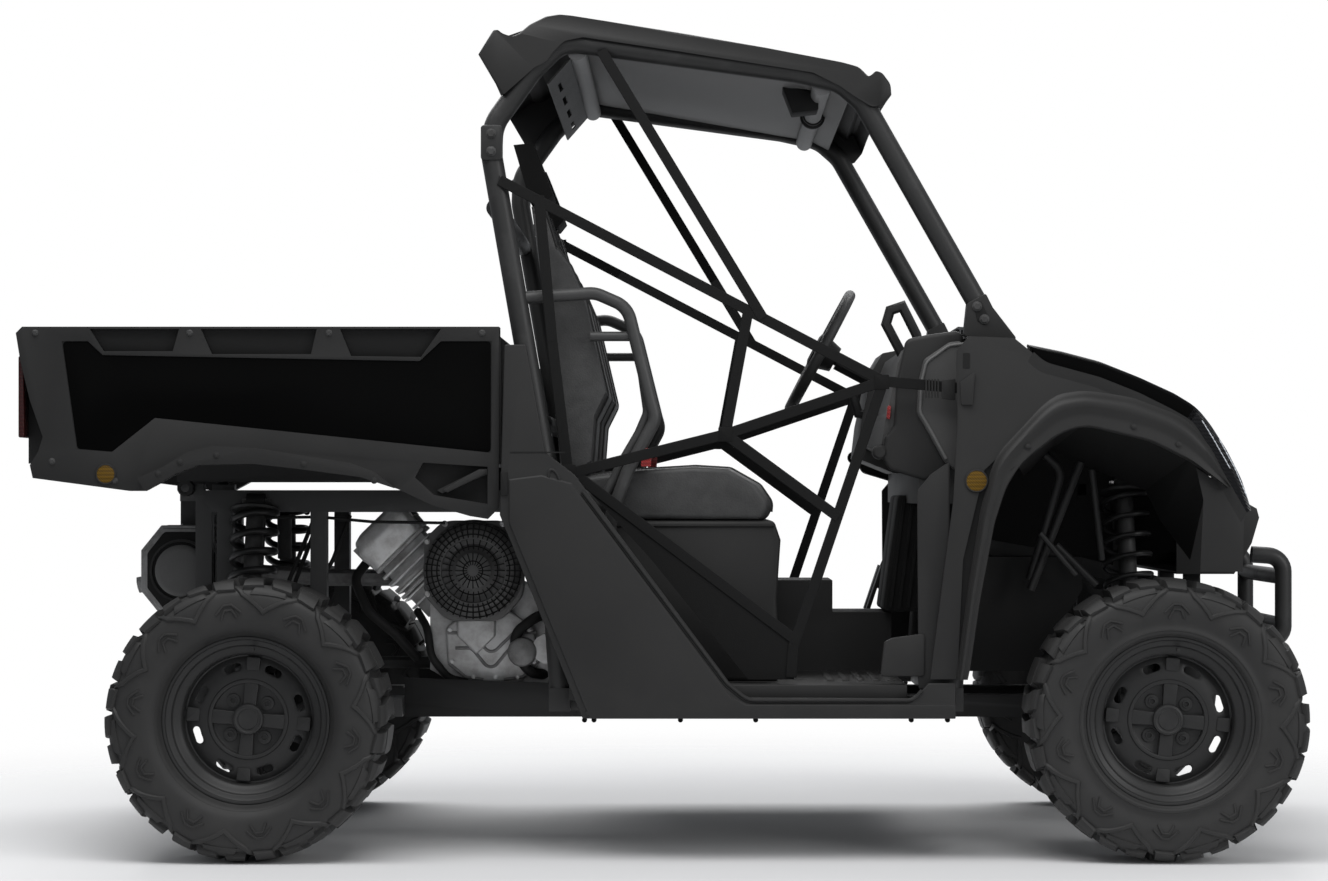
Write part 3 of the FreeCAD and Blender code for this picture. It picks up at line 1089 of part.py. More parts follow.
front = []
nose_low = xz(NOSE, nose_shares[-1])[1]
cowl_x, cowl_z = xz(CAB, cowl_share)
thick = NOSE_BAR / 2
for sign in (-1, 1):
    y = sign * NOSE_Y
    run = [V(cowl_x, y, cowl_z), V(BAY_MID_X, y, BAY_MID_Z), V(BAY_FRONT_X, y, BAY_LOW_Z)]
    for a, b in zip(run, run[1:]):
        front.append(bar(a, b + (b - a).normalize() * thick, NOSE_BAR, NOSE_BAR))
    for x, low, high in ((BAY_REAR_X, RAIL_Z, BAY_POST_Z), (BAY_FRONT_X, RAIL_Z, nose_low - SEAT_GAP),
                         (SHOCK_X, UPPER_ARM_Z, SHOCK_BAR_Z)):
        front.append(box(x - thick, x + thick, y - thick, y + thick, low, high))
    front.append(box(BAY_REAR_X, BAY_FRONT_X, y - thick, y + thick, UPPER_ARM_Z - thick,
                     UPPER_ARM_Z + thick))
    front.append(box(BAY_FRONT_X - thick, BAY_FRONT_X + thick, sign * RAIL_Y * 0.9, y, rail_low,
                     RAIL_Z + RAIL_H))
crossings = [(cowl_x, cowl_z, TUBE_Y), (SHOCK_X, SHOCK_BAR_Z, SHOCK_BAR_Y)]
crossings += [(BAY_FRONT_X, z, NOSE_Y) for z in nose_bar_zs]
for x, z, reach in crossings:
    front.append(box(x - thick, x + thick, -reach, reach, z - thick, z + thick))
rack_low, rack_top = TIE_ROD_Z - RACK_R / 2, TIE_ROD_Z + RACK_R / 2
housing = [prism_rod(V(RACK_X, -RACK_HALF, TIE_ROD_Z), V(RACK_X, RACK_HALF, TIE_ROD_Z), RACK_R),
           box(BAY_REAR_X - thick, BAY_REAR_X + thick, -NOSE_Y, NOSE_Y, rack_low, rack_top)]
for y in (-RACK_HALF + RACK_R, RACK_HALF - RACK_R):
    housing.append(box(BAY_REAR_X, RACK_X, y - RACK_R, y + RACK_R, rack_low, rack_top))
front.append(fuse(housing))
slide = prism_rod(V(RACK_X, -NOSE_Y, TIE_ROD_Z), V(RACK_X, NOSE_Y, TIE_ROD_Z), TIE_ROD_R + RUN_GAP)
prop_clear = prism_rod(V(BAY_REAR_X - NOSE_BAR, 0, PROP_Z), V(RACK_X + RACK_R * 2, 0, PROP_Z),
                       PROP_R + MOVE_GAP)
front_frame = fuse(front).cut(slide).cut(prop_clear)
save("frame_front", trimmed([front_frame], "frame_lower", "rops_sides", "front_fascia", "floor",
                            "steering_column"))

loop_x0, loop_x1 = BAY_FRONT_X + NOSE_BAR / 2 + SEAT_GAP, NOSE_X - BUMPER_R
loops = []
for sign in (-1, 1):
    y = sign * BUMPER_Y
    path = [V(loop_x0, sign * NOSE_Y, BUMPER_FOOT_Z), V(NOSE_X - BUMPER_IN, y, BUMPER_LOW_Z + BUMPER_RISE),
            V(loop_x1, y, BUMPER_LOW_Z), V(loop_x1, y, BUMPER_TOP_Z),
            V(NOSE_X - BUMPER_IN + RECESS, y, BUMPER_TOP_Z + BUMPER_RISE / 2)]
    loops.append(tube(bend_points(path, BUMPER_BEND), BUMPER_R, TUBE_SIDES))
for z in bumper_bar_zs:
    loops.append(prism_rod(V(loop_x1, -BUMPER_Y, z), V(loop_x1, BUMPER_Y, z), BUMPER_R))
save("front_bumper", trimmed([fuse(loops)], "frame_front"))


# Fenders with their wheel wells, and headlamps
fender_side = side_plate(FENDER, fender_shares, -FENDER_OUT, -FENDER_OUT + SKIN)
flare = side_plate(FENDER, fender_flare_shares, -FENDER_FLARE, -FENDER_OUT)
top_skin = bonnet_skin(bonnet_shares, ((-FENDER_OUT, 0, 0), (-HOOD_Y - MOVE_GAP, HOOD_LIFT, -FENDER_SET)),
                       SKIN)
leg = side_plate(FENDER, fender_leg_shares, -FENDER_OUT, -FENDER_OUT + SKIN)
arch_out = [at(FENDER, s, -FENDER_OUT + SKIN / 2) for s in arch_out_shares]
arch_in = [at(FENDER, s, -HALF + ARCH_IN) for s in arch_in_shares]
arch = [face_of(corner).extrude(V(0, 0, SKIN))
        for a, b, c, d in zip(arch_out, arch_out[1:], arch_in, arch_in[1:]) for corner in ((a, b, c), (b,
                                                                                                       d, c))]
liner = face_of([at(FENDER, s, -FENDER_OUT) for s in liner_shares]).extrude(V(0, FENDER_OUT - WELL_Y, 0))
well_low = side_plate(FENDER, well_low_shares, -WELL_Y - LINER_T, -WELL_Y)
well_top = side_plate(FENDER, well_top_shares, -WELL_TOP_Y - LINER_T, -WELL_TOP_Y)
well_top = well_top.cut(side_plate(FENDER, well_slit_shares, -WELL_Y, 0))
step = [at(FENDER, s, -WELL_Y - LINER_T) for s in (well_low_shares[4], well_low_shares[5])]
step += [p + V(0, 0, LINER_T) for p in reversed(step)]
well_step = face_of(step).extrude(V(0, WELL_Y - WELL_TOP_Y + LINER_T, 0))
well_step = well_step.cut(mirrored(prism_rod(knee, lower_knee, COLUMN_R + MOVE_GAP)))
bar_hole = NOSE_BAR / 2 + SEAT_GAP
well_top = well_top.cut(box(SHOCK_X - bar_hole, SHOCK_X + bar_hole, -WELL_Y, 0, SHOCK_BAR_Z - bar_hole,
                            SHOCK_BAR_Z + bar_hole))
liner_back = box(xz(FENDER, liner_shares[1])[0], xz(FENDER, well_low_shares[0])[0] + LINER_T,
                 -WELL_Y - LINER_T,
                 -WELL_Y, xz(FENDER, liner_shares[1])[1], xz(FENDER, liner_shares[0])[1])
fender = fuse([fender_side, flare, leg, top_skin, liner, liner_back, well_low, well_step, well_top] + arch)
save("fenders", both(trimmed([fender], "rops_sides", "rops_crossbars", "side_panels", "floor", "dash",
                             "frame_front")))

lamp_in = HOOD_Y + MOVE_GAP
lamp = side_plate(NOSE, lamp_shares, -LAMP_Y, -lamp_in)
save("headlamps", both(trimmed([lamp], "fenders", "hood", "front_fascia")))


# Engine, exhaust, driveline
case = side_plate(REAR, case_shares, -CASE_Y, CASE_Y)
cyl_foot, cyl_top = (at(REAR, share, 0) for share in cylinder_axis_shares)
first_share, pitch_share, thick_share, block_share = fin_shares
run = cyl_top - cyl_foot
core = bar(cyl_foot, cyl_top, CYL_Y * 1.6, CYL_Y * 1.5)
fins = []
for i in range(FINS):
    c = cyl_foot + run * (first_share + pitch_share * i)
    fins.append(bar(c, c + run * thick_share, CYL_Y * 2, CYL_Y * 1.8))
head_block = bar(cyl_foot + run * block_share, cyl_top, CYL_Y * 2, CYL_Y * 1.9)
can_face = at(REAR, filter_share, -CASE_Y)
filter_can = prism_rod(can_face, can_face - V(0, FILTER_L, 0), FILTER_R, PIN_SIDES)
save("engine", fuse([case, core, head_block, filter_can] + fins))

cvt_x, cvt_z = xz(REAR, cvt_spot_share)
outer = -CVT_IN - CVT_T
plate = face_of([V(cvt_x + CVT_R * a, -CVT_IN, cvt_z + CVT_R * b) for a, b in cvt_shares])
cover = [plate.extrude(V(0, -CVT_T * 0.7, 0)),
         prism_rod(V(cvt_x, -CVT_IN, cvt_z), V(cvt_x, outer, cvt_z), CVT_R * 0.86, CVT_SIDES),
         prism_rod(V(cvt_x, -CVT_IN, cvt_z), V(cvt_x, outer - CVT_STEP, cvt_z), CVT_BOSS_R, CVT_SIDES)]
for i in range(CVT_RIBS):
    a = 2 * math.pi * (i + 0.5) / CVT_RIBS
    out = V(math.cos(a), 0, math.sin(a))
    mid = V(cvt_x, outer, cvt_z)
    cover.append(bar(mid + out * CVT_BOSS_R * 0.9, mid + out * CVT_R * 0.8, CVT_STEP, CVT_STEP))
save("cvt_cover", fuse(cover))


def can(rim, y0, y1):
    """An eight sided length of the silencer, wider by its rim."""
    half_w, half_h = MUFFLER_W + rim, MUFFLER_H + rim
    face = face_of([V(MUFFLER_X + half_w * a, y0, MUFFLER_Z + half_h * b) for a, b in octagon_shares])
    return face.extrude(V(0, y1 - y0, 0))


muffler = [can(0, -MUFFLER_Y, MUFFLER_Y)]
for sign in (-1, 1):
    muffler.append(can(MUFFLER_RIM, sign * MUFFLER_Y * 0.86, sign * (MUFFLER_Y - RECESS)))
    muffler.append(can(MUFFLER_RIM, sign * MUFFLER_Y / 2, sign * MUFFLER_Y * 0.6))
pipe_run = [at(REAR, share, PIPE_Y) for share in pipe_shares] + [V(MUFFLER_X, PIPE_Y, MUFFLER_Z)]
outlet = prism_rod(V(MUFFLER_X - MUFFLER_W / 2, PIPE_Y * 1.5, MUFFLER_Z - PIPE_R),
                   V(MUFFLER_X - MUFFLER_W * 1.7, PIPE_Y * 1.5, MUFFLER_Z - PIPE_R * 2), PIPE_R)
pipes = [tube(pipe_run, PIPE_R, THIN_SIDES), outlet]
save("exhaust", trimmed([fuse(muffler + pipes)], "engine", "frame_rear"))

drive = []
for x, share in ((FRONT_X, case_shares[2]), (REAR_X, case_shares[0])):
    toward = xz(REAR, share)[0]
    housing = prism_rod(V(x, -DIFF_Y, DIFF_Z), V(x, DIFF_Y, DIFF_Z), DIFF_R, PIN_SIDES)
    collar = prism_rod(V(x, -DIFF_Y * 1.3, DIFF_Z), V(x, DIFF_Y * 1.3, DIFF_Z), DIFF_R * 0.5, PIN_SIDES)
    drive.append(fuse([housing, collar, prism_rod(V(x, 0, PROP_Z), V(toward, 0, PROP_Z), PROP_R)]))
save("driveline", trimmed(drive, "engine", "frame_rear", "frame_lower"))

rear_hub_in = REAR_Y - HUB_IN
upright = box(REAR_X - REAR_POST_W / 2, REAR_X + REAR_POST_W / 2, -rear_hub_in - REAR_POST_T, -rear_hub_in,
              TYRE_R - REAR_POST_DOWN, TYRE_R + REAR_POST_UP)
save("rear_knuckles", both([fuse([upright] + spindle(REAR_X, rear_hub_in, REAR_Y))]))

halves = []
swing = UPRIGHT_W / math.sqrt(2)        # how far the upright's corners reach as it steers
for x, y_out in ((FRONT_X, KING_Y - swing - MOVE_GAP * 3), (REAR_X, rear_hub_in)):
    inner, outer_end = V(x, -DIFF_Y * 1.3, DIFF_Z), V(x, -y_out, TYRE_R)
    along = (outer_end - inner).normalize()
    shaft = [prism_rod(inner, outer_end, HALF_SHAFT_R)]
    for end, way in ((inner, 1), (outer_end, -1)):
        shaft.append(prism_rod(end, end + along * (way * BOOT_L), BOOT_R))
    halves.append(fuse(shaft))
save("half_shafts", both(trimmed(halves, "driveline", "rear_knuckles", "frame_front")))


# Suspension arms and shocks
front_foot_y, front_foot_z = KING_Y - FRONT_SHOCK_IN, TYRE_R - FRONT_SHOCK_DROP
rear_foot_y, rear_foot_z = rear_hub_in - REAR_SHOCK_IN, TYRE_R - REAR_SHOCK_DROP
arms = []
for level, z_in, z_out in ((1, LOWER_ARM_Z, TYRE_R - BALL_DROP), (-1, UPPER_ARM_Z, TYRE_R + BALL_DROP)):
    ball = V(FRONT_X, -KING_Y, z_out)
    pin_end = V(FRONT_X, -KING_Y, TYRE_R - level * (UPRIGHT_H / 2 - KING_PIN_L + RECESS))
    pieces = [rod(ball, pin_end, KING_PIN_R)]
    for x in (FRONT_X - ARM_SPAN, FRONT_X + ARM_SPAN):
        pieces.append(bar(V(x, -NOSE_Y, z_in), ball, ARM_W, ARM_T))
    arms.append(pieces)
for z_in, z_out in ((REAR_LOWER_ARM_Z, TYRE_R - REAR_BALL_DOWN), (UPPER_ARM_Z, TYRE_R + REAR_BALL_UP)):
    ball = V(REAR_X, -rear_hub_in, z_out)
    arms.append([bar(V(x, -UPPER_Y, z_in), ball, ARM_W, ARM_T) for x in (REAR_X - ARM_SPAN,
                                                                         REAR_X + ARM_SPAN)])
for pieces, x, y, z in ((arms[0], FRONT_X, front_foot_y, front_foot_z), (arms[2], REAR_X, rear_foot_y,
                                                                         rear_foot_z)):
    pieces.append(bar(V(x - SHOCK_BAR_HALF, -y, z), V(x + SHOCK_BAR_HALF, -y, z), SHOCK_BAR_R * 2,
                      SHOCK_BAR_R * 2))
arms = trimmed([fuse(a) for a in arms], "rear_knuckles", "frame_front", "frame_rear", "frame_lower",
               "half_shafts")
save("suspension_arms", both(arms))


def coil(start, along, length):
    """A spring of square wire in straight chords, from its first section to its last."""
    one = along.cross(V(0, 1, 0)).normalize()
    two = along.cross(one)
    steps = SPRING_TURNS * SPRING_SIDES
    half = WIRE / 2
    sections = []
    for k in range(steps + 1):
        t = 2 * math.pi * k / SPRING_SIDES
        out = one * math.cos(t) + two * math.sin(t)
        middle = start + along * (half + (length - WIRE) * k / steps)
        sections.append([middle + out * (SPRING_R - half + a * half) + along * (b * half)
                         for a, b in ((-1, -1), (1, -1), (1, 1), (-1, 1))])
    faces = [face_of(sections[0]), face_of(sections[-1])]
    for here, there in zip(sections, sections[1:]):
        for i in range(4):
            j = (i + 1) % 4
            faces.append(face_of([here[i], here[j], there[j]]))
            faces.append(face_of([here[i], there[j], there[i]]))
    return Part.Solid(Part.Shell(faces))


def shock(top, bottom, spring):
    """A damper between two eyes, and its spring between two perches."""
    along = (bottom - top).normalize()
    length = (bottom - top).Length
    upper = top + along * PERCH_IN
    lower = top + along * (PERCH_IN + PERCH_T + spring)
    body = fuse([
        prism_rod(top, top + along * (length * damper_share), DAMPER_R), prism_rod(top, bottom, ROD_R),
        prism_rod(upper, upper + along * PERCH_T, SPRING_R), prism_rod(lower, lower + along * PERCH_T,
                                                                       SPRING_R),
    ])
    return body, coil(upper + along * (PERCH_T + SEAT_GAP), along, spring - SEAT_GAP * 2)


front_body, front_spring = shock(V(SHOCK_X, -NOSE_Y - SHOCK_OUT, SHOCK_BAR_Z),
                                 V(SHOCK_X + SHOCK_LEAN, -front_foot_y, front_foot_z), FRONT_SPRING_L)
rear_body, rear_spring = shock(V(REAR_SHOCK_X, -UPPER_Y - REAR_SHOCK_OUT, UPPER_Z),
                               V(REAR_SHOCK_X - REAR_SHOCK_LEAN, -rear_foot_y, rear_foot_z), REAR_SPRING_L)
bodies = trimmed([front_body, rear_body], "suspension_arms", "frame_front", "frame_rear")
save("shocks", both(bodies + [front_spring, rear_spring]))
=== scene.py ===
"""A side by side utility vehicle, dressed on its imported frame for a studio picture."""

from __future__ import annotations

import logging
import math
from dataclasses import dataclass, field
from enum import Enum
from typing import Callable, Iterable, Sequence

import bmesh
import bpy
from bmesh.types import BMesh
from bpy.types import GeometryNodeTree, Material, Mesh, Node, Object
from mathutils import Matrix, Vector


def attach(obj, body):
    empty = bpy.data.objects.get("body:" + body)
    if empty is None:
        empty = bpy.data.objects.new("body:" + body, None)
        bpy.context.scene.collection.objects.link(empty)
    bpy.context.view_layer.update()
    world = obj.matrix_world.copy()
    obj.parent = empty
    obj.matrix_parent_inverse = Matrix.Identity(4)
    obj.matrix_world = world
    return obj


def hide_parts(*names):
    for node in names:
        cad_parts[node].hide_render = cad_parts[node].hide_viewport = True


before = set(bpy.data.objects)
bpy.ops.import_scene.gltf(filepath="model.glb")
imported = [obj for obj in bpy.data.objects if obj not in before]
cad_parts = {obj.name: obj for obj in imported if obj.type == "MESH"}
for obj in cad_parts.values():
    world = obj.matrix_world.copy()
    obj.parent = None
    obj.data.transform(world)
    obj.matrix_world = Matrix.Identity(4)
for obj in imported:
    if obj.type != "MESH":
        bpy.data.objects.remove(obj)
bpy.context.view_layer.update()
LOG = logging.getLogger("utility_vehicle")

Point = tuple[float, float]


class Side(Enum):
    """Which side of the vehicle a piece is on: the sign of its Y."""

    RIGHT = -1
    LEFT = 1


# Shader maths


class Value:
    """A socket or number that writes Math nodes when it is used in an expression."""

    def __init__(self, graph: "Graph", link: bpy.types.NodeSocket | float) -> None:
        """Keeps the graph and the socket or number."""
        self.graph, self.link = graph, link

    def _math(self, operation: str, *others: "Value | float") -> "Value":
        """Adds one Math node.

        Args:
            operation: the node's operation.
            others: its further operands.

        Returns:
            The node's result.
        """
        links = [self.link] + [o.link if isinstance(o, Value) else o for o in others]
        return self.graph.node("ShaderNodeMath", {"operation": operation}, *links)["Value"]

    def __add__(self, other: "Value | float") -> "Value":
        """self + other."""
        return self._math("ADD", other)

    def __mul__(self, other: "Value | float") -> "Value":
        """self * other."""
        return self._math("MULTIPLY", other)

    def __sub__(self, other: "Value | float") -> "Value":
        """self - other."""
        return self._math("SUBTRACT", other)

    def __rsub__(self, other: float) -> "Value":
        """other - self."""
        return Value(self.graph, other)._math("SUBTRACT", self)

    def __truediv__(self, other: float) -> "Value":
        """self / other."""
        return self._math("DIVIDE", other)

    __radd__ = __add__
    __rmul__ = __mul__

    def above(self, edge: float, soft: float) -> "Value":
        """A mask that rises from 0 to 1 round an edge.

        Args:
            edge: where the mask is a half.
            soft: how far the rise reaches each way.

        Returns:
            The mask.
        """
        return self.graph.node("ShaderNodeMapRange", {"interpolation_type": "SMOOTHSTEP"}, self.link,
                               edge - soft, edge + soft, 0.0, 1.0)["Result"]

    def wave(self, pitch: float) -> "Value":
        """A sine of the value with the given pitch, from -1 to 1."""
        return (self * (2 * math.pi / pitch))._math("SINE")


class Outputs:
    """A node's outputs by name, as values."""

    def __init__(self, graph: "Graph", node: Node) -> None:
        """Keeps the node."""
        self.graph, self.made = graph, node

    def __getitem__(self, name: str) -> Value:
        """One output."""
        return Value(self.graph, self.made.outputs[name])


class Graph:
    """The node tree of one material, with its Principled shader."""

    def __init__(self, name: str) -> None:
        """Makes the material.

        Args:
            name: the material's name.
        """
        self.material = bpy.data.materials.new(name)
        self.material.use_nodes = True
        self.tree = self.material.node_tree
        self.shader = self.tree.nodes["Principled BSDF"]
        self.spot = self.node("ShaderNodeTexCoord", {})["Object"]

    def node(self, kind: str, settings: dict[str, object], *values: object, **named: object) -> Outputs:
        """Adds a node.

        Args:
            kind: the node's type.
            settings: its properties, set first; "stops" gives a ramp's (place, colour) pairs.
            values: links or values of its first sockets, None to skip one.
            named: links or values of sockets by name, spaces as underscores.

        Returns:
            Its outputs.
        """
        made = self.tree.nodes.new(kind)
        for key, value in settings.items():
            if key == "stops":
                ramp = made.color_ramp.elements
                while len(ramp) < len(value):
                    ramp.new(1.0)
                for stop, (place, colour) in zip(ramp, value):
                    stop.position, stop.color = place, colour
            else:
                setattr(made, key, value)
        pairs = [(made.inputs[i], v) for i, v in enumerate(values)]
        pairs += [(made.inputs[k.replace("_", " ")], v) for k, v in named.items()]
        for socket, value in pairs:
            if isinstance(value, Value):
                value = value.link
            if isinstance(value, bpy.types.NodeSocket):
                self.tree.links.new(value, socket)
            elif value is not None:
                socket.default_value = value
        return Outputs(self, made)

    def noise(self, size: float, detail: float = 3.0, rough: float = 0.55) -> Value:
        """Noise whose features are about size metres."""
        return self.node("ShaderNodeTexNoise", {}, Vector=self.spot, Scale=1 / size, Detail=detail,
                         Roughness=rough)["Fac"]

    def cells(self, size: float) -> Value:
        """Distance to the nearest of scattered points, about size metres apart."""
        return self.node("ShaderNodeTexVoronoi", {"feature": "F1"}, Vector=self.spot, Scale=1 / size)["Distance"]

    def axes(self) -> tuple[Value, Value, Value]:
        """X, Y and Z of the point, in metres."""
        split = self.node("ShaderNodeSeparateXYZ", {}, self.spot)
        return split["X"], split["Y"], split["Z"]

    def blend(self, mask: Value, low: Sequence[float], high: Sequence[float]) -> Value:
        """A colour that goes from low to high with a mask."""
        mixed = self.node("ShaderNodeMix", {"data_type": "RGBA"})
        node = mixed.made
        self.tree.links.new(mask.link, node.inputs[0])
        node.inputs[6].default_value, node.inputs[7].default_value = (*low, 1.0), (*high, 1.0)
        return Value(self, node.outputs[2])

    def bump(self, height: Value, distance: float, strength: float = 1.0) -> None:
        """Gives the shader a bump of a height from 0 to 1.

        Args:
            height: the height.
            distance: the depth of the relief, in metres.
            strength: how much of it shows.
        """
        made = self.node("ShaderNodeBump", {}, Strength=strength, Distance=distance, Height=height)
        self.feed("Normal", made["Normal"])

    def feed(self, socket: str, value: Value | float | Sequence[float]) -> None:
        """Links or sets one socket of the shader."""
        target = self.shader.inputs[socket]
        if isinstance(value, Value):
            self.tree.links.new(value.link, target)
        else:
            target.default_value = value


def grey(level: float, warm: float = 0.0) -> tuple[float, float, float]:
    """A grey of a linear level, a little warm or cool."""
    return (level * (1 + warm), level, level * (1 - warm))


@dataclass(frozen=True)
class Finish:
    """What every finish has."""

    name: str

    def material(self) -> Material:
        """The finish's material, made once."""
        known = bpy.data.materials.get(self.name)
        if known:
            return known
        graph = Graph(self.name)
        self.paint(graph)
        return graph.material

    def paint(self, graph: Graph) -> None:
        """Fills the graph; each finish does this its own way."""
        raise NotImplementedError


@dataclass(frozen=True)
class MouldedPlastic(Finish):
    """Textured moulded plastic: fine grain, faint flow clouds and a little dust low down."""

    level: float = 0.03
    roughness: float = 0.48
    grain: float = 0.0011
    depth: float = 0.00012

    def paint(self, graph: Graph) -> None:
        """Fills the graph."""
        clouds = graph.noise(0.22, 4.0)
        speckle = graph.noise(0.004, 2.0)
        height = graph.axes()[2]
        dust = (1.0 - height.above(0.42, 0.2)) * graph.noise(0.06, 5.0).above(0.55, 0.15) * 0.35
        tone = (clouds * 0.7 + speckle * 0.3).above(0.5, 0.32)
        graph.feed("Base Color", graph.blend(tone * 0.6 + dust, grey(self.level * 0.86), grey(self.level * 1.3, 0.02)))
        graph.feed("Roughness", tone * 0.08 + dust * 0.2 + (self.roughness - 0.03))
        graph.feed("Specular IOR Level", 0.16)
        graph.bump(graph.cells(self.grain) * 0.7 + graph.noise(self.grain * 2.2) * 0.6, self.depth, 0.55)


@dataclass(frozen=True)
class GlossPlastic(Finish):
    """Piano black: deep, coated, with the slightest orange peel."""

    level: float = 0.0012

    def paint(self, graph: Graph) -> None:
        """Fills the graph."""
        haze = graph.noise(0.3, 3.0)
        graph.feed("Base Color", graph.blend(haze, grey(self.level), grey(self.level * 1.6)))
        graph.feed("Roughness", haze * 0.06 + 0.24)
        graph.feed("Specular IOR Level", 0.02)
        graph.bump(graph.noise(0.012, 1.0), 0.00008, 0.25)


@dataclass(frozen=True)
class PaintedSteel(Finish):
    """Powder coated steel: satin, with orange peel and rubbed, paler high spots."""

    level: float = 0.018
    roughness: float = 0.4

    def paint(self, graph: Graph) -> None:
        """Fills the graph."""
        rub = graph.noise(0.09, 6.0, 0.65).above(0.62, 0.1)
        peel = graph.noise(0.0032, 2.0)
        graph.feed("Base Color", graph.blend(rub * 0.5 + peel * 0.2, grey(self.level), grey(self.level * 1.9)))
        graph.feed("Roughness", rub * 0.12 + peel * 0.08 + self.roughness)
        graph.feed("Specular IOR Level", 0.22)
        graph.bump(peel, 0.00022, 0.5)


@dataclass(frozen=True)
class CastMetal(Finish):
    """Cast or machined light metal: sandy skin, stains in the low spots."""

    level: float = 0.42
    roughness: float = 0.42
    metallic: float = 0.9

    def paint(self, graph: Graph) -> None:
        """Fills the graph."""
        sand = graph.noise(0.0022, 3.0)
        stain = graph.noise(0.05, 6.0, 0.7).above(0.54, 0.16)
        graph.feed("Base Color", graph.blend(stain, grey(self.level), grey(self.level * 0.72, 0.02)))
        graph.feed("Roughness", stain * 0.2 + sand * 0.15 + self.roughness)
        graph.feed("Metallic", self.metallic)
        graph.bump(sand + graph.noise(0.014, 2.0) * 0.6, 0.0004, 0.6)


@dataclass(frozen=True)
class TyreRubber(Finish):
    """Tyre rubber: dull, faintly ribbed on its walls, dusty in the tread."""

    level: float = 0.028

    def paint(self, graph: Graph) -> None:
        """Fills the graph."""
        scuff = graph.noise(0.03, 6.0, 0.7)
        skin = graph.noise(0.0025, 3.0)
        dust = graph.noise(0.12, 4.0).above(0.58, 0.14)
        graph.feed("Base Color",
                   graph.blend(scuff * 0.6 + dust * 0.35, grey(self.level * 0.75), grey(self.level * 1.35, 0.02)))
        graph.feed("Roughness", scuff * 0.14 + dust * 0.08 + 0.52)
        graph.feed("Specular IOR Level", 0.22)
        graph.bump(skin + scuff * 0.5, 0.0003, 0.5)


@dataclass(frozen=True)
class Webbing(Finish):
    """Woven strap: ribs across the run and a fine diagonal twill, read from the strap's own map."""

    level: float = 0.012
    rib: float = 0.0022

    def paint(self, graph: Graph) -> None:
        """Fills the graph."""
        split = graph.node("ShaderNodeSeparateXYZ", {}, graph.node("ShaderNodeUVMap", {})["UV"])
        along, over = split["X"], split["Y"]
        weft = along.wave(self.rib)
        warp = (over + along * 0.5).wave(self.rib * 1.4)
        weave = (weft * 0.5 + warp * 0.5) * 0.5 + 0.5
        fuzz = graph.noise(0.0018, 3.0)
        graph.feed("Base Color", graph.blend(weave * 0.6 + fuzz * 0.3, grey(self.level * 0.6), grey(self.level * 1.9)))
        graph.feed("Roughness", fuzz * 0.1 + 0.72)
        graph.feed("Specular IOR Level", 0.08)
        graph.bump(weave, 0.0006, 0.7)


@dataclass(frozen=True)
class SeatVinyl(Finish):
    """Grained seat vinyl: leather pebble with soft creases and a dull sheen."""

    level: float = 0.02
    pebble: float = 0.0042

    def paint(self, graph: Graph) -> None:
        """Fills the graph."""
        grain = graph.cells(self.pebble)
        crease = graph.noise(0.035, 4.0, 0.6)
        tone = crease.above(0.5, 0.3)
        graph.feed("Base Color", graph.blend(tone * 0.6 + grain * 0.4, grey(self.level * 0.8), grey(self.level * 1.5)))
        graph.feed("Roughness", tone * 0.1 + grain * 0.12 + 0.42)
        graph.feed("Specular IOR Level", 0.24)
        graph.bump(grain * 0.8 + crease * 0.5, 0.0006, 0.6)


@dataclass(frozen=True)
class Lens(Finish):
    """A moulded lens: coloured, glossy, with fine prisms behind its face."""

    colour: tuple[float, float, float] = (0.5, 0.02, 0.02)

    def paint(self, graph: Graph) -> None:
        """Fills the graph."""
        x, _, z = graph.axes()
        prism = (x + z).wave(0.006) * 0.25 + z.wave(0.009) * 0.25 + 0.5
        deep = tuple(c * 0.35 for c in self.colour)
        graph.feed("Base Color", graph.blend(prism, deep, self.colour))
        graph.feed("Roughness", prism * 0.1 + 0.12)
        graph.feed("Specular IOR Level", 0.2)
        graph.bump(prism, 0.0008, 0.5)


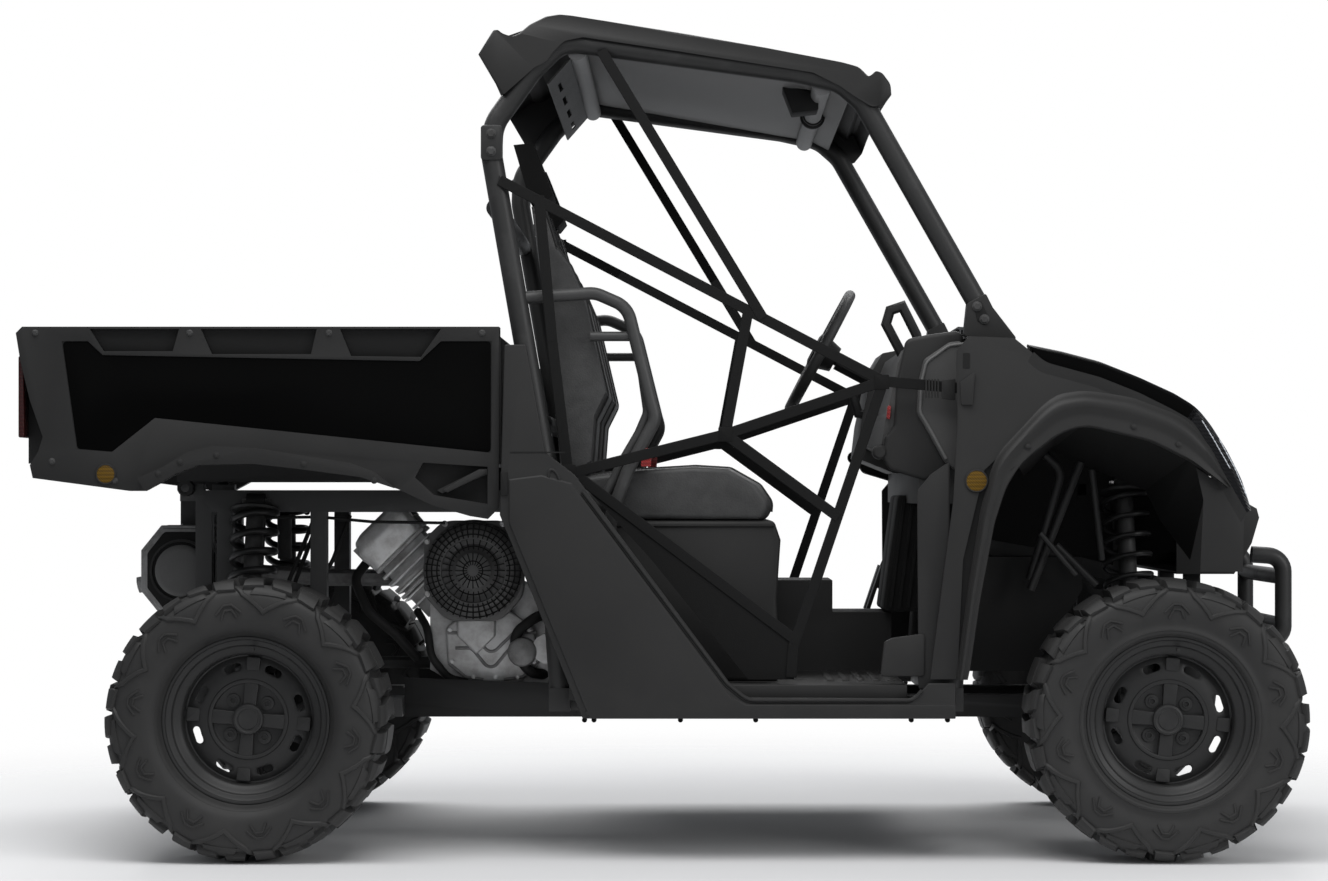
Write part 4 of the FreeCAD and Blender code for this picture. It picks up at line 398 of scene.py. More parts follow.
class Finishes:
    """Every finish on the vehicle."""

    BODY = MouldedPlastic("body_plastic", level=0.0145, roughness=0.5)
    TRIM = MouldedPlastic("trim_plastic", level=0.015, roughness=0.56, grain=0.0018, depth=0.0002)
    # Dark plastic of grooves, seams, ribs and other dark parts, also laid on as painted shade in the fender wells and
    # the bed's recesses.
    DARK_AND_SHADE = MouldedPlastic("liner_plastic", level=0.006, roughness=0.66)
    HEADLINER = MouldedPlastic("headliner_plastic", level=0.13, roughness=0.5)
    GLOSS = GlossPlastic("gloss_plastic")
    CAGE = PaintedSteel("cage_paint", level=0.0145, roughness=0.4)
    FRAME = PaintedSteel("frame_paint", level=0.012, roughness=0.46)
    # Painted light: a paler copy of the frame paint for the rear frame, standing in for light where the bed shades it.
    REAR_PAINTED_LIGHT = PaintedSteel("rear_frame_paint", level=0.036, roughness=0.46)
    RIM = PaintedSteel("rim_paint", level=0.0115, roughness=0.42)
    HIP = PaintedSteel("hip_paint", level=0.03, roughness=0.42)
    SPRING = PaintedSteel("spring_paint", level=0.01, roughness=0.32)
    SILVER_BAR = PaintedSteel("bar_paint", level=0.16, roughness=0.45)
    # Painted shade: the engine, all but the added head and fins, takes a darker copy of the head's casting.
    ENGINE_PAINTED_SHADE = CastMetal("engine_casting", level=0.42, roughness=0.36, metallic=0.35)
    HEAD = CastMetal("head_casting", level=0.8, roughness=0.34, metallic=0.3)
    STEEL = CastMetal("heat_steel", level=0.19, roughness=0.45, metallic=0.5)
    DARK_METAL = CastMetal("dark_casting", level=0.03, roughness=0.5, metallic=0.4)
    SHINY = CastMetal("plated_rod", level=0.4, roughness=0.24)
    RUBBER = TyreRubber("tyre_rubber", level=0.0165)
    RIBBED = MouldedPlastic("ribbed_plastic", level=0.11, roughness=0.5)
    WEB = Webbing("strap_webbing", level=0.006)
    # Painted light: a paler copy of the strap finish for the far side's shaded straps.
    FAR_WEB_PAINTED_LIGHT = Webbing("far_webbing", level=0.02)
    CLOTH = MouldedPlastic("net_cloth", level=0.003, roughness=0.8, grain=0.0022, depth=0.0004)
    SEAT = SeatVinyl("seat_vinyl", level=0.029)
    TAIL = Lens("tail_lens", colour=(0.035, 0.008, 0.008))
    PALE = MouldedPlastic("pale_plastic", level=0.042, roughness=0.5)
    CAP = MouldedPlastic("cap_plastic", level=0.09, roughness=0.5)
    AMBER = Lens("amber_lens", colour=(0.1, 0.053, 0.002))
    LAMP = Lens("lamp_lens", colour=(0.003, 0.003, 0.004))
    GLOW = Lens("lamp_bars", colour=(0.55, 0.58, 0.62))
    RED = Lens("red_button", colour=(0.28, 0.03, 0.03))


# Mesh tools


def new_piece(name: str, mesh: Mesh, finish: Finish, body: str, smooth: float = 35.0) -> Object:
    """Puts a mesh in the scene as a piece that rides on a body.

    Args:
        name: the piece's name.
        mesh: its mesh, in place.
        finish: its finish, unless the mesh has materials of its own.
        body: the body that it rides on.
        smooth: edges sharper than this, in degrees, stay sharp.

    Returns:
        The piece.
    """
    piece = bpy.data.objects.new(name, mesh)
    bpy.context.scene.collection.objects.link(piece)
    if not mesh.materials:
        mesh.materials.append(finish.material())
    mesh.shade_smooth()
    mesh.set_sharp_from_angle(angle=math.radians(smooth))
    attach(piece, body)
    return piece


def mesh_of(work: BMesh, name: str = "made") -> Mesh:
    """Closes doubles, turns faces outwards and gives the mesh."""
    bmesh.ops.remove_doubles(work, verts=work.verts, dist=1e-5)
    bmesh.ops.recalc_face_normals(work, faces=work.faces)
    return plain(work, name)


def baked(mesh: Mesh, build: Callable[[Object], None]) -> Mesh:
    """Runs modifiers on a mesh and gives the result.

    Args:
        mesh: the mesh to start from.
        build: adds the modifiers to an object that holds the mesh.

    Returns:
        A new plain mesh.
    """
    holder = bpy.data.objects.new("holder", mesh)
    bpy.context.scene.collection.objects.link(holder)
    build(holder)
    bpy.context.view_layer.update()
    graph = bpy.context.evaluated_depsgraph_get()
    result = bpy.data.meshes.new_from_object(holder.evaluated_get(graph))
    bpy.data.objects.remove(holder)
    return result


def bevelled(mesh: Mesh, width: float, segments: int = 2, angle: float = 28.0) -> Mesh:
    """Rounds the edges of a mesh that are sharper than an angle.

    Args:
        mesh: the mesh.
        width: the width of the rounding, in metres.
        segments: how many strips it has.
        angle: the sharpest edge left alone, in degrees.

    Returns:
        The rounded mesh.
    """

    def build(holder: Object) -> None:
        """Adds the bevel."""
        bevel = holder.modifiers.new("edge", "BEVEL")
        bevel.width, bevel.segments, bevel.limit_method = width, segments, "ANGLE"
        bevel.angle_limit, bevel.use_clamp_overlap = math.radians(angle), True

    return baked(mesh, build)


def refined(node: str, finish: Finish, width: float, body: str = "chassis", segments: int = 2) -> Object:
    """A CAD node with its facets merged and its edges rounded, which then stands for the node.

    Args:
        node: the CAD node.
        finish: the finish it takes.
        width: the width of the rounding, in metres.
        body: the body that it rides on.
        segments: how many strips the rounding has.

    Returns:
        The piece.
    """
    work = bmesh.new()
    work.from_mesh(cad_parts[node].data)
    bmesh.ops.remove_doubles(work, verts=work.verts, dist=2e-5)
    bmesh.ops.dissolve_limit(work, angle_limit=math.radians(1.0), verts=work.verts, edges=work.edges)
    mesh = mesh_of(work, node)
    piece = new_piece(node + "_dressed", bevelled(mesh, width, segments), finish, body)
    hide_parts(node)
    return piece


def turns(count: int) -> list[float]:
    """The angles that share out a full turn, in radians."""
    return [2 * math.pi * k / count for k in range(count)]


def circle(centre: Vector, one: Vector, two: Vector, radius: float, sides: int) -> list[Vector]:
    """Points round a centre, in the plane of two unit vectors."""
    return [centre + (one * math.cos(a) + two * math.sin(a)) * radius for a in turns(sides)]


def rounded(points: Sequence[Vector], bend: float, steps: int = 6, closed: bool = False) -> list[Vector]:
    """Rounds the corners of a path with arcs.

    Args:
        points: the corners.
        bend: the radius of each bend, less where the runs are short.
        steps: how many chords an arc has.
        closed: whether the path is a loop.

    Returns:
        The rounded path.
    """
    out: list[Vector] = []
    count = len(points)
    for i, corner in enumerate(points):
        if not closed and i in (0, count - 1):
            out.append(corner.copy())
            continue
        a, c = points[i - 1], points[(i + 1) % count]
        u, w = (a - corner), (c - corner)
        lu, lw = u.length, w.length
        u.normalize()
        w.normalize()
        turn = math.pi - u.angle(w)
        if turn < 0.03:
            out.append(corner.copy())
            continue
        reach = min(bend * math.tan(turn / 2), lu * 0.48, lw * 0.48)
        radius = reach / math.tan(turn / 2)
        centre = corner + (u + w).normalized() * (radius / math.cos(turn / 2))
        p, q = corner + u * reach - centre, corner + w * reach - centre
        for k in range(steps + 1):
            s = k / steps
            out.append(centre + (p * math.sin((1 - s) * turn) + q * math.sin(s * turn)) / math.sin(turn))
    return out


def swept(points: Sequence[Vector], radius: float, sides: int = 20, closed: bool = False) -> BMesh:
    """Sweeps a round section along a path.

    Args:
        points: the path.
        radius: the section's radius.
        sides: how many sides the section has.
        closed: whether the path is a loop; an open one gets closed ends.

    Returns:
        The mesh being built.
    """
    work = bmesh.new()
    count = len(points)
    rings = []
    up = None
    for i, here in enumerate(points):
        before = points[i - 1] if closed or i else here
        after = points[(i + 1) % count] if closed or i < count - 1 else here
        first, last = (here - before), (after - here)
        inside = first.length and last.length
        tangent = (first.normalized() + last.normalized() if inside else first + last).normalized()
        if up is None:
            up = tangent.cross(Vector((0, 0, 1)) if abs(tangent.z) < 0.9 else Vector((1, 0, 0))).normalized()
        up = (up - tangent * up.dot(tangent)).normalized()
        other = tangent.cross(up)
        stretch = 1 / max(0.7, math.cos(first.angle(last) / 2)) if inside else 1.0
        rings.append([work.verts.new(p) for p in circle(here, up, other, radius * stretch, sides)])
    pairs = list(zip(rings, rings[1:])) + ([(rings[-1], rings[0])] if closed else [])
    for one, two in pairs:
        for k in range(sides):
            work.faces.new((one[k], one[(k + 1) % sides], two[(k + 1) % sides], two[k]))
    if not closed:
        work.faces.new(rings[0])
        work.faces.new(list(reversed(rings[-1])))
    return work


def joined(parts: Iterable[BMesh | Mesh]) -> BMesh:
    """Puts several meshes into one, without merging them."""
    whole = bmesh.new()
    for part in parts:
        mesh = part
        if isinstance(part, BMesh):
            bmesh.ops.recalc_face_normals(part, faces=part.faces)
            mesh = plain(part)
        whole.from_mesh(mesh)
    return whole


def plain(work: BMesh, name: str = "made") -> Mesh:
    """The mesh of a finished build, as it is."""
    mesh = bpy.data.meshes.new(name)
    work.to_mesh(mesh)
    work.free()
    return mesh


def mirrored(mesh: Mesh) -> Mesh:
    """A copy of a mesh on the other side of the middle plane."""
    work = bmesh.new()
    work.from_mesh(mesh)
    bmesh.ops.scale(work, vec=(1, -1, 1), verts=work.verts)
    bmesh.ops.reverse_faces(work, faces=work.faces)
    copy = plain(work, mesh.name)
    for material in mesh.materials:
        copy.materials.append(material)
    return copy


def slab(outline: Sequence[Point], y0: float, y1: float, bend: float = 0.0, steps: int = 4) -> BMesh:
    """Extrudes an outline in the side view, in metres, from y0 to y1.

    Args:
        outline: its corners as (x, z).
        y0: where it starts.
        y1: where it ends.
        bend: the radius of its corners.
        steps: how many chords a corner has.

    Returns:
        The mesh being built.
    """
    points = [Vector((x, 0, z)) for x, z in outline]
    if bend:
        points = rounded(points, bend, steps, closed=True)
    work = bmesh.new()
    near = [work.verts.new((p.x, y0, p.z)) for p in points]
    far = [work.verts.new((p.x, y1, p.z)) for p in points]
    work.faces.new(near)
    work.faces.new(list(reversed(far)))
    for i in range(len(points)):
        j = (i + 1) % len(points)
        work.faces.new((near[j], near[i], far[i], far[j]))
    bmesh.ops.recalc_face_normals(work, faces=work.faces)
    return work


def lofted(rings: Sequence[Sequence[Vector]], cap: bool = True, loop: bool = True) -> BMesh:
    """Joins rings of equal length by strips.

    Args:
        rings: the rings in order.
        cap: whether the first and last ring are filled.
        loop: whether each ring is closed.

    Returns:
        The mesh being built.
    """
    work = bmesh.new()
    made = [[work.verts.new(p) for p in ring] for ring in rings]
    for one, two in zip(made, made[1:]):
        last = len(one) if loop else len(one) - 1
        for k in range(last):
            j = (k + 1) % len(one)
            work.faces.new((one[k], one[j], two[j], two[k]))
    if cap and loop:
        work.faces.new(made[0])
        work.faces.new(list(reversed(made[-1])))
    return work


def turned(profile: Sequence[Point], sides: int, centre: Vector) -> BMesh:
    """Turns an open profile of (radius, y) about the Y axis through a centre.

    Args:
        profile: the profile; a radius of 0 closes it.
        sides: how many sides the turning has.
        centre: a point on the axis.

    Returns:
        The mesh being built.
    """
    work = bmesh.new()
    rows = []
    for r, y in profile:
        if r == 0:
            rows.append([work.verts.new(centre + Vector((0, y, 0)))] * sides)
            continue
        rows.append([work.verts.new(centre + Vector((r * math.cos(a), y, r * math.sin(a)))) for a in turns(sides)])
    for one, two in zip(rows, rows[1:]):
        for k in range(sides):
            j = (k + 1) % sides
            corners = list(dict.fromkeys((one[k], one[j], two[j], two[k])))
            if len(corners) > 2:
                work.faces.new(corners)
    return work


# Studio


@dataclass
class Studio:
    """The camera, the lights and the pale floor of a product picture."""

    eye: tuple[float, float, float] = (0.05, -8.15, 0.857)
    lens: float = 86.9
    shift: tuple[float, float] = (-0.0215, 0.0392)
    floor_radius: float = 3.6
    floor_fade: float = 1.2
    floor_lit: tuple[float, float, float] = (0.84, 0.84, 0.85)
    floor_seen: tuple[float, float, float] = (0.5, 0.5, 0.505)
    world_lit: tuple[float, float, float, float] = (0.93, 0.96, 1.0, 1.0)
    world_strength: float = 0.42

    def build(self) -> None:
        """Places everything."""
        self._camera()
        self._world()
        self._floor()
        self._light("key", (-0.8, -2.1, 4.8), (0.1, 0.0, 0.7), (5.0, 2.6), 320.0)
        self._light("front", (4.6, -3.6, 2.4), (0.6, -0.4, 0.8), (2.2, 2.2), 130.0)
        self._light("back", (-0.3, 2.4, 4.3), (0.0, -0.4, 0.3), (6.0, 3.4), 270.0)
        self._light("low", (0.0, -5.8, 1.9), (0.0, 0.0, 0.6), (6.0, 2.0), 26.0)

    def _camera(self) -> None:
        """The camera, level, side on, a little above the middle."""
        data = bpy.data.cameras.new("camera")
        data.lens, data.sensor_width = self.lens, 36.0
        data.shift_x, data.shift_y = self.shift
        camera = bpy.data.objects.new("camera", data)
        camera.location = self.eye
        camera.rotation_euler = (math.radians(90), 0, 0)
        bpy.context.scene.collection.objects.link(camera)
        bpy.context.scene.camera = camera

    def _world(self) -> None:
        """White where it is seen, dimmer where it only lights."""
        world = bpy.data.worlds.new("studio")
        bpy.context.scene.world = world
        world.use_nodes = True
        nodes, links = world.node_tree.nodes, world.node_tree.links
        nodes.clear()
        out, mix = nodes.new("ShaderNodeOutputWorld"), nodes.new("ShaderNodeMixShader")
        seen, lit = nodes.new("ShaderNodeBackground"), nodes.new("ShaderNodeBackground")
        seen.inputs["Color"].default_value = (1, 1, 1, 1)
        lit.inputs["Color"].default_value = self.world_lit
        lit.inputs["Strength"].default_value = self.world_strength
        path = nodes.new("ShaderNodeLightPath")
        bpy.context.scene.view_settings.view_transform = "Standard"
        links.new(path.outputs["Is Camera Ray"], mix.inputs["Fac"])
        links.new(lit.outputs[0], mix.inputs[1])
        links.new(seen.outputs[0], mix.inputs[2])
        links.new(mix.outputs[0], out.inputs["Surface"])

    def _floor(self) -> None:
        """A pale round floor that fades into the background."""
        work = bmesh.new()
        bmesh.ops.create_circle(work, cap_ends=True, radius=self.floor_radius, segments=96)
        bmesh.ops.translate(work, vec=(0, 0, -0.0005), verts=work.verts)
        mesh = plain(work, "floor_disc")
        graph = Graph("studio_floor")
        away = graph.node("ShaderNodeVectorMath", {"operation": "LENGTH"}, graph.spot)["Value"]
        seen = graph.node("ShaderNodeLightPath", {})["Is Camera Ray"]
        graph.feed("Base Color", graph.blend(seen, self.floor_lit, self.floor_seen))
        graph.feed("Roughness", graph.noise(0.4, 2.0) * 0.1 + 0.6)
        graph.feed("Alpha", 1.0 - away.above(self.floor_radius - self.floor_fade, self.floor_fade))
        mesh.materials.append(graph.material)
        disc = bpy.data.objects.new("studio_floor", mesh)
        bpy.context.scene.collection.objects.link(disc)

    @staticmethod
    def _light(name: str, spot: Sequence[float], target: Sequence[float], size: Point, power: float) -> None:
        """One soft box.

        Args:
            name: the light's name.
            spot: its place.
            target: what it faces.
            size: its width and height.
            power: its power, in watts.
        """
        data = bpy.data.lights.new(name, "AREA")
        data.shape, data.size, data.size_y, data.energy = "RECTANGLE", size[0], size[1], power
        light = bpy.data.objects.new(name, data)
        light.location = spot
        light.rotation_euler = (Vector(target) - Vector(spot)).to_track_quat("-Z", "Y").to_euler()
        bpy.context.scene.collection.objects.link(light)


# Places read in the side view


class View(Enum):
    """A frame of the side view in which outlines are read: low x, high x, low z, high z, in metres."""

    BED = (-1.523, -0.4, 0.795, 1.244)
    FENDER = (0.58, 1.32, 0.334, 1.24)
    ROOF = (-0.455, 0.515, 1.7, 1.99)
    CAB = (-0.455, 0.515, 0.334, 1.99)

    def at(self, share: Point, y: float) -> Vector:
        """The point at a share of the frame.

        Args:
            share: its shares of the frame's width and height.
            y: its Y.

        Returns:
            The point.
        """
        x0, x1, z0, z1 = self.value
        return Vector((x0 + (x1 - x0) * share[0], y, z0 + (z1 - z0) * share[1]))

    def flat(self, shares: Sequence[Point]) -> list[Point]:
        """An outline's (x, z) corners."""
        return [(p.x, p.z) for p in (self.at(s, 0.0) for s in shares)]


class Coats:
    """Finishes the nodes whose own form is right: facets merged, edges rounded."""

    plan: dict[str, tuple[Finish, float, str]] = {
        "knuckle_left": (Finishes.DARK_METAL, 0.004, "knuckle_left"),
        "knuckle_right": (Finishes.DARK_METAL, 0.004, "knuckle_right"),
        "tie_rods": (Finishes.FRAME, 0.0015, "tie_rods"),
        "floor": (Finishes.TRIM, 0.003, "chassis"),
        "steering_column": (Finishes.FRAME, 0.002, "chassis"),
        "controls": (Finishes.FRAME, 0.002, "chassis"),
        "frame_lower": (Finishes.FRAME, 0.002, "chassis"),
        # Painted light: the rear frame takes the paler copy of the frame paint.
        "frame_rear": (Finishes.REAR_PAINTED_LIGHT, 0.003, "chassis"),
        "frame_front": (Finishes.FRAME, 0.002, "chassis"),
        "driveline": (Finishes.DARK_METAL, 0.003, "chassis"),
        "half_shafts": (Finishes.TRIM, 0.003, "chassis"),
        "suspension_arms": (Finishes.FRAME, 0.002, "chassis"),
        "rear_knuckles": (Finishes.DARK_METAL, 0.003, "chassis"),
    }

    def build(self) -> list[str]:
        """Finishes them.

        Returns:
            The nodes.
        """
        for node, (finish, width, body) in self.plan.items():
            refined(node, finish, width, body)
        return list(self.plan)


# Repeats


class Repeats:
    """Node trees that repeat one piece round an axle or over a list of spots."""

    @staticmethod
    def _tree(name: str, inputs: dict[str, str]) -> tuple[GeometryNodeTree, Node, Node]:
        """Starts a tree.

        Args:
            name: its name.
            inputs: its named inputs and their socket types.

        Returns:
            The tree, its input node and its output node.
        """
        tree = bpy.data.node_groups.new(name, "GeometryNodeTree")
        tree.interface.new_socket("Geometry", in_out="INPUT", socket_type="NodeSocketGeometry")
        for label, kind in inputs.items():
            tree.interface.new_socket(label, in_out="INPUT", socket_type=kind)
        tree.interface.new_socket("Geometry", in_out="OUTPUT", socket_type="NodeSocketGeometry")
        return tree, tree.nodes.new("NodeGroupInput"), tree.nodes.new("NodeGroupOutput")

    @staticmethod
    def _run(tree: GeometryNodeTree, piece: Mesh, finish: Finish, spots: Mesh,
             values: dict[str, object]) -> Mesh:
        """Runs a tree once.

        Args:
            tree: the tree.
            piece: the mesh that it repeats.
            finish: the finish of the result.
            spots: the mesh that the tree starts from.
            values: its other inputs by name.

        Returns:
            The repeated mesh.
        """
        holder = bpy.data.objects.new("repeated", piece)
        bpy.context.scene.collection.objects.link(holder)
        given = {**values, "Piece": holder, "Material": finish.material()}

        def build(host: Object) -> None:
            """Adds the tree with its inputs set."""
            modifier = host.modifiers.new("repeat", "NODES")
            modifier.node_group = tree
            for item in tree.interface.items_tree:
                if item.in_out == "INPUT" and item.name in given:
                    modifier[item.identifier] = given[item.name]

        result = baked(spots, build)
        bpy.data.objects.remove(holder)
        return result

    @staticmethod
    def _finish(tree: GeometryNodeTree, source: Node, sink: Node,
                spread: Node) -> None:
        """Ends a tree: the piece goes in, and real geometry with its material comes out."""
        info = tree.nodes.new("GeometryNodeObjectInfo")
        real = tree.nodes.new("GeometryNodeRealizeInstances")
        paint = tree.nodes.new("GeometryNodeSetMaterial")
        link = tree.links.new
        link(source.outputs["Piece"], info.inputs["Object"])
        link(info.outputs["Geometry"], spread.inputs["Instance"])
        link(spread.outputs["Instances"], real.inputs["Geometry"])
        link(real.outputs["Geometry"], paint.inputs["Geometry"])
        link(source.outputs["Material"], paint.inputs["Material"])
        link(paint.outputs["Geometry"], sink.inputs["Geometry"])

    @classmethod
    def around(cls, piece: Mesh, finish: Finish, count: int, first: float = 0.0) -> Mesh:
        """Repeats a mesh evenly round the Y axis.

        Args:
            piece: the mesh, round the origin.
            finish: its finish.
            count: how many there are.
            first: the turn of the first, in degrees.

        Returns:
            All of them as one mesh.
        """
        tree = bpy.data.node_groups.get("around_axle")
        if tree is None:
            tree, source, sink = cls._tree("around_axle", {
                "Piece": "NodeSocketObject", "Count": "NodeSocketInt", "First": "NodeSocketFloat",
                "Step": "NodeSocketFloat", "Material": "NodeSocketMaterial"})
            link = tree.links.new
            line, spread = tree.nodes.new("GeometryNodeMeshLine"), tree.nodes.new("GeometryNodeInstanceOnPoints")
            index, turn = tree.nodes.new("GeometryNodeInputIndex"), tree.nodes.new("ShaderNodeCombineXYZ")
            scaled = tree.nodes.new("ShaderNodeMath")
            scaled.operation = "MULTIPLY_ADD"
            line.inputs["Offset"].default_value = (0, 0, 0)
            link(source.outputs["Count"], line.inputs["Count"])
            link(index.outputs[0], scaled.inputs[0])
            link(source.outputs["Step"], scaled.inputs[1])
            link(source.outputs["First"], scaled.inputs[2])
            link(scaled.outputs[0], turn.inputs["Y"])
            link(turn.outputs[0], spread.inputs["Rotation"])
            link(line.outputs["Mesh"], spread.inputs["Points"])
            cls._finish(tree, source, sink, spread)
        return cls._run(tree, piece, finish, bpy.data.meshes.new("spots"),
                        {"Count": count, "First": math.radians(first), "Step": math.radians(360.0 / count)})

    @classmethod
    def at_spots(cls, piece: Mesh, finish: Finish, spots: Sequence[Vector]) -> Mesh:
        """Repeats a mesh at a list of spots.

        Args:
            piece: the mesh, round the origin.
            finish: its finish.
            spots: where they go.

        Returns:
            All of them as one mesh.
        """
        tree = bpy.data.node_groups.get("at_spots")
        if tree is None:
            tree, source, sink = cls._tree("at_spots", {"Piece": "NodeSocketObject", "Material": "NodeSocketMaterial"})
            spread = tree.nodes.new("GeometryNodeInstanceOnPoints")
            tree.links.new(source.outputs["Geometry"], spread.inputs["Points"])
            cls._finish(tree, source, sink, spread)
        mesh = bpy.data.meshes.new("spots")
        mesh.from_pydata([tuple(s) for s in spots], [], [])
        return cls._run(tree, piece, finish, mesh, {})


def moved(mesh: Mesh, offset: Vector) -> Mesh:
    """Moves a mesh.

    Args:
        mesh: the mesh.
        offset: how far.

    Returns:
        The same mesh.
    """
    mesh.transform(Matrix.Translation(offset))
    return mesh


def merged(meshes: Sequence[Mesh], name: str) -> Mesh:
    """Puts meshes of one piece into one, each with the materials it has.

    Args:
        meshes: the meshes.
        name: the result's name.

    Returns:
        One mesh.
    """
    whole = bmesh.new()
    slots: list[Material] = []
    for mesh in meshes:
        before = len(whole.faces)
        whole.from_mesh(mesh)
        whole.faces.ensure_lookup_table()
        table = []
        for material in mesh.materials or [None]:
            if material not in slots:
                slots.append(material)
            table.append(slots.index(material))
        for face in whole.faces[before:]:
            face.material_index = table[min(face.material_index, len(table) - 1)]
    result = plain(whole, name)
    for material in slots:
        result.materials.append(material)
    return result


def coated(mesh: Mesh, finish: Finish) -> Mesh:
    """Gives a mesh one finish and hands it back."""
    mesh.materials.clear()
    mesh.materials.append(finish.material())
    return mesh


def finished(work: BMesh, finish: Finish, edge: float = 0.0, segments: int = 2) -> Mesh:
    """Ends a build: faces turned outwards, edges rounded where that is asked, one finish.

    Args:
        work: the mesh being built.
        finish: its finish.
        edge: the width of its edge rounding, in metres.
        segments: how many strips the rounding has.

    Returns:
        The finished mesh.
    """
    bmesh.ops.recalc_face_normals(work, faces=work.faces)
    mesh = plain(work)
    return coated(bevelled(mesh, edge, segments) if edge else mesh, finish)


# Wheels


def bolt(radius: float, height: float) -> Mesh:
    """A hexagon bolt head on its washer, standing towards -Y.

    Args:
        radius: the head's radius across its corners.
        height: the head's height.

    Returns:
        The mesh round the origin.
    """
    washer = turned([(radius * 1.3, 0.0), (radius * 1.3, -height * 0.2), (radius * 1.2, -height * 0.28),
                     (0, -height * 0.28)], 20, Vector())
    head = turned([(radius, 0.0), (radius, -height * 0.85), (radius * 0.85, -height), (0, -height)], 6, Vector())
    return plain(joined([washer, head]))


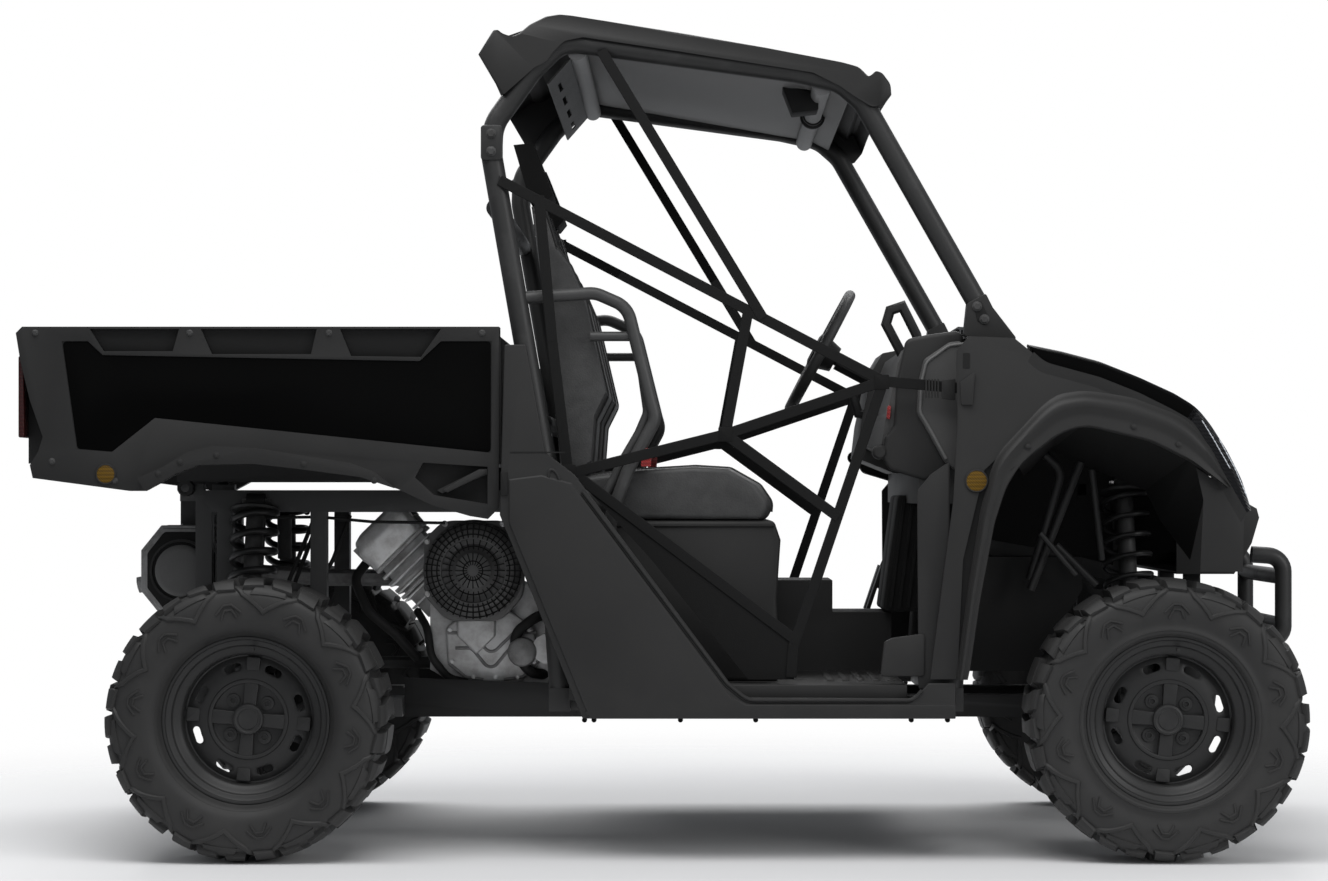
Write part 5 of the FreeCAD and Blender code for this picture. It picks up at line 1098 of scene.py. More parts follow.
@dataclass
class Wheel:
    """A knobbly tyre and its steel rim; right wheels are built and left ones mirrored."""

    end: str
    x: float
    half: float
    turn: float
    axle: float = 0.33
    outside: float = 0.78
    repeats: int = 10
    tread: float = 0.017
    ridge: float = 0.0044
    tilt: float = 5.0
    long_v: tuple[Point, ...] = ((-16.5, 0.8), (-12.0, 0.66), (0.0, 0.475), (10.5, 0.62), (15.0, 0.8))
    blocks: tuple[tuple[tuple[Point, ...], float, int], ...] = (
        (((-10.0, 0.64), (8.5, 0.615), (5.5, 0.8), (-9.0, 0.8)), 0.5, 8),
        (((-11.5, 0.7), (-1.4, 0.715), (1.6, 1.02), (-7.0, 1.02)), 1.0, 12),
        (((1.0, 0.725), (11.2, 0.695), (9.4, 1.02), (4.0, 1.02)), 0.94, 12),
        (((13.4, 0.66), (23.0, 0.68), (24.6, 0.9), (14.2, 0.9)), 0.9, 12),
        (((12.6, 0.885), (25.2, 0.885), (26.4, 1.02), (12.0, 1.02)), 1.0, 8))
    _section: list[Point] = field(default_factory=list, init=False)

    def build(self) -> list[str]:
        """Builds the wheels of one axle.

        Returns:
            The nodes they stand for.
        """
        nodes = []
        for kind, mesh, finish in (("tyre", self._tyre(), Finishes.RUBBER), ("rim", self._rim(), Finishes.RIM)):
            moved(mesh, Vector((self.x, -(self.outside - self.half), self.axle)))
            for side in Side:
                hand = side.name.lower()
                node = f"{kind}_{self.end}_{hand}"
                own = mesh if side is Side.RIGHT else mirrored(mesh)
                piece = new_piece(node + "_dressed", own, finish, f"wheel_{self.end}_{hand}", 40.0)
                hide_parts(node)
                nodes.append(node)
        return nodes

    def _wall(self) -> list[Point]:
        """The tyre's section from bead to crown as (radius, y out), smoothed."""
        half = self.half
        control = [(0.1785, 0.0845), (0.187, 0.09), (0.1965, 0.1), (0.206, half * 0.3 + 0.074),
                   (0.224, half - 0.01), (0.25, half - 0.005), (0.274, half - 0.0055), (0.295, half - 0.011),
                   (0.305, half - 0.023), (0.3095, half - 0.042), (0.3112, half * 0.45), (0.3115, 0.0)]
        out = []
        for i in range(len(control) - 1):
            p = [Vector(control[max(0, min(len(control) - 1, k))]) for k in (i - 1, i, i + 1, i + 2)]
            for step in range(4):
                t = step / 4
                spot = 0.5 * (2 * p[1] + (p[2] - p[0]) * t + (2 * p[0] - 5 * p[1] + 4 * p[2] - p[3]) * t ** 2
                              + (3 * p[1] - p[0] - 3 * p[2] + p[3]) * t ** 3)
                out.append((spot.x, spot.y))
        return out + [control[-1]]

    def _on(self, angle: float, share: float, lift: float, hand: int = 1) -> Vector:
        """A point over the tyre's skin.

        Args:
            angle: round the axle, in degrees.
            share: from the bead, 0, to the crown, 1, in places along the section.
            lift: how far above the skin.
            hand: -1 for the inner wall.

        Returns:
            The point round the origin, with the outer wall towards -Y.
        """
        wall = self._section
        spot = max(0.0, min(0.9999, share)) * (len(wall) - 1)
        i = int(spot)
        a, b = Vector(wall[i]), Vector(wall[i + 1])
        here = a.lerp(b, spot - i)
        c, d = Vector(wall[max(0, i - 1)]), Vector(wall[min(len(wall) - 1, i + 2)])
        normal = Vector(((c - d).y, (d - c).x)).normalized()
        here = here + normal * lift
        if share > 1:
            here.y -= (share - 1) * self.half
        turn = math.radians(angle)
        return Vector((here.x * math.cos(turn), -hand * here.y, here.x * math.sin(turn)))

    def _strip(self, path: Sequence[Point], width: float, lift: float, hand: int) -> BMesh:
        """A raised strip over the skin.

        Args:
            path: its corners as (degrees, share).
            width: its width, in metres.
            lift: its height.
            hand: -1 for the inner wall.

        Returns:
            The mesh being built.
        """
        dense: list[Point] = []
        for (a0, s0), (a1, s1) in zip(path, path[1:]):
            dense += [(a0 + (a1 - a0) * k / 8, s0 + (s1 - s0) * k / 8) for k in range(8)]
        dense.append(path[-1])
        rings = []
        for i, (angle, share) in enumerate(dense):
            here = self._on(angle, share, 0.0, hand)
            before = self._on(*dense[max(0, i - 1)], 0.0, hand)
            after = self._on(*dense[min(len(dense) - 1, i + 1)], 0.0, hand)
            normal = (self._on(angle, share, 0.01, hand) - here).normalized()
            one, two = (here - before), (after - here)
            tangent = (one.normalized() + two.normalized()).normalized()
            over = tangent.cross(normal).normalized()
            stretch = 1 / max(0.6, tangent.dot((one if one.length else two).normalized()))
            ring = [over * (width * 0.5 * stretch * o) + normal * h for o, h in
                    ((-1.25, -0.002), (-1, lift * 0.35), (-0.62, lift * 0.95), (0, lift * 1.05), (0.62, lift * 0.95),
                     (1, lift * 0.35), (1.25, -0.002))]
            rings.append([here + p for p in ring])
        return lofted(rings)

    def _block(self, corners: Sequence[Point], lift: float, hand: int, long: int) -> BMesh:
        """A tread block over the skin, with drafted sides.

        Args:
            corners: its four corners as (degrees, share), in order round it.
            lift: its height.
            hand: -1 for the inner wall.
            long: how many cells it has along its run.

        Returns:
            The mesh being built.
        """
        work = bmesh.new()
        wide, inset = 4, 0.09

        def spot(u: float, v: float) -> Point:
            """Bilinear place in the block."""
            a, b, c, d = corners
            return tuple((a[k] * (1 - u) + b[k] * u) * (1 - v) + (d[k] * (1 - u) + c[k] * u) * v for k in (0, 1))

        def crest(u: float, v: float) -> Vector:
            """A point of the block's top; it is lower down the wall."""
            angle, share = spot(u, v)
            return self._on(angle, share, lift * max(0.25, min(1.0, 0.3 + (share - 0.64) / 0.2)), hand)

        top = [[work.verts.new(crest(inset + (1 - 2 * inset) * i / wide, inset * 0.5 + (1 - inset) * j / long))
                for i in range(wide + 1)] for j in range(long + 1)]
        for j in range(long):
            for i in range(wide):
                work.faces.new((top[j][i], top[j][i + 1], top[j + 1][i + 1], top[j + 1][i]))
        edge = [(0, i) for i in range(wide)] + [(j, wide) for j in range(long)]
        edge += [(long, i) for i in range(wide, 0, -1)] + [(j, 0) for j in range(long, 0, -1)]
        rim = [top[j][i] for j, i in edge]
        foot = [work.verts.new(self._on(*spot(i / wide, j / long), -0.003, hand)) for j, i in edge]
        for k in range(len(rim)):
            n = (k + 1) % len(rim)
            work.faces.new((rim[k], foot[k], foot[n], rim[n]))
        return work

    def _tyre(self) -> Mesh:
        """The tyre round the origin."""
        self._section = self._wall()
        full = [(r, -y) for r, y in self._section] + [(r, y) for r, y in reversed(self._section[:-1])]
        carcass = turned(full, 120, Vector())
        rings = [turned([(r, -self._out(r)), (r + 0.0006, -self._out(r) - 0.0012),
                         (r + 0.0022, -self._out(r) - 0.0012), (r + 0.003, -self._out(r + 0.003))], 120, Vector())
                 for r in (0.2005, 0.2085)]
        skin = finished(joined([carcass] + rings), Finishes.RUBBER)
        parts = []
        for hand in (1, -1):
            parts.append(self._strip(self.long_v, 0.0105, self.ridge, hand))
            for reach, low in ((6.6, 0.47), (4.4, 0.425)):
                parts.append(self._strip([(18.0 - reach, low - 0.01), (16.2, low + 0.06), (19.8, low + 0.06),
                                          (18.0 + reach, low - 0.01)], 0.005, self.ridge * 0.8, hand))
            parts += [self._block(corners, self.tread * share, hand, long) for corners, share, long in self.blocks]
        lug = plain(joined(parts))
        return merged([skin, Repeats.around(lug, Finishes.RUBBER, self.repeats, self.turn)], f"tyre_{self.end}")

    def _out(self, radius: float) -> float:
        """How far out the wall is at a radius of its lower half."""
        for (r0, y0), (r1, y1) in zip(self._section, self._section[1:]):
            if r0 <= radius <= r1:
                return y0 + (y1 - y0) * (radius - r0) / (r1 - r0)
        return self.half

    def _rim(self) -> Mesh:
        """The rim round the origin."""
        lip = [(0.1785, -0.0835), (0.186, -0.085), (0.19, -0.09), (0.1925, -0.0965), (0.194, -0.0975),
               (0.1945, -0.0985), (0.1935, -0.1), (0.19, -0.1005), (0.188, -0.0995), (0.1862, -0.095),
               (0.1845, -0.093), (0.176, -0.0915), (0.1738, -0.0895), (0.1722, -0.082), (0.1705, -0.0805),
               (0.164, -0.077), (0.156, -0.072), (0.153, -0.069), (0.1515, -0.065), (0.1508, -0.056),
               (0.15, -0.04), (0.148, -0.034)]
        back = [(0.156, 0.01), (0.16, 0.07), (0.172, 0.08), (0.186, 0.096), (0.1945, 0.0975),
                (0.1945, 0.0985), (0.19, 0.09), (0.1785, 0.0835)]
        barrel = turned(lip + back, 96, Vector())
        dish = turned([(0.1492, -0.042), (0.146, -0.0405), (0.143, -0.0412)], 96, Vector())
        sector = self._slot_sector()
        disc = Repeats.around(sector, Finishes.RIM, 8, 22.5 + self.tilt)
        tab = bevelled(plain(slab([(-0.015, 0.114), (0.015, 0.114), (0.0165, 0.1445), (-0.0165, 0.1445)],
                                  -0.0545, -0.04, 0.004)), 0.0016, 2)
        tabs = Repeats.around(tab, Finishes.RIM, 4, self.tilt)
        hub = turned([(0.095, -0.055), (0.0925, -0.058), (0.088, -0.0588), (0.085, -0.0575), (0.0838, -0.054),
                      (0.083, -0.044), (0.08, -0.0425), (0.03, -0.0425)], 96, Vector())
        arm = bevelled(plain(slab([(-0.015, 0.028), (0.015, 0.028), (0.0172, 0.086), (-0.0172, 0.086)],
                                  -0.056, -0.041)), 0.0022, 3)
        arms = Repeats.around(arm, Finishes.RIM, 4, self.tilt)
        pad = joined([turned([(0.016, -0.042), (0.0155, -0.046), (0.009, -0.047), (0.0085, -0.05),
                              (0.006, -0.0505), (0.0055, -0.046), (0, -0.046)], 28, Vector((0, 0, 0.056)))])
        pads = Repeats.around(plain(pad), Finishes.RIM, 4, 45.0 + self.tilt)
        cap = turned([(0.036, -0.043), (0.0358, -0.06), (0.0345, -0.0625), (0.03, -0.064), (0.0285, -0.0628),
                      (0.024, -0.0628), (0.0225, -0.0645), (0, -0.065)], 48, Vector())
        valve = turned([(0.0034, -0.088), (0.0034, -0.101), (0.0042, -0.101), (0.0042, -0.109), (0, -0.1095)],
                       16, Vector((0.017, 0, 0.164)))
        steel = finished(joined([barrel, dish, hub, cap]), Finishes.RIM)
        rest = finished(valve, Finishes.TRIM)
        return merged([steel, disc, tabs, arms, pads, rest], f"rim_{self.end}")

    def _slot_sector(self) -> Mesh:
        """An eighth of the disc with its slot, round straight up."""
        ring, half, radius, thick, count = 0.1245, 0.0115, 0.009, 0.006, 32
        work = bmesh.new()

        def depth(r: float) -> float:
            """The disc's y at a radius."""
            share = max(0.0, min(1.0, (r - 0.094) / 0.052))
            return -0.0555 + 0.015 * share ** 1.6

        def put(x: float, z: float, down: float) -> bmesh.types.BMVert:
            """A point of the disc at (x, z)."""
            return work.verts.new((x, depth(math.hypot(x, z)) + down, z))

        hole, frame_ring = [], []
        for a in turns(count):
            c, s = math.cos(a), math.sin(a)
            x = math.copysign(half, c) + radius * c
            hole.append((x, ring + radius * s - 0.0006 * abs(x) / half))
            big = max(abs(c), abs(s))
            angle, r = 22.5 * c / big, 0.12 + 0.026 * s / big
            frame_ring.append((r * math.sin(math.radians(angle)), r * math.cos(math.radians(angle))))
        rings = []
        for share in (0.0, 0.35, 0.7, 0.93, 1.0):
            rings.append([put(f[0] + (h[0] - f[0]) * share, f[1] + (h[1] - f[1]) * share,
                              0.0012 if share == 1 else 0.0) for f, h in zip(frame_ring, hole)])
        rings.append([put(*h, thick) for h in hole])
        rings.append([put(h[0] * 1.5, ring + (h[1] - ring) * 1.9, thick) for h in hole])
        for one, two in zip(rings, rings[1:]):
            for k in range(count):
                n = (k + 1) % count
                work.faces.new((one[k], one[n], two[n], two[k]))
        bmesh.ops.recalc_face_normals(work, faces=work.faces)
        return plain(work)


# Cab


def box(x0: float, x1: float, z0: float, z1: float) -> list[Point]:
    """A rectangle's corners in the side view."""
    return [(x0, z0), (x1, z0), (x1, z1), (x0, z1)]


def plate(view: View, shares: Sequence[Point], y0: float, y1: float, bend: float = 0.004,
          edge: float = 0.0015) -> Mesh:
    """A flat piece with rounded corners and edges, outlined in the side view.

    Args:
        view: the frame of its outline.
        shares: the outline.
        y0: one face.
        y1: the other face.
        bend: the radius of its corners.
        edge: the width of its edge rounding.

    Returns:
        The mesh.
    """
    return bevelled(plain(slab(view.flat(shares), y0, y1, bend)), edge, 2, 40.0)


def cover(name: str, meshes: Sequence[Mesh], body: str, *nodes: str) -> list[str]:
    """Makes one piece of finished meshes and lets it stand for nodes.

    Args:
        name: the piece's name.
        meshes: its meshes with their materials.
        body: the body that it rides on.
        nodes: the CAD nodes that it replaces.

    Returns:
        The nodes.
    """
    piece = new_piece(name, merged(meshes, name), Finishes.BODY, body)
    if nodes:
        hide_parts(*nodes)
    return list(nodes)


def height_at(line: Sequence[Vector], x: float) -> float:
    """The height of a line of the side view at an x; past its end, the height of its last point."""
    for a, b in zip(line, line[1:]):
        if min(a.x, b.x) <= x <= max(a.x, b.x) and a.x != b.x:
            return a.z + (b.z - a.z) * (x - a.x) / (b.x - a.x)
    return line[-1].z


def both_sides(meshes: Iterable[Mesh]) -> list[Mesh]:
    """Meshes of the right side with their mirror images."""
    right = list(meshes)
    return right + [mirrored(mesh) for mesh in right]


def pipe(points: Sequence[Vector], radius: float, finish: Finish, bend: float = 0.0, sides: int = 20) -> Mesh:
    """A round bar or tube along corners.

    Args:
        points: the corners.
        radius: its radius.
        finish: its finish.
        bend: the radius of its bends.
        sides: how many sides it has.

    Returns:
        The finished mesh.
    """
    path = rounded(points, bend, 8) if bend else list(points)
    return finished(swept(path, radius, sides), finish)


def reflector(spot: Vector, radius: float) -> Mesh:
    """A round amber reflector in a dark ring.

    Args:
        spot: its middle on the panel.
        radius: its radius.

    Returns:
        The mesh.
    """
    ring = turned([(radius, 0.001), (radius, -0.003), (radius - 0.001, -0.0045), (radius - 0.003, -0.0045),
                   (radius - 0.0035, -0.003)], 40, spot)
    lens = turned([(radius - 0.0032, 0.0), (radius - 0.0034, -0.0035), (radius * 0.5, -0.0046), (0, -0.0048)], 40,
                  spot)
    return merged([finished(ring, Finishes.TRIM), finished(lens, Finishes.AMBER)], "reflector")


@dataclass
class Cage:
    """The roll cage: bent round tubes with clamps and foot plates, and the bars across."""

    tube: float = 0.025
    cross: float = 0.022
    half: float = 0.63
    path: tuple[Point, ...] = (
        (0.199, 0.04), (0.161, 0.369), (0.035, 0.793), (0.038, 0.836), (0.13, 0.911), (0.195, 0.949), (0.238, 0.953),
        (0.77, 0.911), (0.878, 0.897), (0.934, 0.868), (1.253, 0.539), (1.185, 0.3), (1.149, 0.04))
    bars: tuple[Point, ...] = ((0.24, 0.943), (0.043, 0.72), (0.14, 0.42), (0.835, 0.893), (1.23, 0.493))
    pale_bars: tuple[int, ...] = (0, 3)

    def build(self) -> list[str]:
        """Builds the cage.

        Returns:
            The nodes it stands for.
        """
        return self._sides() + self._bars()

    def _sides(self) -> list[str]:
        """The two bent hoops with what is welded and clamped to them."""
        at = View.CAB.at
        parts = [pipe([at(s, -self.half) for s in self.path], self.tube, Finishes.CAGE, 0.1, 28)]
        foot = bevelled(plain(slab([(0.693, 1.3), (0.7354, 1.3235), (0.752, 1.29), (0.813, 1.211), (0.6847, 1.223)],
                                   -self.half - 0.027, -self.half + 0.027, 0.006)), 0.005, 3)
        inset = bevelled(plain(slab([(0.706, 1.3), (0.724, 1.306), (0.745, 1.262), (0.735, 1.247), (0.716, 1.258)],
                                    -self.half - 0.0285, -self.half - 0.02, 0.005)), 0.001)
        joint = plate(View.CAB, ((0.01, 0.835), (0.062, 0.835), (0.062, 0.785), (0.01, 0.785)),
                      -self.half - 0.028, -self.half, 0.008, 0.003)
        parts += [coated(foot, Finishes.BODY), coated(inset, Finishes.DARK_AND_SHADE), coated(joint, Finishes.CAGE)]
        spots = [at(s, -self.half - 0.028) for s in ((0.035, 0.8225), (0.035, 0.7975))]
        spots += [Vector((x, -self.half - 0.0285, z)) for x, z in ((0.715, 1.292), (0.732, 1.262))]
        parts.append(Repeats.at_spots(bolt(0.009, 0.006), Finishes.DARK_METAL, spots))
        return cover("cage_sides", both_sides(parts), "chassis", "rops_sides")

    def _bars(self) -> list[str]:
        """The bars across, the two clamped joints and the hood's ears and pins."""
        at = View.CAB.at
        reach = self.half - self.cross + 0.003
        parts = []
        for i, share in enumerate(self.bars):
            finish = Finishes.SILVER_BAR if i in self.pale_bars else Finishes.CAGE
            parts.append(pipe([at(share, -reach), at(share, reach)], self.cross, finish, sides=28))
        middle = at(self.bars[3], 0.0)
        for y0, y1, extra in ((-0.034, -0.004, 0.004), (0.004, 0.034, 0.004), (-0.006, 0.006, 0.01)):
            parts.append(pipe([middle + Vector((0, y0, 0)), middle + Vector((0, y1, 0))], self.cross + extra,
                              Finishes.TRIM, sides=28))
        axle = View.FENDER.at((0.17027, 0.977925), 0.0)
        for side in Side:
            s = side.value
            ear = plate(View.CAB, ((1.22, 0.493), (1.24, 0.493), (1.207, 0.54), (1.187, 0.54), (1.187, 0.53)),
                        s * 0.331, s * 0.337, 0.002, 0.001)
            parts.append(coated(ear, Finishes.CAGE))
            parts.append(pipe([axle + Vector((0, s * 0.341, 0)), axle + Vector((0, s * 0.275, 0))], 0.005,
                              Finishes.SHINY))
        return cover("cage_bars", parts, "chassis", "rops_crossbars")


@dataclass
class RoofShell:
    """The moulded roof with its pale headliner, slotted rear panel and a dark box under it."""

    half: float = 0.652
    top: tuple[Point, ...] = (
        (-0.451, 1.8816), (-0.4134, 1.9424), (-0.402, 1.931), (-0.3755, 1.922), (-0.356, 1.93), (-0.3313, 1.951),
        (-0.2935, 1.97), (-0.2622, 1.9751), (-0.2365, 1.9728), (-0.1547, 1.96), (0.0346, 1.9296), (0.2239, 1.8968),
        (0.4005, 1.863), (0.4384, 1.8527), (0.4505, 1.8412), (0.4662, 1.8249), (0.4851, 1.8426), (0.4949, 1.8373),
        (0.513, 1.8123), (0.515, 1.787))
    low: tuple[Point, ...] = (
        (0.4949, 1.7625), (0.4762, 1.7555), (0.4318, 1.7835), (0.4005, 1.806), (0.3374, 1.8375), (0.0346, 1.891),
        (-0.2115, 1.9221), (-0.2556, 1.9132), (-0.2809, 1.888), (-0.2996, 1.863), (-0.3253, 1.8501), (-0.3954, 1.787))

    def build(self) -> list[str]:
        """Builds the roof.

        Returns:
            The node it stands for.
        """
        piece = new_piece("roof_dressed", self._shell(), Finishes.BODY, "chassis", 40.0)
        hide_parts("roof")
        liner = slab(View.ROOF.flat(((0.215, 0.74), (0.26, 0.79), (0.86, 0.445), (0.905, 0.35), (0.905, 0.31),
                                     (0.855, 0.4), (0.258, 0.745), (0.228, 0.7))), -self.half, self.half, 0.006)
        sheet = finished(liner, Finishes.HEADLINER, 0.002)
        locker = finished(slab([(0.262, 1.84), (0.352, 1.812), (0.352, 1.775), (0.29, 1.768)], -0.46, -0.36, 0.004),
                          Finishes.DARK_AND_SHADE, 0.003)
        cover("roof_lining", [sheet, self._dome(), self._rear_panel(), locker], "chassis")
        return ["roof"]

    def _shell(self) -> Mesh:
        """The shell: rims at the sides, hollow between them, a little higher in the middle."""
        tops, lows = (rounded([Vector((x, 0, z)) for x, z in line], 0.03, 3) for line in (self.top, self.low))
        middle = sum(tops + lows, Vector()) / len(tops + lows)

        def ring(y: float, inset: float, hollow: bool) -> list[Vector]:
            """The outline at a y."""
            lift = 0.015 * max(0.0, 1 - (abs(y) / 0.64) ** 2)
            out = [p + (middle - p).normalized() * inset + Vector((0, y, lift)) for p in tops]
            for p in lows:
                z = min(height_at(tops, p.x) - 0.006, p.z + 0.5) if hollow else p.z
                out.append(Vector((p.x, 0, z)) + (middle - p).normalized() * inset + Vector((0, y, lift)))
            return out

        rim = [(0.661, 0.006), (0.659, 0.0025), (0.6545, 0.0), (0.64, 0.0)]
        rings = [ring(-y, inset, False) for y, inset in rim] + [ring(-0.639, 0.0, True)]
        rings += [ring(y, 0.0, True) for y in (-0.45, -0.25, 0.0, 0.25, 0.45, 0.639)]
        rings += [ring(y, inset, False) for y, inset in reversed(rim)]
        return plain(joined([lofted(rings)]))

    def _dome(self) -> Mesh:
        """The swelling in the lining's middle."""
        at = View.ROOF.at
        rings = []
        for k in range(13):
            y = -0.6 + 1.2 * k / 12
            drop = 0.02 * math.sin(math.pi * k / 12) ** 0.6
            rings.append([at(s, y) + Vector((0, 0, -drop * d)) for s, d in
                          (((0.29, 0.745), 0.2), ((0.4, 0.685), 1.0), ((0.58, 0.58), 1.0), ((0.76, 0.475), 1.0),
                           ((0.83, 0.43), 0.2), ((0.76, 0.5), -0.2), ((0.58, 0.61), -0.2), ((0.4, 0.71), -0.2))])
        return finished(lofted(rings), Finishes.HEADLINER)

    def _rear_panel(self) -> Mesh:
        """The panel across the rear of the roof, with four slots pressed in it."""
        low, high, thick = Vector((-0.29, 0, 1.818)), Vector((-0.232, 0, 1.884)), Vector((-0.003, 0, 0.0026))
        work = bmesh.new()
        cuts = [-0.6, -0.44, -0.3, -0.17, -0.03, 0.1, 0.24, 0.37, 0.51, 0.6]
        rows = (0.0, 0.28, 0.42, 1.0)
        grid = [[[work.verts.new(low.lerp(high, v) + Vector((0, y, 0)) + thick * d) for v in rows] for y in cuts]
                for d in (0, 1)]
        for j in range(len(cuts) - 1):
            for i in range(len(rows) - 1):
                slot = i == 1 and j % 2 == 1
                for d in (0, 1):
                    if not slot:
                        g = grid[d]
                        work.faces.new((g[j][i], g[j + 1][i], g[j + 1][i + 1], g[j][i + 1]))
                if slot:
                    ring = [(j, i), (j + 1, i), (j + 1, i + 1), (j, i + 1)]
                    for (a, b), (c, d) in zip(ring, ring[1:] + ring[:1]):
                        work.faces.new((grid[0][a][b], grid[0][c][d], grid[1][c][d], grid[1][a][b]))
        edge = [(j, 0) for j in range(len(cuts))] + [(len(cuts) - 1, i) for i in range(1, len(rows))]
        edge += [(j, len(rows) - 1) for j in range(len(cuts) - 2, -1, -1)] + [(0, i)
                                                                              for i in range(len(rows) - 2, 0, -1)]
        for (a, b), (c, d) in zip(edge, edge[1:] + edge[:1]):
            work.faces.new((grid[0][a][b], grid[0][c][d], grid[1][c][d], grid[1][a][b]))
        return coated(mesh_of(work), Finishes.BODY)


# Cargo bed


@dataclass
class CargoBed:
    """The bed's moulded sides with gloss insets, latches and reflectors."""

    out: float = 0.7
    recess: float = 0.655
    inset: tuple[Point, ...] = (
        (0.095, 0.922), (0.149, 0.922), (0.18, 0.85), (0.836, 0.819), (0.88, 0.922), (0.985, 0.922),
        (0.985, 0.343), (0.288, 0.524), (0.199, 0.348), (0.126, 0.363))

    def build(self) -> list[str]:
        """Builds the bed's dressing.

        Returns:
            The nodes it stands for.
        """
        sides = refined("bed_sides", Finishes.BODY, 0.003, "cargo_bed", 3)
        # Painted shade: faces deep in the side recesses take the dark finish.
        sides.data.materials.append(Finishes.DARK_AND_SHADE.material())
        for face in sides.data.polygons:
            if abs(face.normal.y) > 0.9 and self.recess < abs(face.center.y) < self.out - 0.004:
                face.material_index = 1
        refined("bed_tub", Finishes.TRIM, 0.003, "cargo_bed")
        refined("tail_lamps", Finishes.TAIL, 0.004, "cargo_bed", 3)
        refined("tailgate", Finishes.BODY, 0.004, "tailgate", 3)
        gloss = plate(View.BED, self._shrunk(self.inset, 0.004), -self.out + 0.0016, -self.out + 0.0034, 0.008, 0.0008)
        parts = [coated(gloss, Finishes.GLOSS), reflector(Vector((-1.3135, -self.out, 0.9)), 0.024)]
        lever = [(0.882, 0.15), (0.893, 0.138), (0.972, 0.232), (0.972, 0.256), (0.958, 0.256)]
        parts.append(coated(plate(View.BED, lever, -self.out - 0.003, -self.out + 0.012, 0.004, 0.002), Finishes.TRIM))
        spots = [View.BED.at(s, -self.out) for s in
                 ((0.075, 0.3), (0.205, 0.2), (0.965, 0.965), (0.04, 0.965), (0.36, 0.965), (0.648, 0.965))]
        parts.append(Repeats.at_spots(bolt(0.006, 0.004), Finishes.DARK_METAL, spots))
        flare_spots = [View.BED.at(s, -0.736)
                       for s in ((0.3, 0.235), (0.345, 0.295), (0.42, 0.33), (0.6, 0.285), (0.745, 0.2))]
        parts.append(Repeats.at_spots(bolt(0.006, 0.003), Finishes.TRIM, flare_spots))
        cover("bed_dressing", both_sides(parts), "cargo_bed")
        return ["bed_sides", "bed_tub", "tail_lamps", "tailgate"]

    @staticmethod
    def _shrunk(shares: Sequence[Point], by: float) -> list[Point]:
        """An outline drawn in towards its middle by a share."""
        cx = sum(s[0] for s in shares) / len(shares)
        cz = sum(s[1] for s in shares) / len(shares)
        return [(cx + (x - cx) * (1 - by), cz + (z - cz) * (1 - by * 2)) for x, z in shares]


# Front body


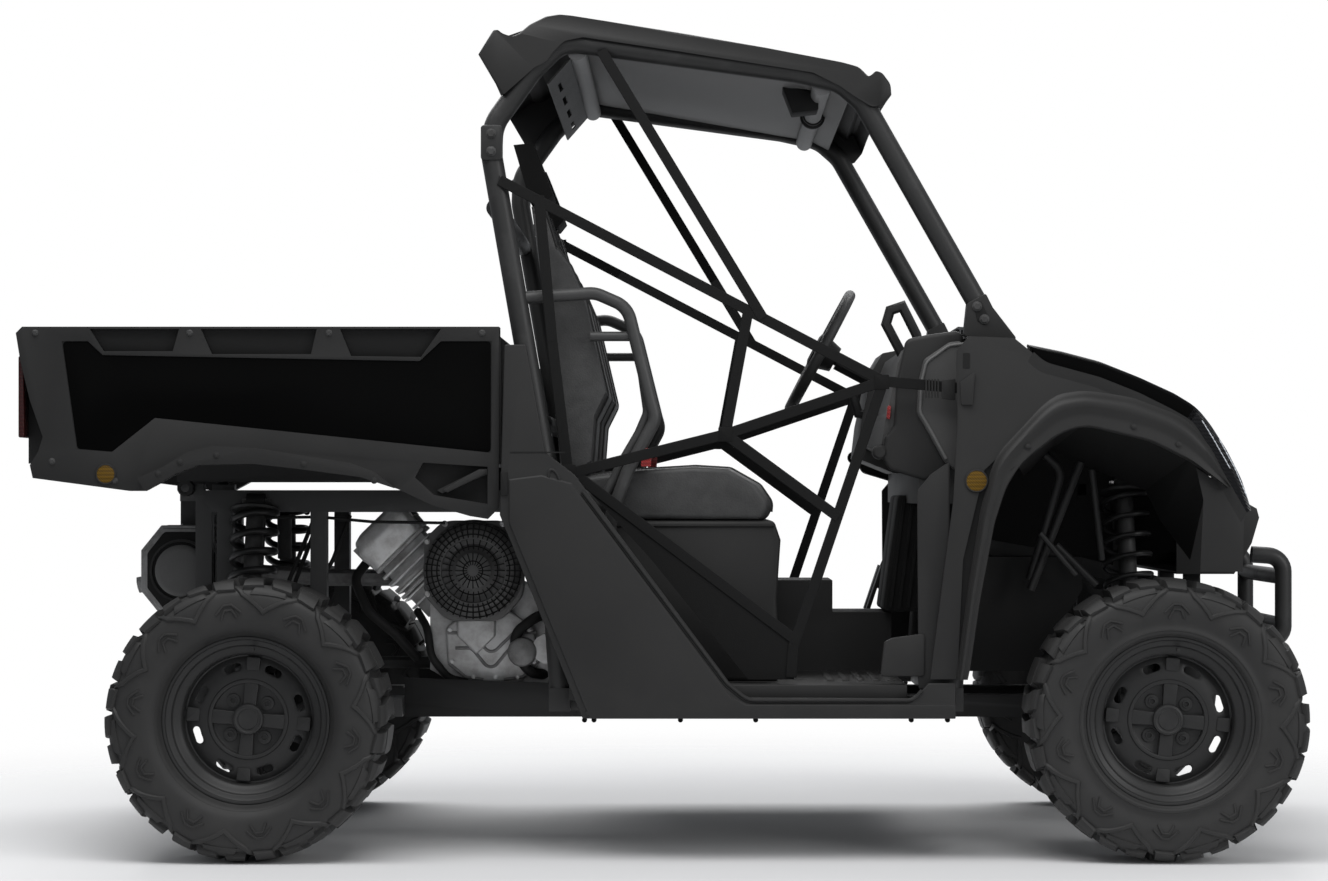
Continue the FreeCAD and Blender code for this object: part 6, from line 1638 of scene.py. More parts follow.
@dataclass
class FrontBody:
    """Fenders with painted shade in their wells, the gloss hood, the fascia, the headlamps and the bumper."""

    out: float = 0.728
    flare: float = 0.7315
    crown: tuple[Point, ...] = ((0.15, 0.977), (0.291, 0.972), (0.369, 0.92), (0.557, 0.869), (0.744, 0.801),
                                (0.838, 0.75), (0.869, 0.711), (0.994, 0.584))

    def build(self) -> list[str]:
        """Builds the front.

        Returns:
            The nodes it stands for.
        """
        fender = refined("fenders", Finishes.BODY, 0.005, segments=3)
        self._paint_well_shade(fender.data)
        refined("hood", Finishes.GLOSS, 0.004, "hood", 3)
        refined("front_fascia", Finishes.BODY, 0.006, segments=3)
        refined("headlamps", Finishes.LAMP, 0.006, segments=3)
        parts = [self._flare(), self._shoulder(), self._lamp_lines(),
                 reflector(Vector((0.7075, -self.out, 0.884)), 0.027)]
        spots = [View.FENDER.at(s, -0.753) for s in ((0.33, 0.695), (0.66, 0.745), (0.8, 0.7))]
        parts.append(Repeats.at_spots(bolt(0.005, 0.002), Finishes.TRIM, spots))
        hoses = (((0.897, 0.947), (0.9375, 0.911), (0.8606, 0.647)), ((0.9808, 0.93), (0.8606, 0.623)),
                 ((0.9207, 0.731), (1.0168, 0.635)), ((1.0048, 0.911), (1.0288, 0.695)), ((0.88, 0.76), (0.965, 0.66)))
        for k, run in enumerate(hoses):
            parts.append(pipe([Vector((x, -0.45 - 0.012 * k, z)) for x, z in run], 0.011 - 0.001 * k, Finishes.FRAME,
                              0.05, 14))
        block = slab([(0.669, 1.112), (0.704, 1.138), (0.698, 1.06), (0.672, 1.06)], -self.out - 0.006,
                     -self.out + 0.004, 0.003)
        notch = slab(box(0.676, 0.692, 1.145, 1.18), -self.out - 0.001, -self.out + 0.004, 0.002)
        parts += [finished(block, Finishes.TRIM, 0.003), finished(notch, Finishes.DARK_AND_SHADE)]
        cover("front_dressing", both_sides(parts), "chassis")
        return ["fenders", "hood", "front_fascia", "headlamps"] + self._bumper()

    def _paint_well_shade(self, mesh: Mesh) -> None:
        """Paints shade into the well: its inward faces take the dark finish."""
        work = bmesh.new()
        work.from_mesh(mesh)
        bmesh.ops.delete(work, geom=[f for f in work.faces if abs(f.calc_center_median().y) > self.flare],
                         context="FACES")
        work.to_mesh(mesh)
        work.free()
        mesh.materials.append(Finishes.DARK_AND_SHADE.material())
        tops = [View.FENDER.at(s, 0.0) for s in self.crown]
        # Painted shade: faces inside the well, below the crown, take the dark finish.
        for face in mesh.polygons:
            x, y, z = face.center
            roof = height_at(tops, x)
            inward = face.normal.y * math.copysign(1, y) < -0.5
            if z < roof - 0.022 and (abs(y) < self.out - 0.004 or inward):
                face.material_index = 1

    def _flare(self) -> Mesh:
        """The rounded band over the wheel arch."""
        inner = View.FENDER.flat(((0.957, 0.589), (0.838, 0.66), (0.713, 0.711), (0.51, 0.75), (0.432, 0.732),
                                  (0.31, 0.655), (0.262, 0.592), (0.226, 0.5), (0.18, 0.3), (0.15, 0.13),
                                  (0.142, 0.1)))
        outer = View.FENDER.flat(((0.965, 0.595), (0.905, 0.69), (0.825, 0.765), (0.66, 0.815), (0.51, 0.832),
                                  (0.425, 0.822), (0.375, 0.79), (0.232, 0.665), (0.188, 0.53), (0.15, 0.34),
                                  (0.118, 0.15), (0.11, 0.1)))
        near, far = self._even(inner, 72), self._even(outer, 72)
        section = ((-0.02, 0.712), (-0.02, 0.748), (0.03, 0.7525), (0.16, 0.7515), (0.3, 0.749), (0.42, 0.749),
                   (0.58, 0.7525), (0.72, 0.753), (0.84, 0.749), (0.93, 0.74), (1.0, 0.7315), (1.08, 0.728),
                   (1.08, 0.724))
        return finished(lofted(self._band(near, far, section), cap=False, loop=False), Finishes.BODY)

    @staticmethod
    def _band(one: Sequence[Point], two: Sequence[Point], section: Sequence[Point]) -> list[list[Vector]]:
        """Rings between two paths of the side view.

        Args:
            one: the path at share 0.
            two: the path at share 1.
            section: each ring's points as (share, how far out).

        Returns:
            The rings.
        """
        return [[Vector((a + (c - a) * t, -y, b + (d - b) * t)) for t, y in section]
                for (a, b), (c, d) in zip(one, two)]

    @staticmethod
    def _even(corners: Sequence[Point], count: int) -> list[Point]:
        """A rounded path cut into even steps.

        Args:
            corners: its corners as (x, z).
            count: how many points it gets.

        Returns:
            The points.
        """
        path = rounded([Vector((x, 0, z)) for x, z in corners], 0.16, 8)
        runs = [0.0]
        for a, b in zip(path, path[1:]):
            runs.append(runs[-1] + (b - a).length)
        out, i = [], 0
        for k in range(count):
            want = runs[-1] * k / (count - 1)
            while i < len(path) - 2 and runs[i + 1] < want:
                i += 1
            spot = path[i].lerp(path[i + 1], min(1.0, (want - runs[i]) / max(1e-9, runs[i + 1] - runs[i])))
            out.append((spot.x, spot.z))
        return out

    def _shoulder(self) -> Mesh:
        """The gloss strip along the top of the side, with the slim lamp at its front."""
        top = ((0.8267, 1.2009), (0.9054, 1.1847), (0.9934, 1.1615), (1.0861, 1.1245), (1.1671, 1.0874),
               (1.2204, 1.055), (1.2528, 1.0133), (1.2898, 0.9554), (1.3246, 0.886), (1.3454, 0.8165))
        low = ((0.8406, 1.1824), (0.8661, 1.1592), (0.9934, 1.1245), (1.0861, 1.0874), (1.1602, 1.0504),
               (1.2088, 1.0226), (1.232, 0.9855), (1.2644, 0.9323), (1.2991, 0.8698), (1.333, 0.811))
        meshes = []
        high, under = self._even(top, 61), self._even(low, 61)
        section = ((1.0, 0.7), (1.0, 0.73), (0.6, 0.731), (0.25, 0.729), (0.06, 0.722), (0.0, 0.712), (0.12, 0.68),
                   (0.7, 0.64))
        for run, finish in ((slice(0, 38), Finishes.GLOSS), (slice(36, 61), Finishes.LAMP)):
            meshes.append(finished(lofted(self._band(high[run], under[run], section)), finish))
        skirt = [[Vector((c, -0.7296, d)), Vector((c - 0.008, -0.7292, d - 0.012)),
                  Vector((c - 0.018, -0.7272, d - 0.03)), Vector((c - 0.018, -0.72, d - 0.03)), Vector((c, -0.72, d))]
                 for c, d in under]
        meshes.append(finished(lofted(skirt), Finishes.BODY))
        return merged(meshes, "shoulder")

    def _lamp_lines(self) -> Mesh:
        """Two light bars in a headlamp."""
        bars = []
        for corners in (((1.229, 1.024), (1.256, 0.98), (1.294, 0.913)),
                        ((1.269, 0.98), (1.306, 0.912), (1.333, 0.848))):
            bars.append(pipe([Vector((x, -self.out - 0.003, z)) for x, z in corners], 0.0012, Finishes.GLOW, 0.2, 8))
        return merged(bars, "lamp_bars")

    @staticmethod
    def _bumper() -> list[str]:
        """The bumper's two bent hoops and the bars between them."""
        parts = []
        for side in Side:
            s = side.value
            path = [Vector((1.3045, s * 0.215, 0.52)), Vector((1.42, s * 0.27, 0.5)), Vector((1.502, s * 0.27, 0.49)),
                    Vector((1.502, s * 0.27, 0.7)), Vector((1.4235, s * 0.27, 0.705))]
            parts.append(pipe(path, 0.0205, Finishes.CAGE, 0.06, 28))
        for z in (0.65, 0.53):
            parts.append(pipe([Vector((1.502, -0.27, z)), Vector((1.502, 0.27, z))], 0.0195, Finishes.CAGE, sides=28))
        return cover("bumper_dressed", parts, "chassis", "front_bumper")


# Cabin


@dataclass
class SidePanels:
    """The sills and B pillar panels with their seams, cap and bolts."""

    out: float = 0.736

    def build(self) -> list[str]:
        """Builds the dressing.

        Returns:
            The node it stands for.
        """
        refined("side_panels", Finishes.BODY, 0.005, segments=3)
        y = -self.out
        parts = []
        for x0, x1, z in ((-0.372, -0.205, 0.8395), (-0.372, -0.245, 0.95)):
            groove = slab(box(x0, x1, z - 0.0016, z + 0.0016), y - 0.0006, y + 0.002)
            parts.append(finished(groove, Finishes.DARK_AND_SHADE))
        oval = [Vector((-0.27 + 0.012 * math.cos(a) - 0.006 * math.sin(a), y, 0.886 + 0.024 * math.sin(a)))
                for a in turns(28)]
        ring = swept(oval, 0.0034, 10, closed=True)
        parts.append(finished(ring, Finishes.TRIM))
        hinge = slab(box(-0.394, -0.378, 0.85, 0.906), y - 0.004, y + 0.012, 0.003)
        parts.append(finished(hinge, Finishes.DARK_AND_SHADE, 0.0015))
        path = [Vector(p)
                for p in ((-0.2035, y, 0.859), (0.1296, y, 0.4164), (0.178, y, 0.377), (0.562, y, 0.377),
                          (0.5805, y, 0.4))]
        parts.append(pipe(path, 0.0045, Finishes.BODY, 0.05, 10))
        kick = slab([(0.486, 0.43), (0.495, 0.5095), (0.5135, 0.519), (0.59, 0.53), (0.59, 0.43)], -0.706, -0.69,
                    0.008)
        parts.append(finished(kick, Finishes.BODY, 0.003))
        post = slab([(0.575, 0.4), (0.572, 0.862), (0.604, 0.9), (0.648, 0.93), (0.648, 0.4)], -0.702, -0.694, 0.006)
        parts.append(finished(post, Finishes.BODY, 0.002))
        parts.append(pipe([p + Vector((-0.004, 0, -0.006)) for p in path], 0.0022, Finishes.DARK_AND_SHADE, 0.05, 8))
        lower = [Vector((x, y - 0.001, 0.347)) for x in (-0.19, 0.01, 0.21, 0.42, 0.59)]
        parts.append(Repeats.at_spots(bolt(0.0065, 0.004), Finishes.TRIM, lower))
        feet = [Vector((x, y + 0.006, 0.331)) for x in (-0.2, -0.178, 0.022, 0.196, 0.556, 0.64)]
        foot = finished(turned([(0.006, -0.006), (0.006, 0.006), (0, 0.006)], 12, Vector()), Finishes.TRIM)
        parts.append(Repeats.at_spots(foot, Finishes.TRIM, feet))
        cover("sill_dressing", both_sides(parts), "chassis")
        return ["side_panels"]


@dataclass
class Nets:
    """Door nets of flat straps, with a dark cloth corner low down and painted light on the far straps."""

    y: float = -0.6556
    width: float = 0.025
    thick: float = 0.0028
    patch: float = 0.017
    # Painted light: far straps below this height take the paler copy.
    painted_light_below: float = 1.45
    runs: tuple[tuple[Point, Point], ...] = (
        ((0.055, 0.757), (0.98, 0.473)), ((0.98, 0.473), (1.205, 0.461)), ((0.218, 0.342), (0.6, 0.398)),
        ((0.6, 0.398), (0.655, 0.573)), ((0.6, 0.398), (0.98, 0.473)), ((0.6, 0.398), (0.872, 0.281)),
        ((0.98, 0.472), (0.762, 0.095)), ((0.218, 0.35), (0.775, 0.105)), ((0.3, 0.94), (0.69, 0.562)),
        ((0.222, 0.338), (0.182, 0.53)), ((0.182, 0.53), (0.15, 0.735)), ((0.764, 0.1), (0.758, 0.055)))

    def build(self) -> list[str]:
        """Builds the nets.

        Returns:
            The node they stand for.
        """
        parts = [coated(self._strap(a, b, i), Finishes.WEB) for i, (a, b) in enumerate(self.runs)]
        cloth = slab(View.CAB.flat(((0.27, 0.318), (0.775, 0.106), (0.765, 0.052), (0.655, 0.052), (0.42, 0.222))),
                     self.y + 0.002, self.y + 0.0004)
        parts.append(finished(cloth, Finishes.CLOTH))
        for share in ((0.6, 0.398), (0.977, 0.472), (0.222, 0.345)):
            spot = View.CAB.at(share, self.y - self.thick)
            patch = slab([(spot.x + a * self.patch, spot.z + b * self.patch)
                          for a, b in ((-1, -1), (1, -1), (1, 1), (-1, 1))], spot.y - 0.0012, spot.y + 0.0004, 0.003)
            parts.append(finished(patch, Finishes.CLOTH, 0.0006))
        for k in range(5):
            rib = slab(box(0.594 + 0.007 * k, 0.598 + 0.007 * k, 1.078, 1.122), self.y - 0.006, self.y, 0.001)
            parts.append(finished(rib, Finishes.TRIM))
        clasp = slab([(0.632, 1.076), (0.664, 1.072), (0.664, 1.124), (0.632, 1.12)], self.y - 0.006, self.y + 0.002,
                     0.003)
        parts.append(finished(clasp, Finishes.TRIM, 0.002))
        nodes = cover("door_nets", both_sides(parts), "chassis", "side_nets")
        # Painted light on the far straps.
        self._paint_far_light(bpy.data.objects["door_nets"].data)
        return nodes

    def _paint_far_light(self, mesh: Mesh) -> None:
        """Paints light onto the far side's straps below the roof: they take a paler copy of the strap finish, standing
        in for light on their shaded inner side.
        """
        web = mesh.materials.find(Finishes.WEB.name)
        mesh.materials.append(Finishes.FAR_WEB_PAINTED_LIGHT.material())
        for face in mesh.polygons:
            if face.center.y > 0 and face.center.z < self.painted_light_below and face.material_index == web:
                face.material_index = len(mesh.materials) - 1

    def _strap(self, a: Point, b: Point, index: int) -> Mesh:
        """One flat strap, crowned a little, with a map along its run.

        Args:
            a: where it starts.
            b: where it ends.
            index: its place in the list; straps lie over each other by turns.

        Returns:
            The mesh.
        """
        start, end = View.CAB.at(a, self.y), View.CAB.at(b, self.y)
        along = (end - start).normalized()
        off = Vector((along.z, 0, -along.x)) * (self.width / 2)
        depth = -0.0004 * (index % 3)
        work = bmesh.new()
        layer = work.loops.layers.uv.new("UVMap")
        section = [(-1.0, 0.0), (-1.0, -0.55), (-0.9, -0.9), (0.0, -1.0), (0.9, -0.9), (1.0, -0.55), (1.0, 0.0)]
        steps = max(2, int((end - start).length / 0.04))
        rows = []
        for k in range(steps + 1):
            here = start.lerp(end, k / steps)
            sag = Vector((0, depth + 0.0006 * math.sin(math.pi * k / steps), 0))
            rows.append([work.verts.new(here + off * s + Vector((0, self.thick * d, 0)) + sag) for s, d in section])
        length = (end - start).length
        for k, (one, two) in enumerate(zip(rows, rows[1:])):
            for i in range(len(section)):
                j = (i + 1) % len(section)
                face = work.faces.new((one[i], one[j], two[j], two[i]))
                for loop, (u, v) in zip(face.loops, ((k, i), (k, j), (k + 1, j), (k + 1, i))):
                    loop[layer].uv = (length * u / steps, section[v][0] * self.width / 2)
        for row in (rows[0], rows[-1]):
            work.faces.new(row)
        bmesh.ops.recalc_face_normals(work, faces=work.faces)
        return plain(work)


@dataclass
class Seats:
    """Seats: padded cushions and backs with piping, their base and the hip bars."""

    inner: float = 0.14
    outer: float = 0.556
    head: float = 1.43
    cushion: tuple[Point, ...] = ((0.223, 0.337), (0.284, 0.342), (0.382, 0.349), (0.528, 0.354), (0.614, 0.351),
                                  (0.687, 0.327), (0.716, 0.302), (0.714, 0.288))
    back: tuple[Point, ...] = ((0.157, 0.727), (0.187, 0.67), (0.223, 0.641), (0.26, 0.591), (0.314, 0.455),
                               (0.284, 0.42), (0.275, 0.35))

    def build(self) -> list[str]:
        """Builds the seats.

        Returns:
            The nodes they stand for.
        """
        for node, fill in (("seat_cushions", 0.75), ("seat_backs", 0.8)):
            seat = refined(node, Finishes.SEAT, 0.018, segments=4)
            seat.data.materials.append(Finishes.CLOTH.material())
            # Faces above this height take the dark cloth finish, so the seat tops are darker.
            for face in seat.data.polygons:
                if face.center.z > self.head:
                    face.material_index = 1
        refined("seat_base", Finishes.TRIM, 0.01, segments=3)
        parts = []
        for shares in (self.cushion, self.back):
            for y in (self.inner + 0.04, self.outer - 0.04):
                parts.append(pipe([View.CAB.at(s, -y) for s in shares], 0.0032, Finishes.TRIM, 0.03, 8))
        groove = [View.CAB.at((0.262, 0.268), -self.outer - 0.001), View.CAB.at((0.72, 0.268), -self.outer - 0.001)]
        parts.append(pipe(groove, 0.003, Finishes.DARK_AND_SHADE, sides=8))
        cover("seat_piping", both_sides(parts), "chassis")
        return ["seat_cushions", "seat_backs", "seat_base"] + self._hip_bars()

    def _hip_bars(self) -> list[str]:
        """The bent bars beside the seats."""
        at = View.CAB.at
        shares = ((0.095, 0.591), (0.284, 0.6), (0.362, 0.58), (0.421, 0.441), (0.431, 0.42), (0.362, 0.345),
                  (0.32, 0.28))
        path = [at(s, -0.59) for s in shares]
        path[0] = at(shares[0], -0.63)
        path.append(Vector((path[-1].x, -0.541, path[-1].z - 0.045)))
        outer = pipe(path, 0.015, Finishes.HIP, 0.06, 24)
        inner = [at(s, -0.58) for s in ((0.272, 0.5385), (0.378, 0.5385))]
        low = [at(s, -0.572) for s in ((0.395, 0.5), (0.412, 0.43), (0.39, 0.4), (0.345, 0.355), (0.3, 0.3))]
        parts = [outer, pipe(inner, 0.0115, Finishes.HIP, sides=20), pipe(low, 0.0115, Finishes.HIP, 0.04, 20)]
        buckle = slab([(-0.072, 0.918), (-0.048, 0.918), (-0.046, 0.962), (-0.07, 0.962)], -0.6, -0.586, 0.003)
        parts.append(finished(buckle, Finishes.RED, 0.002))
        return cover("hip_bars_dressed", both_sides(parts), "chassis", "hip_bars")


@dataclass
class Dash:
    """The dash's rounded covers, its switches and the dark shroud under it."""

    near: float = 0.596

    def build(self) -> list[str]:
        """Builds the dash's dressing.

        Returns:
            The nodes it stands for.
        """
        refined("dash", Finishes.PALE, 0.01, segments=3)
        y = -self.near
        pod = ((0.552, 1.218), (0.606, 1.229), (0.687, 1.24), (0.687, 0.93), (0.6, 0.884), (0.514, 0.91),
               (0.494, 0.94), (0.502, 0.988), (0.524, 1.014), (0.53, 1.115))
        panel = ((0.593, 1.17), (0.62, 1.188), (0.652, 1.21), (0.69, 1.214), (0.69, 0.89), (0.64, 0.93),
                 (0.606, 0.992), (0.576, 1.044), (0.58, 1.116))
        parts = [finished(slab(pod, y - 0.02, y + 0.01, 0.02, 6), Finishes.TRIM, 0.01, 4),
                 finished(slab(panel, y - 0.034, y - 0.01, 0.02, 6), Finishes.PALE, 0.006, 4)]
        edge = [Vector((x, y - 0.034, z))
                for x, z in ((0.686, 1.206), (0.652, 1.202), (0.622, 1.18), (0.599, 1.164), (0.588, 1.116),
                             (0.584, 1.046), (0.613, 0.996), (0.645, 0.936))]
        parts.append(pipe(edge, 0.0035, Finishes.CAP, 0.03, 10))
        pocket = slab(box(0.604, 0.648, 0.816, 0.906), y + 0.01, y + 0.06, 0.003)
        parts.append(finished(pocket, Finishes.TRIM, 0.002))
        parts.append(finished(slab(box(0.613, 0.639, 0.834, 0.898), y + 0.0095, y + 0.012), Finishes.DARK_AND_SHADE))
        knob = turned([(0.017, 0.02), (0.017, -0.02), (0.012, -0.026), (0, -0.027)], 20, Vector((0.49, y, 0.952)))
        parts.append(finished(knob, Finishes.TRIM))
        switch = slab([(0.506, 1.03), (0.515, 1.03), (0.518, 1.062), (0.509, 1.062)], y - 0.012, y + 0.01, 0.003)
        parts.append(finished(switch, Finishes.RED, 0.003))
        shroud = slab([(0.525, 0.56), (0.563, 0.85), (0.735, 0.85), (0.735, 0.56)], -0.15, 0.0, 0.01)
        parts.append(finished(shroud, Finishes.DARK_AND_SHADE, 0.004))
        for k in range(7):
            x = 0.54 + 0.022 * k
            slat = slab([(x, 0.57), (x + 0.007, 0.57), (x + 0.041, 0.84), (x + 0.034, 0.84)], -0.156, -0.149)
            parts.append(finished(slat, Finishes.DARK_AND_SHADE))
        cover("dash_dressing", both_sides(parts), "chassis")
        return ["dash"]


@dataclass
class Steering:
    """The steering wheel: a padded ring, three spokes and a hub pad."""

    hub: tuple[float, float, float] = (0.387, 0.33, 1.229)
    tilt: float = 28.0
    radius: float = 0.168

    def build(self) -> list[str]:
        """Builds the wheel.

        Returns:
            The node it stands for.
        """
        lean = math.radians(self.tilt)
        column = Vector((math.cos(lean), 0, -math.sin(lean)))
        upward, across, hub = Vector((math.sin(lean), 0, math.cos(lean))), Vector((0, 1, 0)), Vector(self.hub)
        ring = circle(hub, across, upward, self.radius, 64)
        parts = [finished(swept(ring, 0.0145, 18, closed=True), Finishes.SEAT)]
        for turn in (-12.0, 192.0, 270.0):
            out = across * math.cos(math.radians(turn)) + upward * math.sin(math.radians(turn))
            over = column.cross(out)
            corners = []
            for reach, half, deep in ((0.03, 0.02, 0.01), (0.09, 0.014, 0.006), (self.radius - 0.006, 0.018, 0.0)):
                middle = hub + out * reach + column * deep
                corners.append([middle + over * half - column * 0.006, middle + over * half + column * 0.006,
                                middle - over * half + column * 0.006, middle - over * half - column * 0.006])
            parts.append(finished(lofted(corners), Finishes.TRIM, 0.003))
        pad = [hub + column * 0.046, hub + column * 0.01, hub - column * 0.004, hub - column * 0.016,
               hub - column * 0.02]
        rings = [circle(c, across, upward, r, 32) for c, r in zip(pad, (0.034, 0.044, 0.05, 0.046, 0.034))]
        parts.append(finished(lofted(rings), Finishes.TRIM))
        return cover("steering_wheel_dressed", parts, "steering_wheel", "steering_wheel")


# Running gear


@dataclass
class Shocks:
    """Spring and damper units: round coiled wire, perches, rods and eyes."""

    damper: float = 0.022
    perch_thick: float = 0.008
    perch: tuple[Point, ...] = ((0.03, -0.4), (0.058, -0.3), (0.061, 0.2), (0.058, 0.9), (0.03, 1.2))

    def build(self) -> list[str]:
        """Builds the four units.

        Returns:
            The node they stand for.
        """
        units = ((Vector((1.107, -0.28, 0.88)), Vector((1.12, -0.43, 0.282)), 0.25, 5.0, 0.0066, 0.056),
                 (Vector((-1.019, -0.3, 0.836)), Vector((-1.028, -0.432, 0.318)), 0.22, 4.6, 0.0088, 0.052))
        parts: list[Mesh] = []
        for top, bottom, length, turns, wire, mean in units:
            parts += self._unit(top, bottom, length, turns, wire, mean)
        return cover("shock_units", both_sides(parts), "chassis", "shocks")

    def _unit(self, top: Vector, bottom: Vector, length: float, turns: float, wire: float, mean: float) -> list[Mesh]:
        """One unit.

        Args:
            top: its upper eye.
            bottom: its lower eye.
            length: the spring's length.
            turns: how many turns it has.
            wire: the wire's radius.
            mean: the coil's mean radius.

        Returns:
            Its finished meshes.
        """
        along = (bottom - top).normalized()
        one = along.cross(Vector((0, 1, 0))).normalized()
        two = along.cross(one)
        start = top + along * 0.03
        steps = int(turns * 30)
        path = []
        for k in range(steps + 1):
            t = 2 * math.pi * turns * k / steps
            path.append(start + along * (length * k / steps) + (one * math.cos(t) + two * math.sin(t)) * mean)
        parts = [finished(swept(path, wire, 12), Finishes.SPRING)]
        for spot in (start - along * 0.01, start + along * (length + 0.004)):
            rings = [circle(spot + along * (d * self.perch_thick), one, two, r, 36) for r, d in self.perch]
            parts.append(finished(lofted(rings), Finishes.FRAME))
        parts.append(pipe([top + along * 0.012, top + along * ((bottom - top).length * 0.62)], self.damper,
                          Finishes.DARK_METAL, sides=28))
        parts.append(pipe([top, bottom], 0.009, Finishes.DARK_METAL, sides=20))
        base = bottom - along * 0.115
        parts.append(pipe([base, bottom], 0.026, Finishes.FRAME, sides=28))
        across = Vector((1, 0, 0))
        for eye in (top, bottom):
            parts.append(pipe([eye - across * 0.022, eye + across * 0.022], 0.019, Finishes.FRAME, sides=24))
            parts.append(pipe([eye - across * 0.034, eye + across * 0.034], 0.007, Finishes.SHINY, sides=6))
        can = top + along * 0.035 + Vector((0.0, 0.06, 0.0))
        parts.append(pipe([can, can + along * 0.12], 0.019, Finishes.DARK_METAL, sides=24))
        return parts


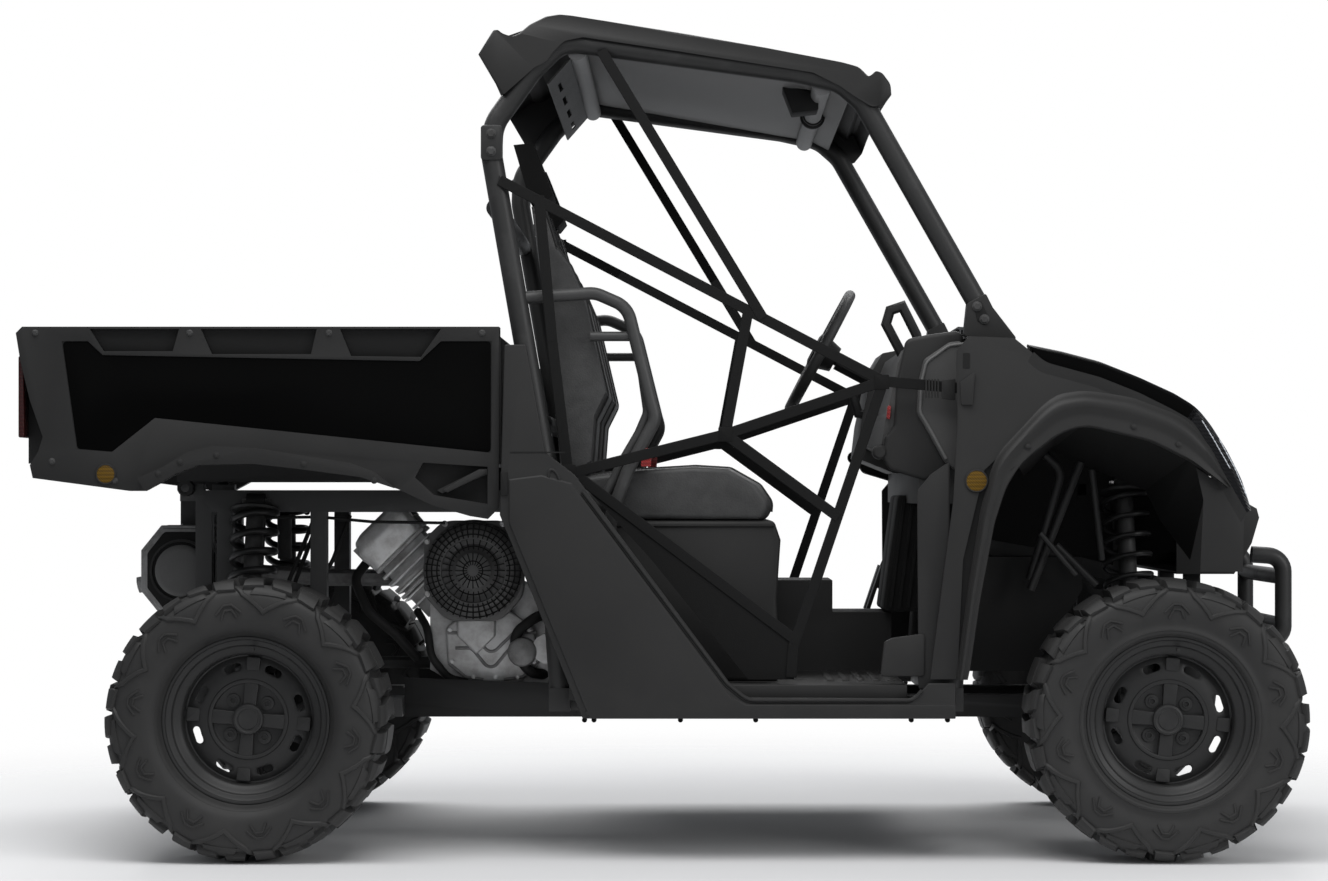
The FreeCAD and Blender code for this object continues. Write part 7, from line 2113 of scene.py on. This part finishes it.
@dataclass
class Powertrain:
    """The bright engine, its ribbed transmission cover and the eight sided silencer."""

    hub: tuple[float, float, float] = (-0.492, -0.15, 0.664)

    def build(self) -> list[str]:
        """Builds the engine's dressing.

        Returns:
            The nodes it stands for.
        """
        refined("engine", Finishes.ENGINE_PAINTED_SHADE, 0.005, segments=3)
        refined("exhaust", Finishes.STEEL, 0.006, segments=3)
        cover("engine_dressing", self._engine_parts(), "chassis")
        cover("silencer_ends", both_sides(self._silencer()), "chassis")
        return ["engine", "exhaust"] + self._cover()

    def _cover(self) -> list[str]:
        """The transmission cover: a dished round with rings and ribs on an eight sided flange."""
        hub = Vector(self.hub)
        profile = [(0.124, 0.0), (0.126, -0.05), (0.121, -0.064), (0.11, -0.074), (0.096, -0.08), (0.08, -0.08),
                   (0.078, -0.066), (0.066, -0.062), (0.052, -0.07), (0.044, -0.086), (0.034, -0.09), (0.0, -0.091)]
        body = turned(profile, 72, hub)
        rings = [turned([(r - 0.0016, y), (r - 0.0012, y - 0.003), (r + 0.0012, y - 0.003), (r + 0.0016, y)], 72, hub)
                 for r, y in ((0.116, -0.069), (0.103, -0.0775), (0.09, -0.08), (0.06, -0.0655), (0.024, -0.09))]
        shell = merged([finished(body, Finishes.RIBBED), finished(joined(rings), Finishes.DARK_AND_SHADE)], "shell")
        rib = plain(slab(box(-0.0013, 0.0013, 0.082, 0.12), -0.086, -0.062))
        short = plain(slab(box(-0.0011, 0.0011, 0.014, 0.044), -0.0925, -0.08))
        inner = plain(slab(box(-0.0011, 0.0011, 0.05, 0.078), -0.07, -0.06))
        parts = [shell]
        for mesh, count in ((rib, 44), (short, 20), (inner, 28)):
            parts.append(moved(Repeats.around(mesh, Finishes.DARK_AND_SHADE, count), hub))
        corners = ((1, 0.62), (0.62, 1), (-0.62, 1), (-1, 0.62), (-1, -0.5), (-0.55, -1.02), (0.55, -1.02), (1, -0.5))
        flange = slab([(hub.x + 0.1235 * a, hub.z + 0.1235 * b) for a, b in corners], -0.206, -0.1503, 0.06, 8)
        parts.append(finished(flange, Finishes.RIBBED, 0.005, 3))
        tab = [hub + Vector((0.116 * a, -0.058, 0.116 * b)) for a, b in corners[:5]]
        parts.append(Repeats.at_spots(bolt(0.006, 0.005), Finishes.SHINY, tab))
        return cover("transmission_cover", parts, "chassis", "cvt_cover")

    def _engine_parts(self) -> list[Mesh]:
        """Covers, fins, bolts and hoses on the engine."""
        # The case pieces take the darker casting: painted shade.
        metal, rubber = Finishes.ENGINE_PAINTED_SHADE, Finishes.TRIM
        parts = []
        foot, top = Vector((-0.5664, 0, 0.59)), Vector((-0.742, 0, 0.77))
        run = (top - foot).normalized()
        over = Vector((run.z, 0, -run.x))
        head = []
        for reach, wide, deep in ((0.175, 0.082, 0.104), (0.232, 0.086, 0.108), (0.262, 0.072, 0.092),
                                  (0.27, 0.05, 0.07)):
            c = foot + run * reach
            head.append([c + over * (wide * a) + Vector((0, deep * b, 0)) for a, b in
                         ((-1, -0.8), (-0.8, -1), (0.8, -1), (1, -0.8), (1, 0.8), (0.8, 1), (-0.8, 1), (-1, 0.8))])
        parts.append(finished(lofted(head), Finishes.HEAD, 0.006, 3))
        for reach in (0.04, 0.066, 0.092, 0.118, 0.144):
            c = foot + run * reach
            fin = [c + over * (0.08 * a) + Vector((0, -0.098 * b, 0)) for a, b in ((-1, 1), (1, 1), (1, -1), (-1, -1))]
            parts.append(finished(lofted([fin, [p + run * 0.005 for p in fin]]), Finishes.HEAD, 0.0015))
        case = ((-0.565, 0.52), (-0.5, 0.575), (-0.42, 0.575), (-0.345, 0.52), (-0.33, 0.43), (-0.38, 0.385),
                (-0.5, 0.385), (-0.56, 0.43))
        low = slab(case, -0.172, -0.15, 0.02, 5)
        parts.append(finished(low, metal, 0.007, 3))
        facet = [(-0.535, 0.56), (-0.44, 0.56), (-0.44, 0.5), (-0.487, 0.455), (-0.535, 0.5)]
        parts.append(finished(slab(facet, -0.19, -0.168, 0.006), metal, 0.008, 3))
        seams = (((-0.56, 0.508), (-0.498, 0.508), (-0.452, 0.452), (-0.395, 0.508), (-0.338, 0.508)),
                 ((-0.54, 0.47), (-0.5, 0.47), (-0.452, 0.412), (-0.404, 0.47), (-0.36, 0.47)),
                 ((-0.556, 0.432), (-0.515, 0.398), (-0.47, 0.392)),
                 ((-0.336, 0.436), (-0.372, 0.398), (-0.42, 0.392)))
        for seam in seams:
            parts.append(pipe([Vector((x, -0.172, z)) for x, z in seam], 0.0042, Finishes.STEEL, 0.02, 10))
        edge = [Vector((x, -0.172, z)) for x, z in ((-0.553, 0.515), (-0.495, 0.563), (-0.42, 0.563), (-0.357, 0.515),
                                                    (-0.345, 0.435), (-0.385, 0.398), (-0.44, 0.398), (-0.495, 0.398),
                                                    (-0.548, 0.436))]
        parts.append(Repeats.at_spots(bolt(0.0055, 0.006), Finishes.SHINY, edge))
        can = turned([(0.036, 0.0), (0.037, -0.035), (0.034, -0.05), (0.026, -0.056), (0, -0.057)], 32,
                     Vector((-0.372, -0.168, 0.462)))
        parts.append(finished(can, Finishes.STEEL))
        hoses = (((-0.3, -0.12, 0.56), (-0.345, -0.19, 0.545), (-0.4, -0.2, 0.5), (-0.36, -0.19, 0.41),
                  (-0.3, -0.12, 0.4)),
                 ((-0.64, -0.11, 0.56), (-0.61, -0.17, 0.52), (-0.6, -0.18, 0.45), (-0.56, -0.16, 0.395),
                  (-0.48, -0.16, 0.375)),
                 ((-0.76, -0.02, 0.7), (-0.8, -0.1, 0.64), (-0.76, -0.14, 0.56), (-0.69, -0.13, 0.5),
                  (-0.64, -0.1, 0.44)))
        for k, points in enumerate(hoses):
            parts.append(pipe([Vector(p) for p in points], (0.013, 0.01, 0.012)[k], rubber, 0.05, 16))
        lines = (((-0.88, -0.245, 0.8), (-0.945, -0.245, 0.64), (-0.98, -0.22, 0.52)),
                 ((-0.868, -0.235, 0.8), (-0.93, -0.235, 0.64), (-0.96, -0.21, 0.52)),
                 ((-0.81, -0.1, 0.8), (-0.85, -0.12, 0.69), (-0.9, -0.12, 0.6)),
                 ((-1.0, -0.262, 0.795), (-0.87, -0.255, 0.797), (-0.74, -0.25, 0.785), (-0.56, -0.24, 0.782)))
        for k, points in enumerate(lines):
            parts.append(pipe([Vector(p) for p in points], 0.0055 if k < 3 else 0.004, rubber, 0.03, 10))
        return parts

    def _silencer(self) -> list[Mesh]:
        """An end face: an eight sided recess and a pale round cap."""
        corners = ((1, 0.45), (0.5, 1), (-0.5, 1), (-1, 0.45), (-1, -0.45), (-0.5, -1), (0.5, -1), (1, -0.45))
        recess = slab([(-1.213 + 0.084 * a, 0.664 + 0.096 * b) for a, b in corners], -0.2312, -0.228, 0.012)
        spot = Vector((-1.213, -0.231, 0.664))
        cap = turned([(0.064, 0.0), (0.064, -0.006), (0.061, -0.009), (0.05, -0.011), (0, -0.013)], 56, spot)
        ring = turned([(0.078, 0.0), (0.078, -0.004), (0.072, -0.004), (0.071, 0.0)], 56, spot)
        return [finished(recess, Finishes.DARK_AND_SHADE, 0.001), finished(cap, Finishes.CAP), finished(ring, Finishes.TRIM)]


ASSEMBLIES = (
    Wheel("front", 1.152, 0.115, 3.0),
    Wheel("rear", -0.983, 0.14, -8.0),
    Cage(),
    RoofShell(),
    CargoBed(),
    FrontBody(),
    SidePanels(),
    Nets(),
    Seats(),
    Dash(),
    Steering(),
    Shocks(),
    Powertrain(),
    Coats(),
)


def main() -> None:
    """Builds the studio and dresses every part of the vehicle."""
    logging.basicConfig(level=logging.INFO, format="%(message)s")
    Studio().build()
    for part in ASSEMBLIES:
        LOG.info("%s: %d nodes", type(part).__name__, len(part.build()))


if __name__ == "__main__":
    main()
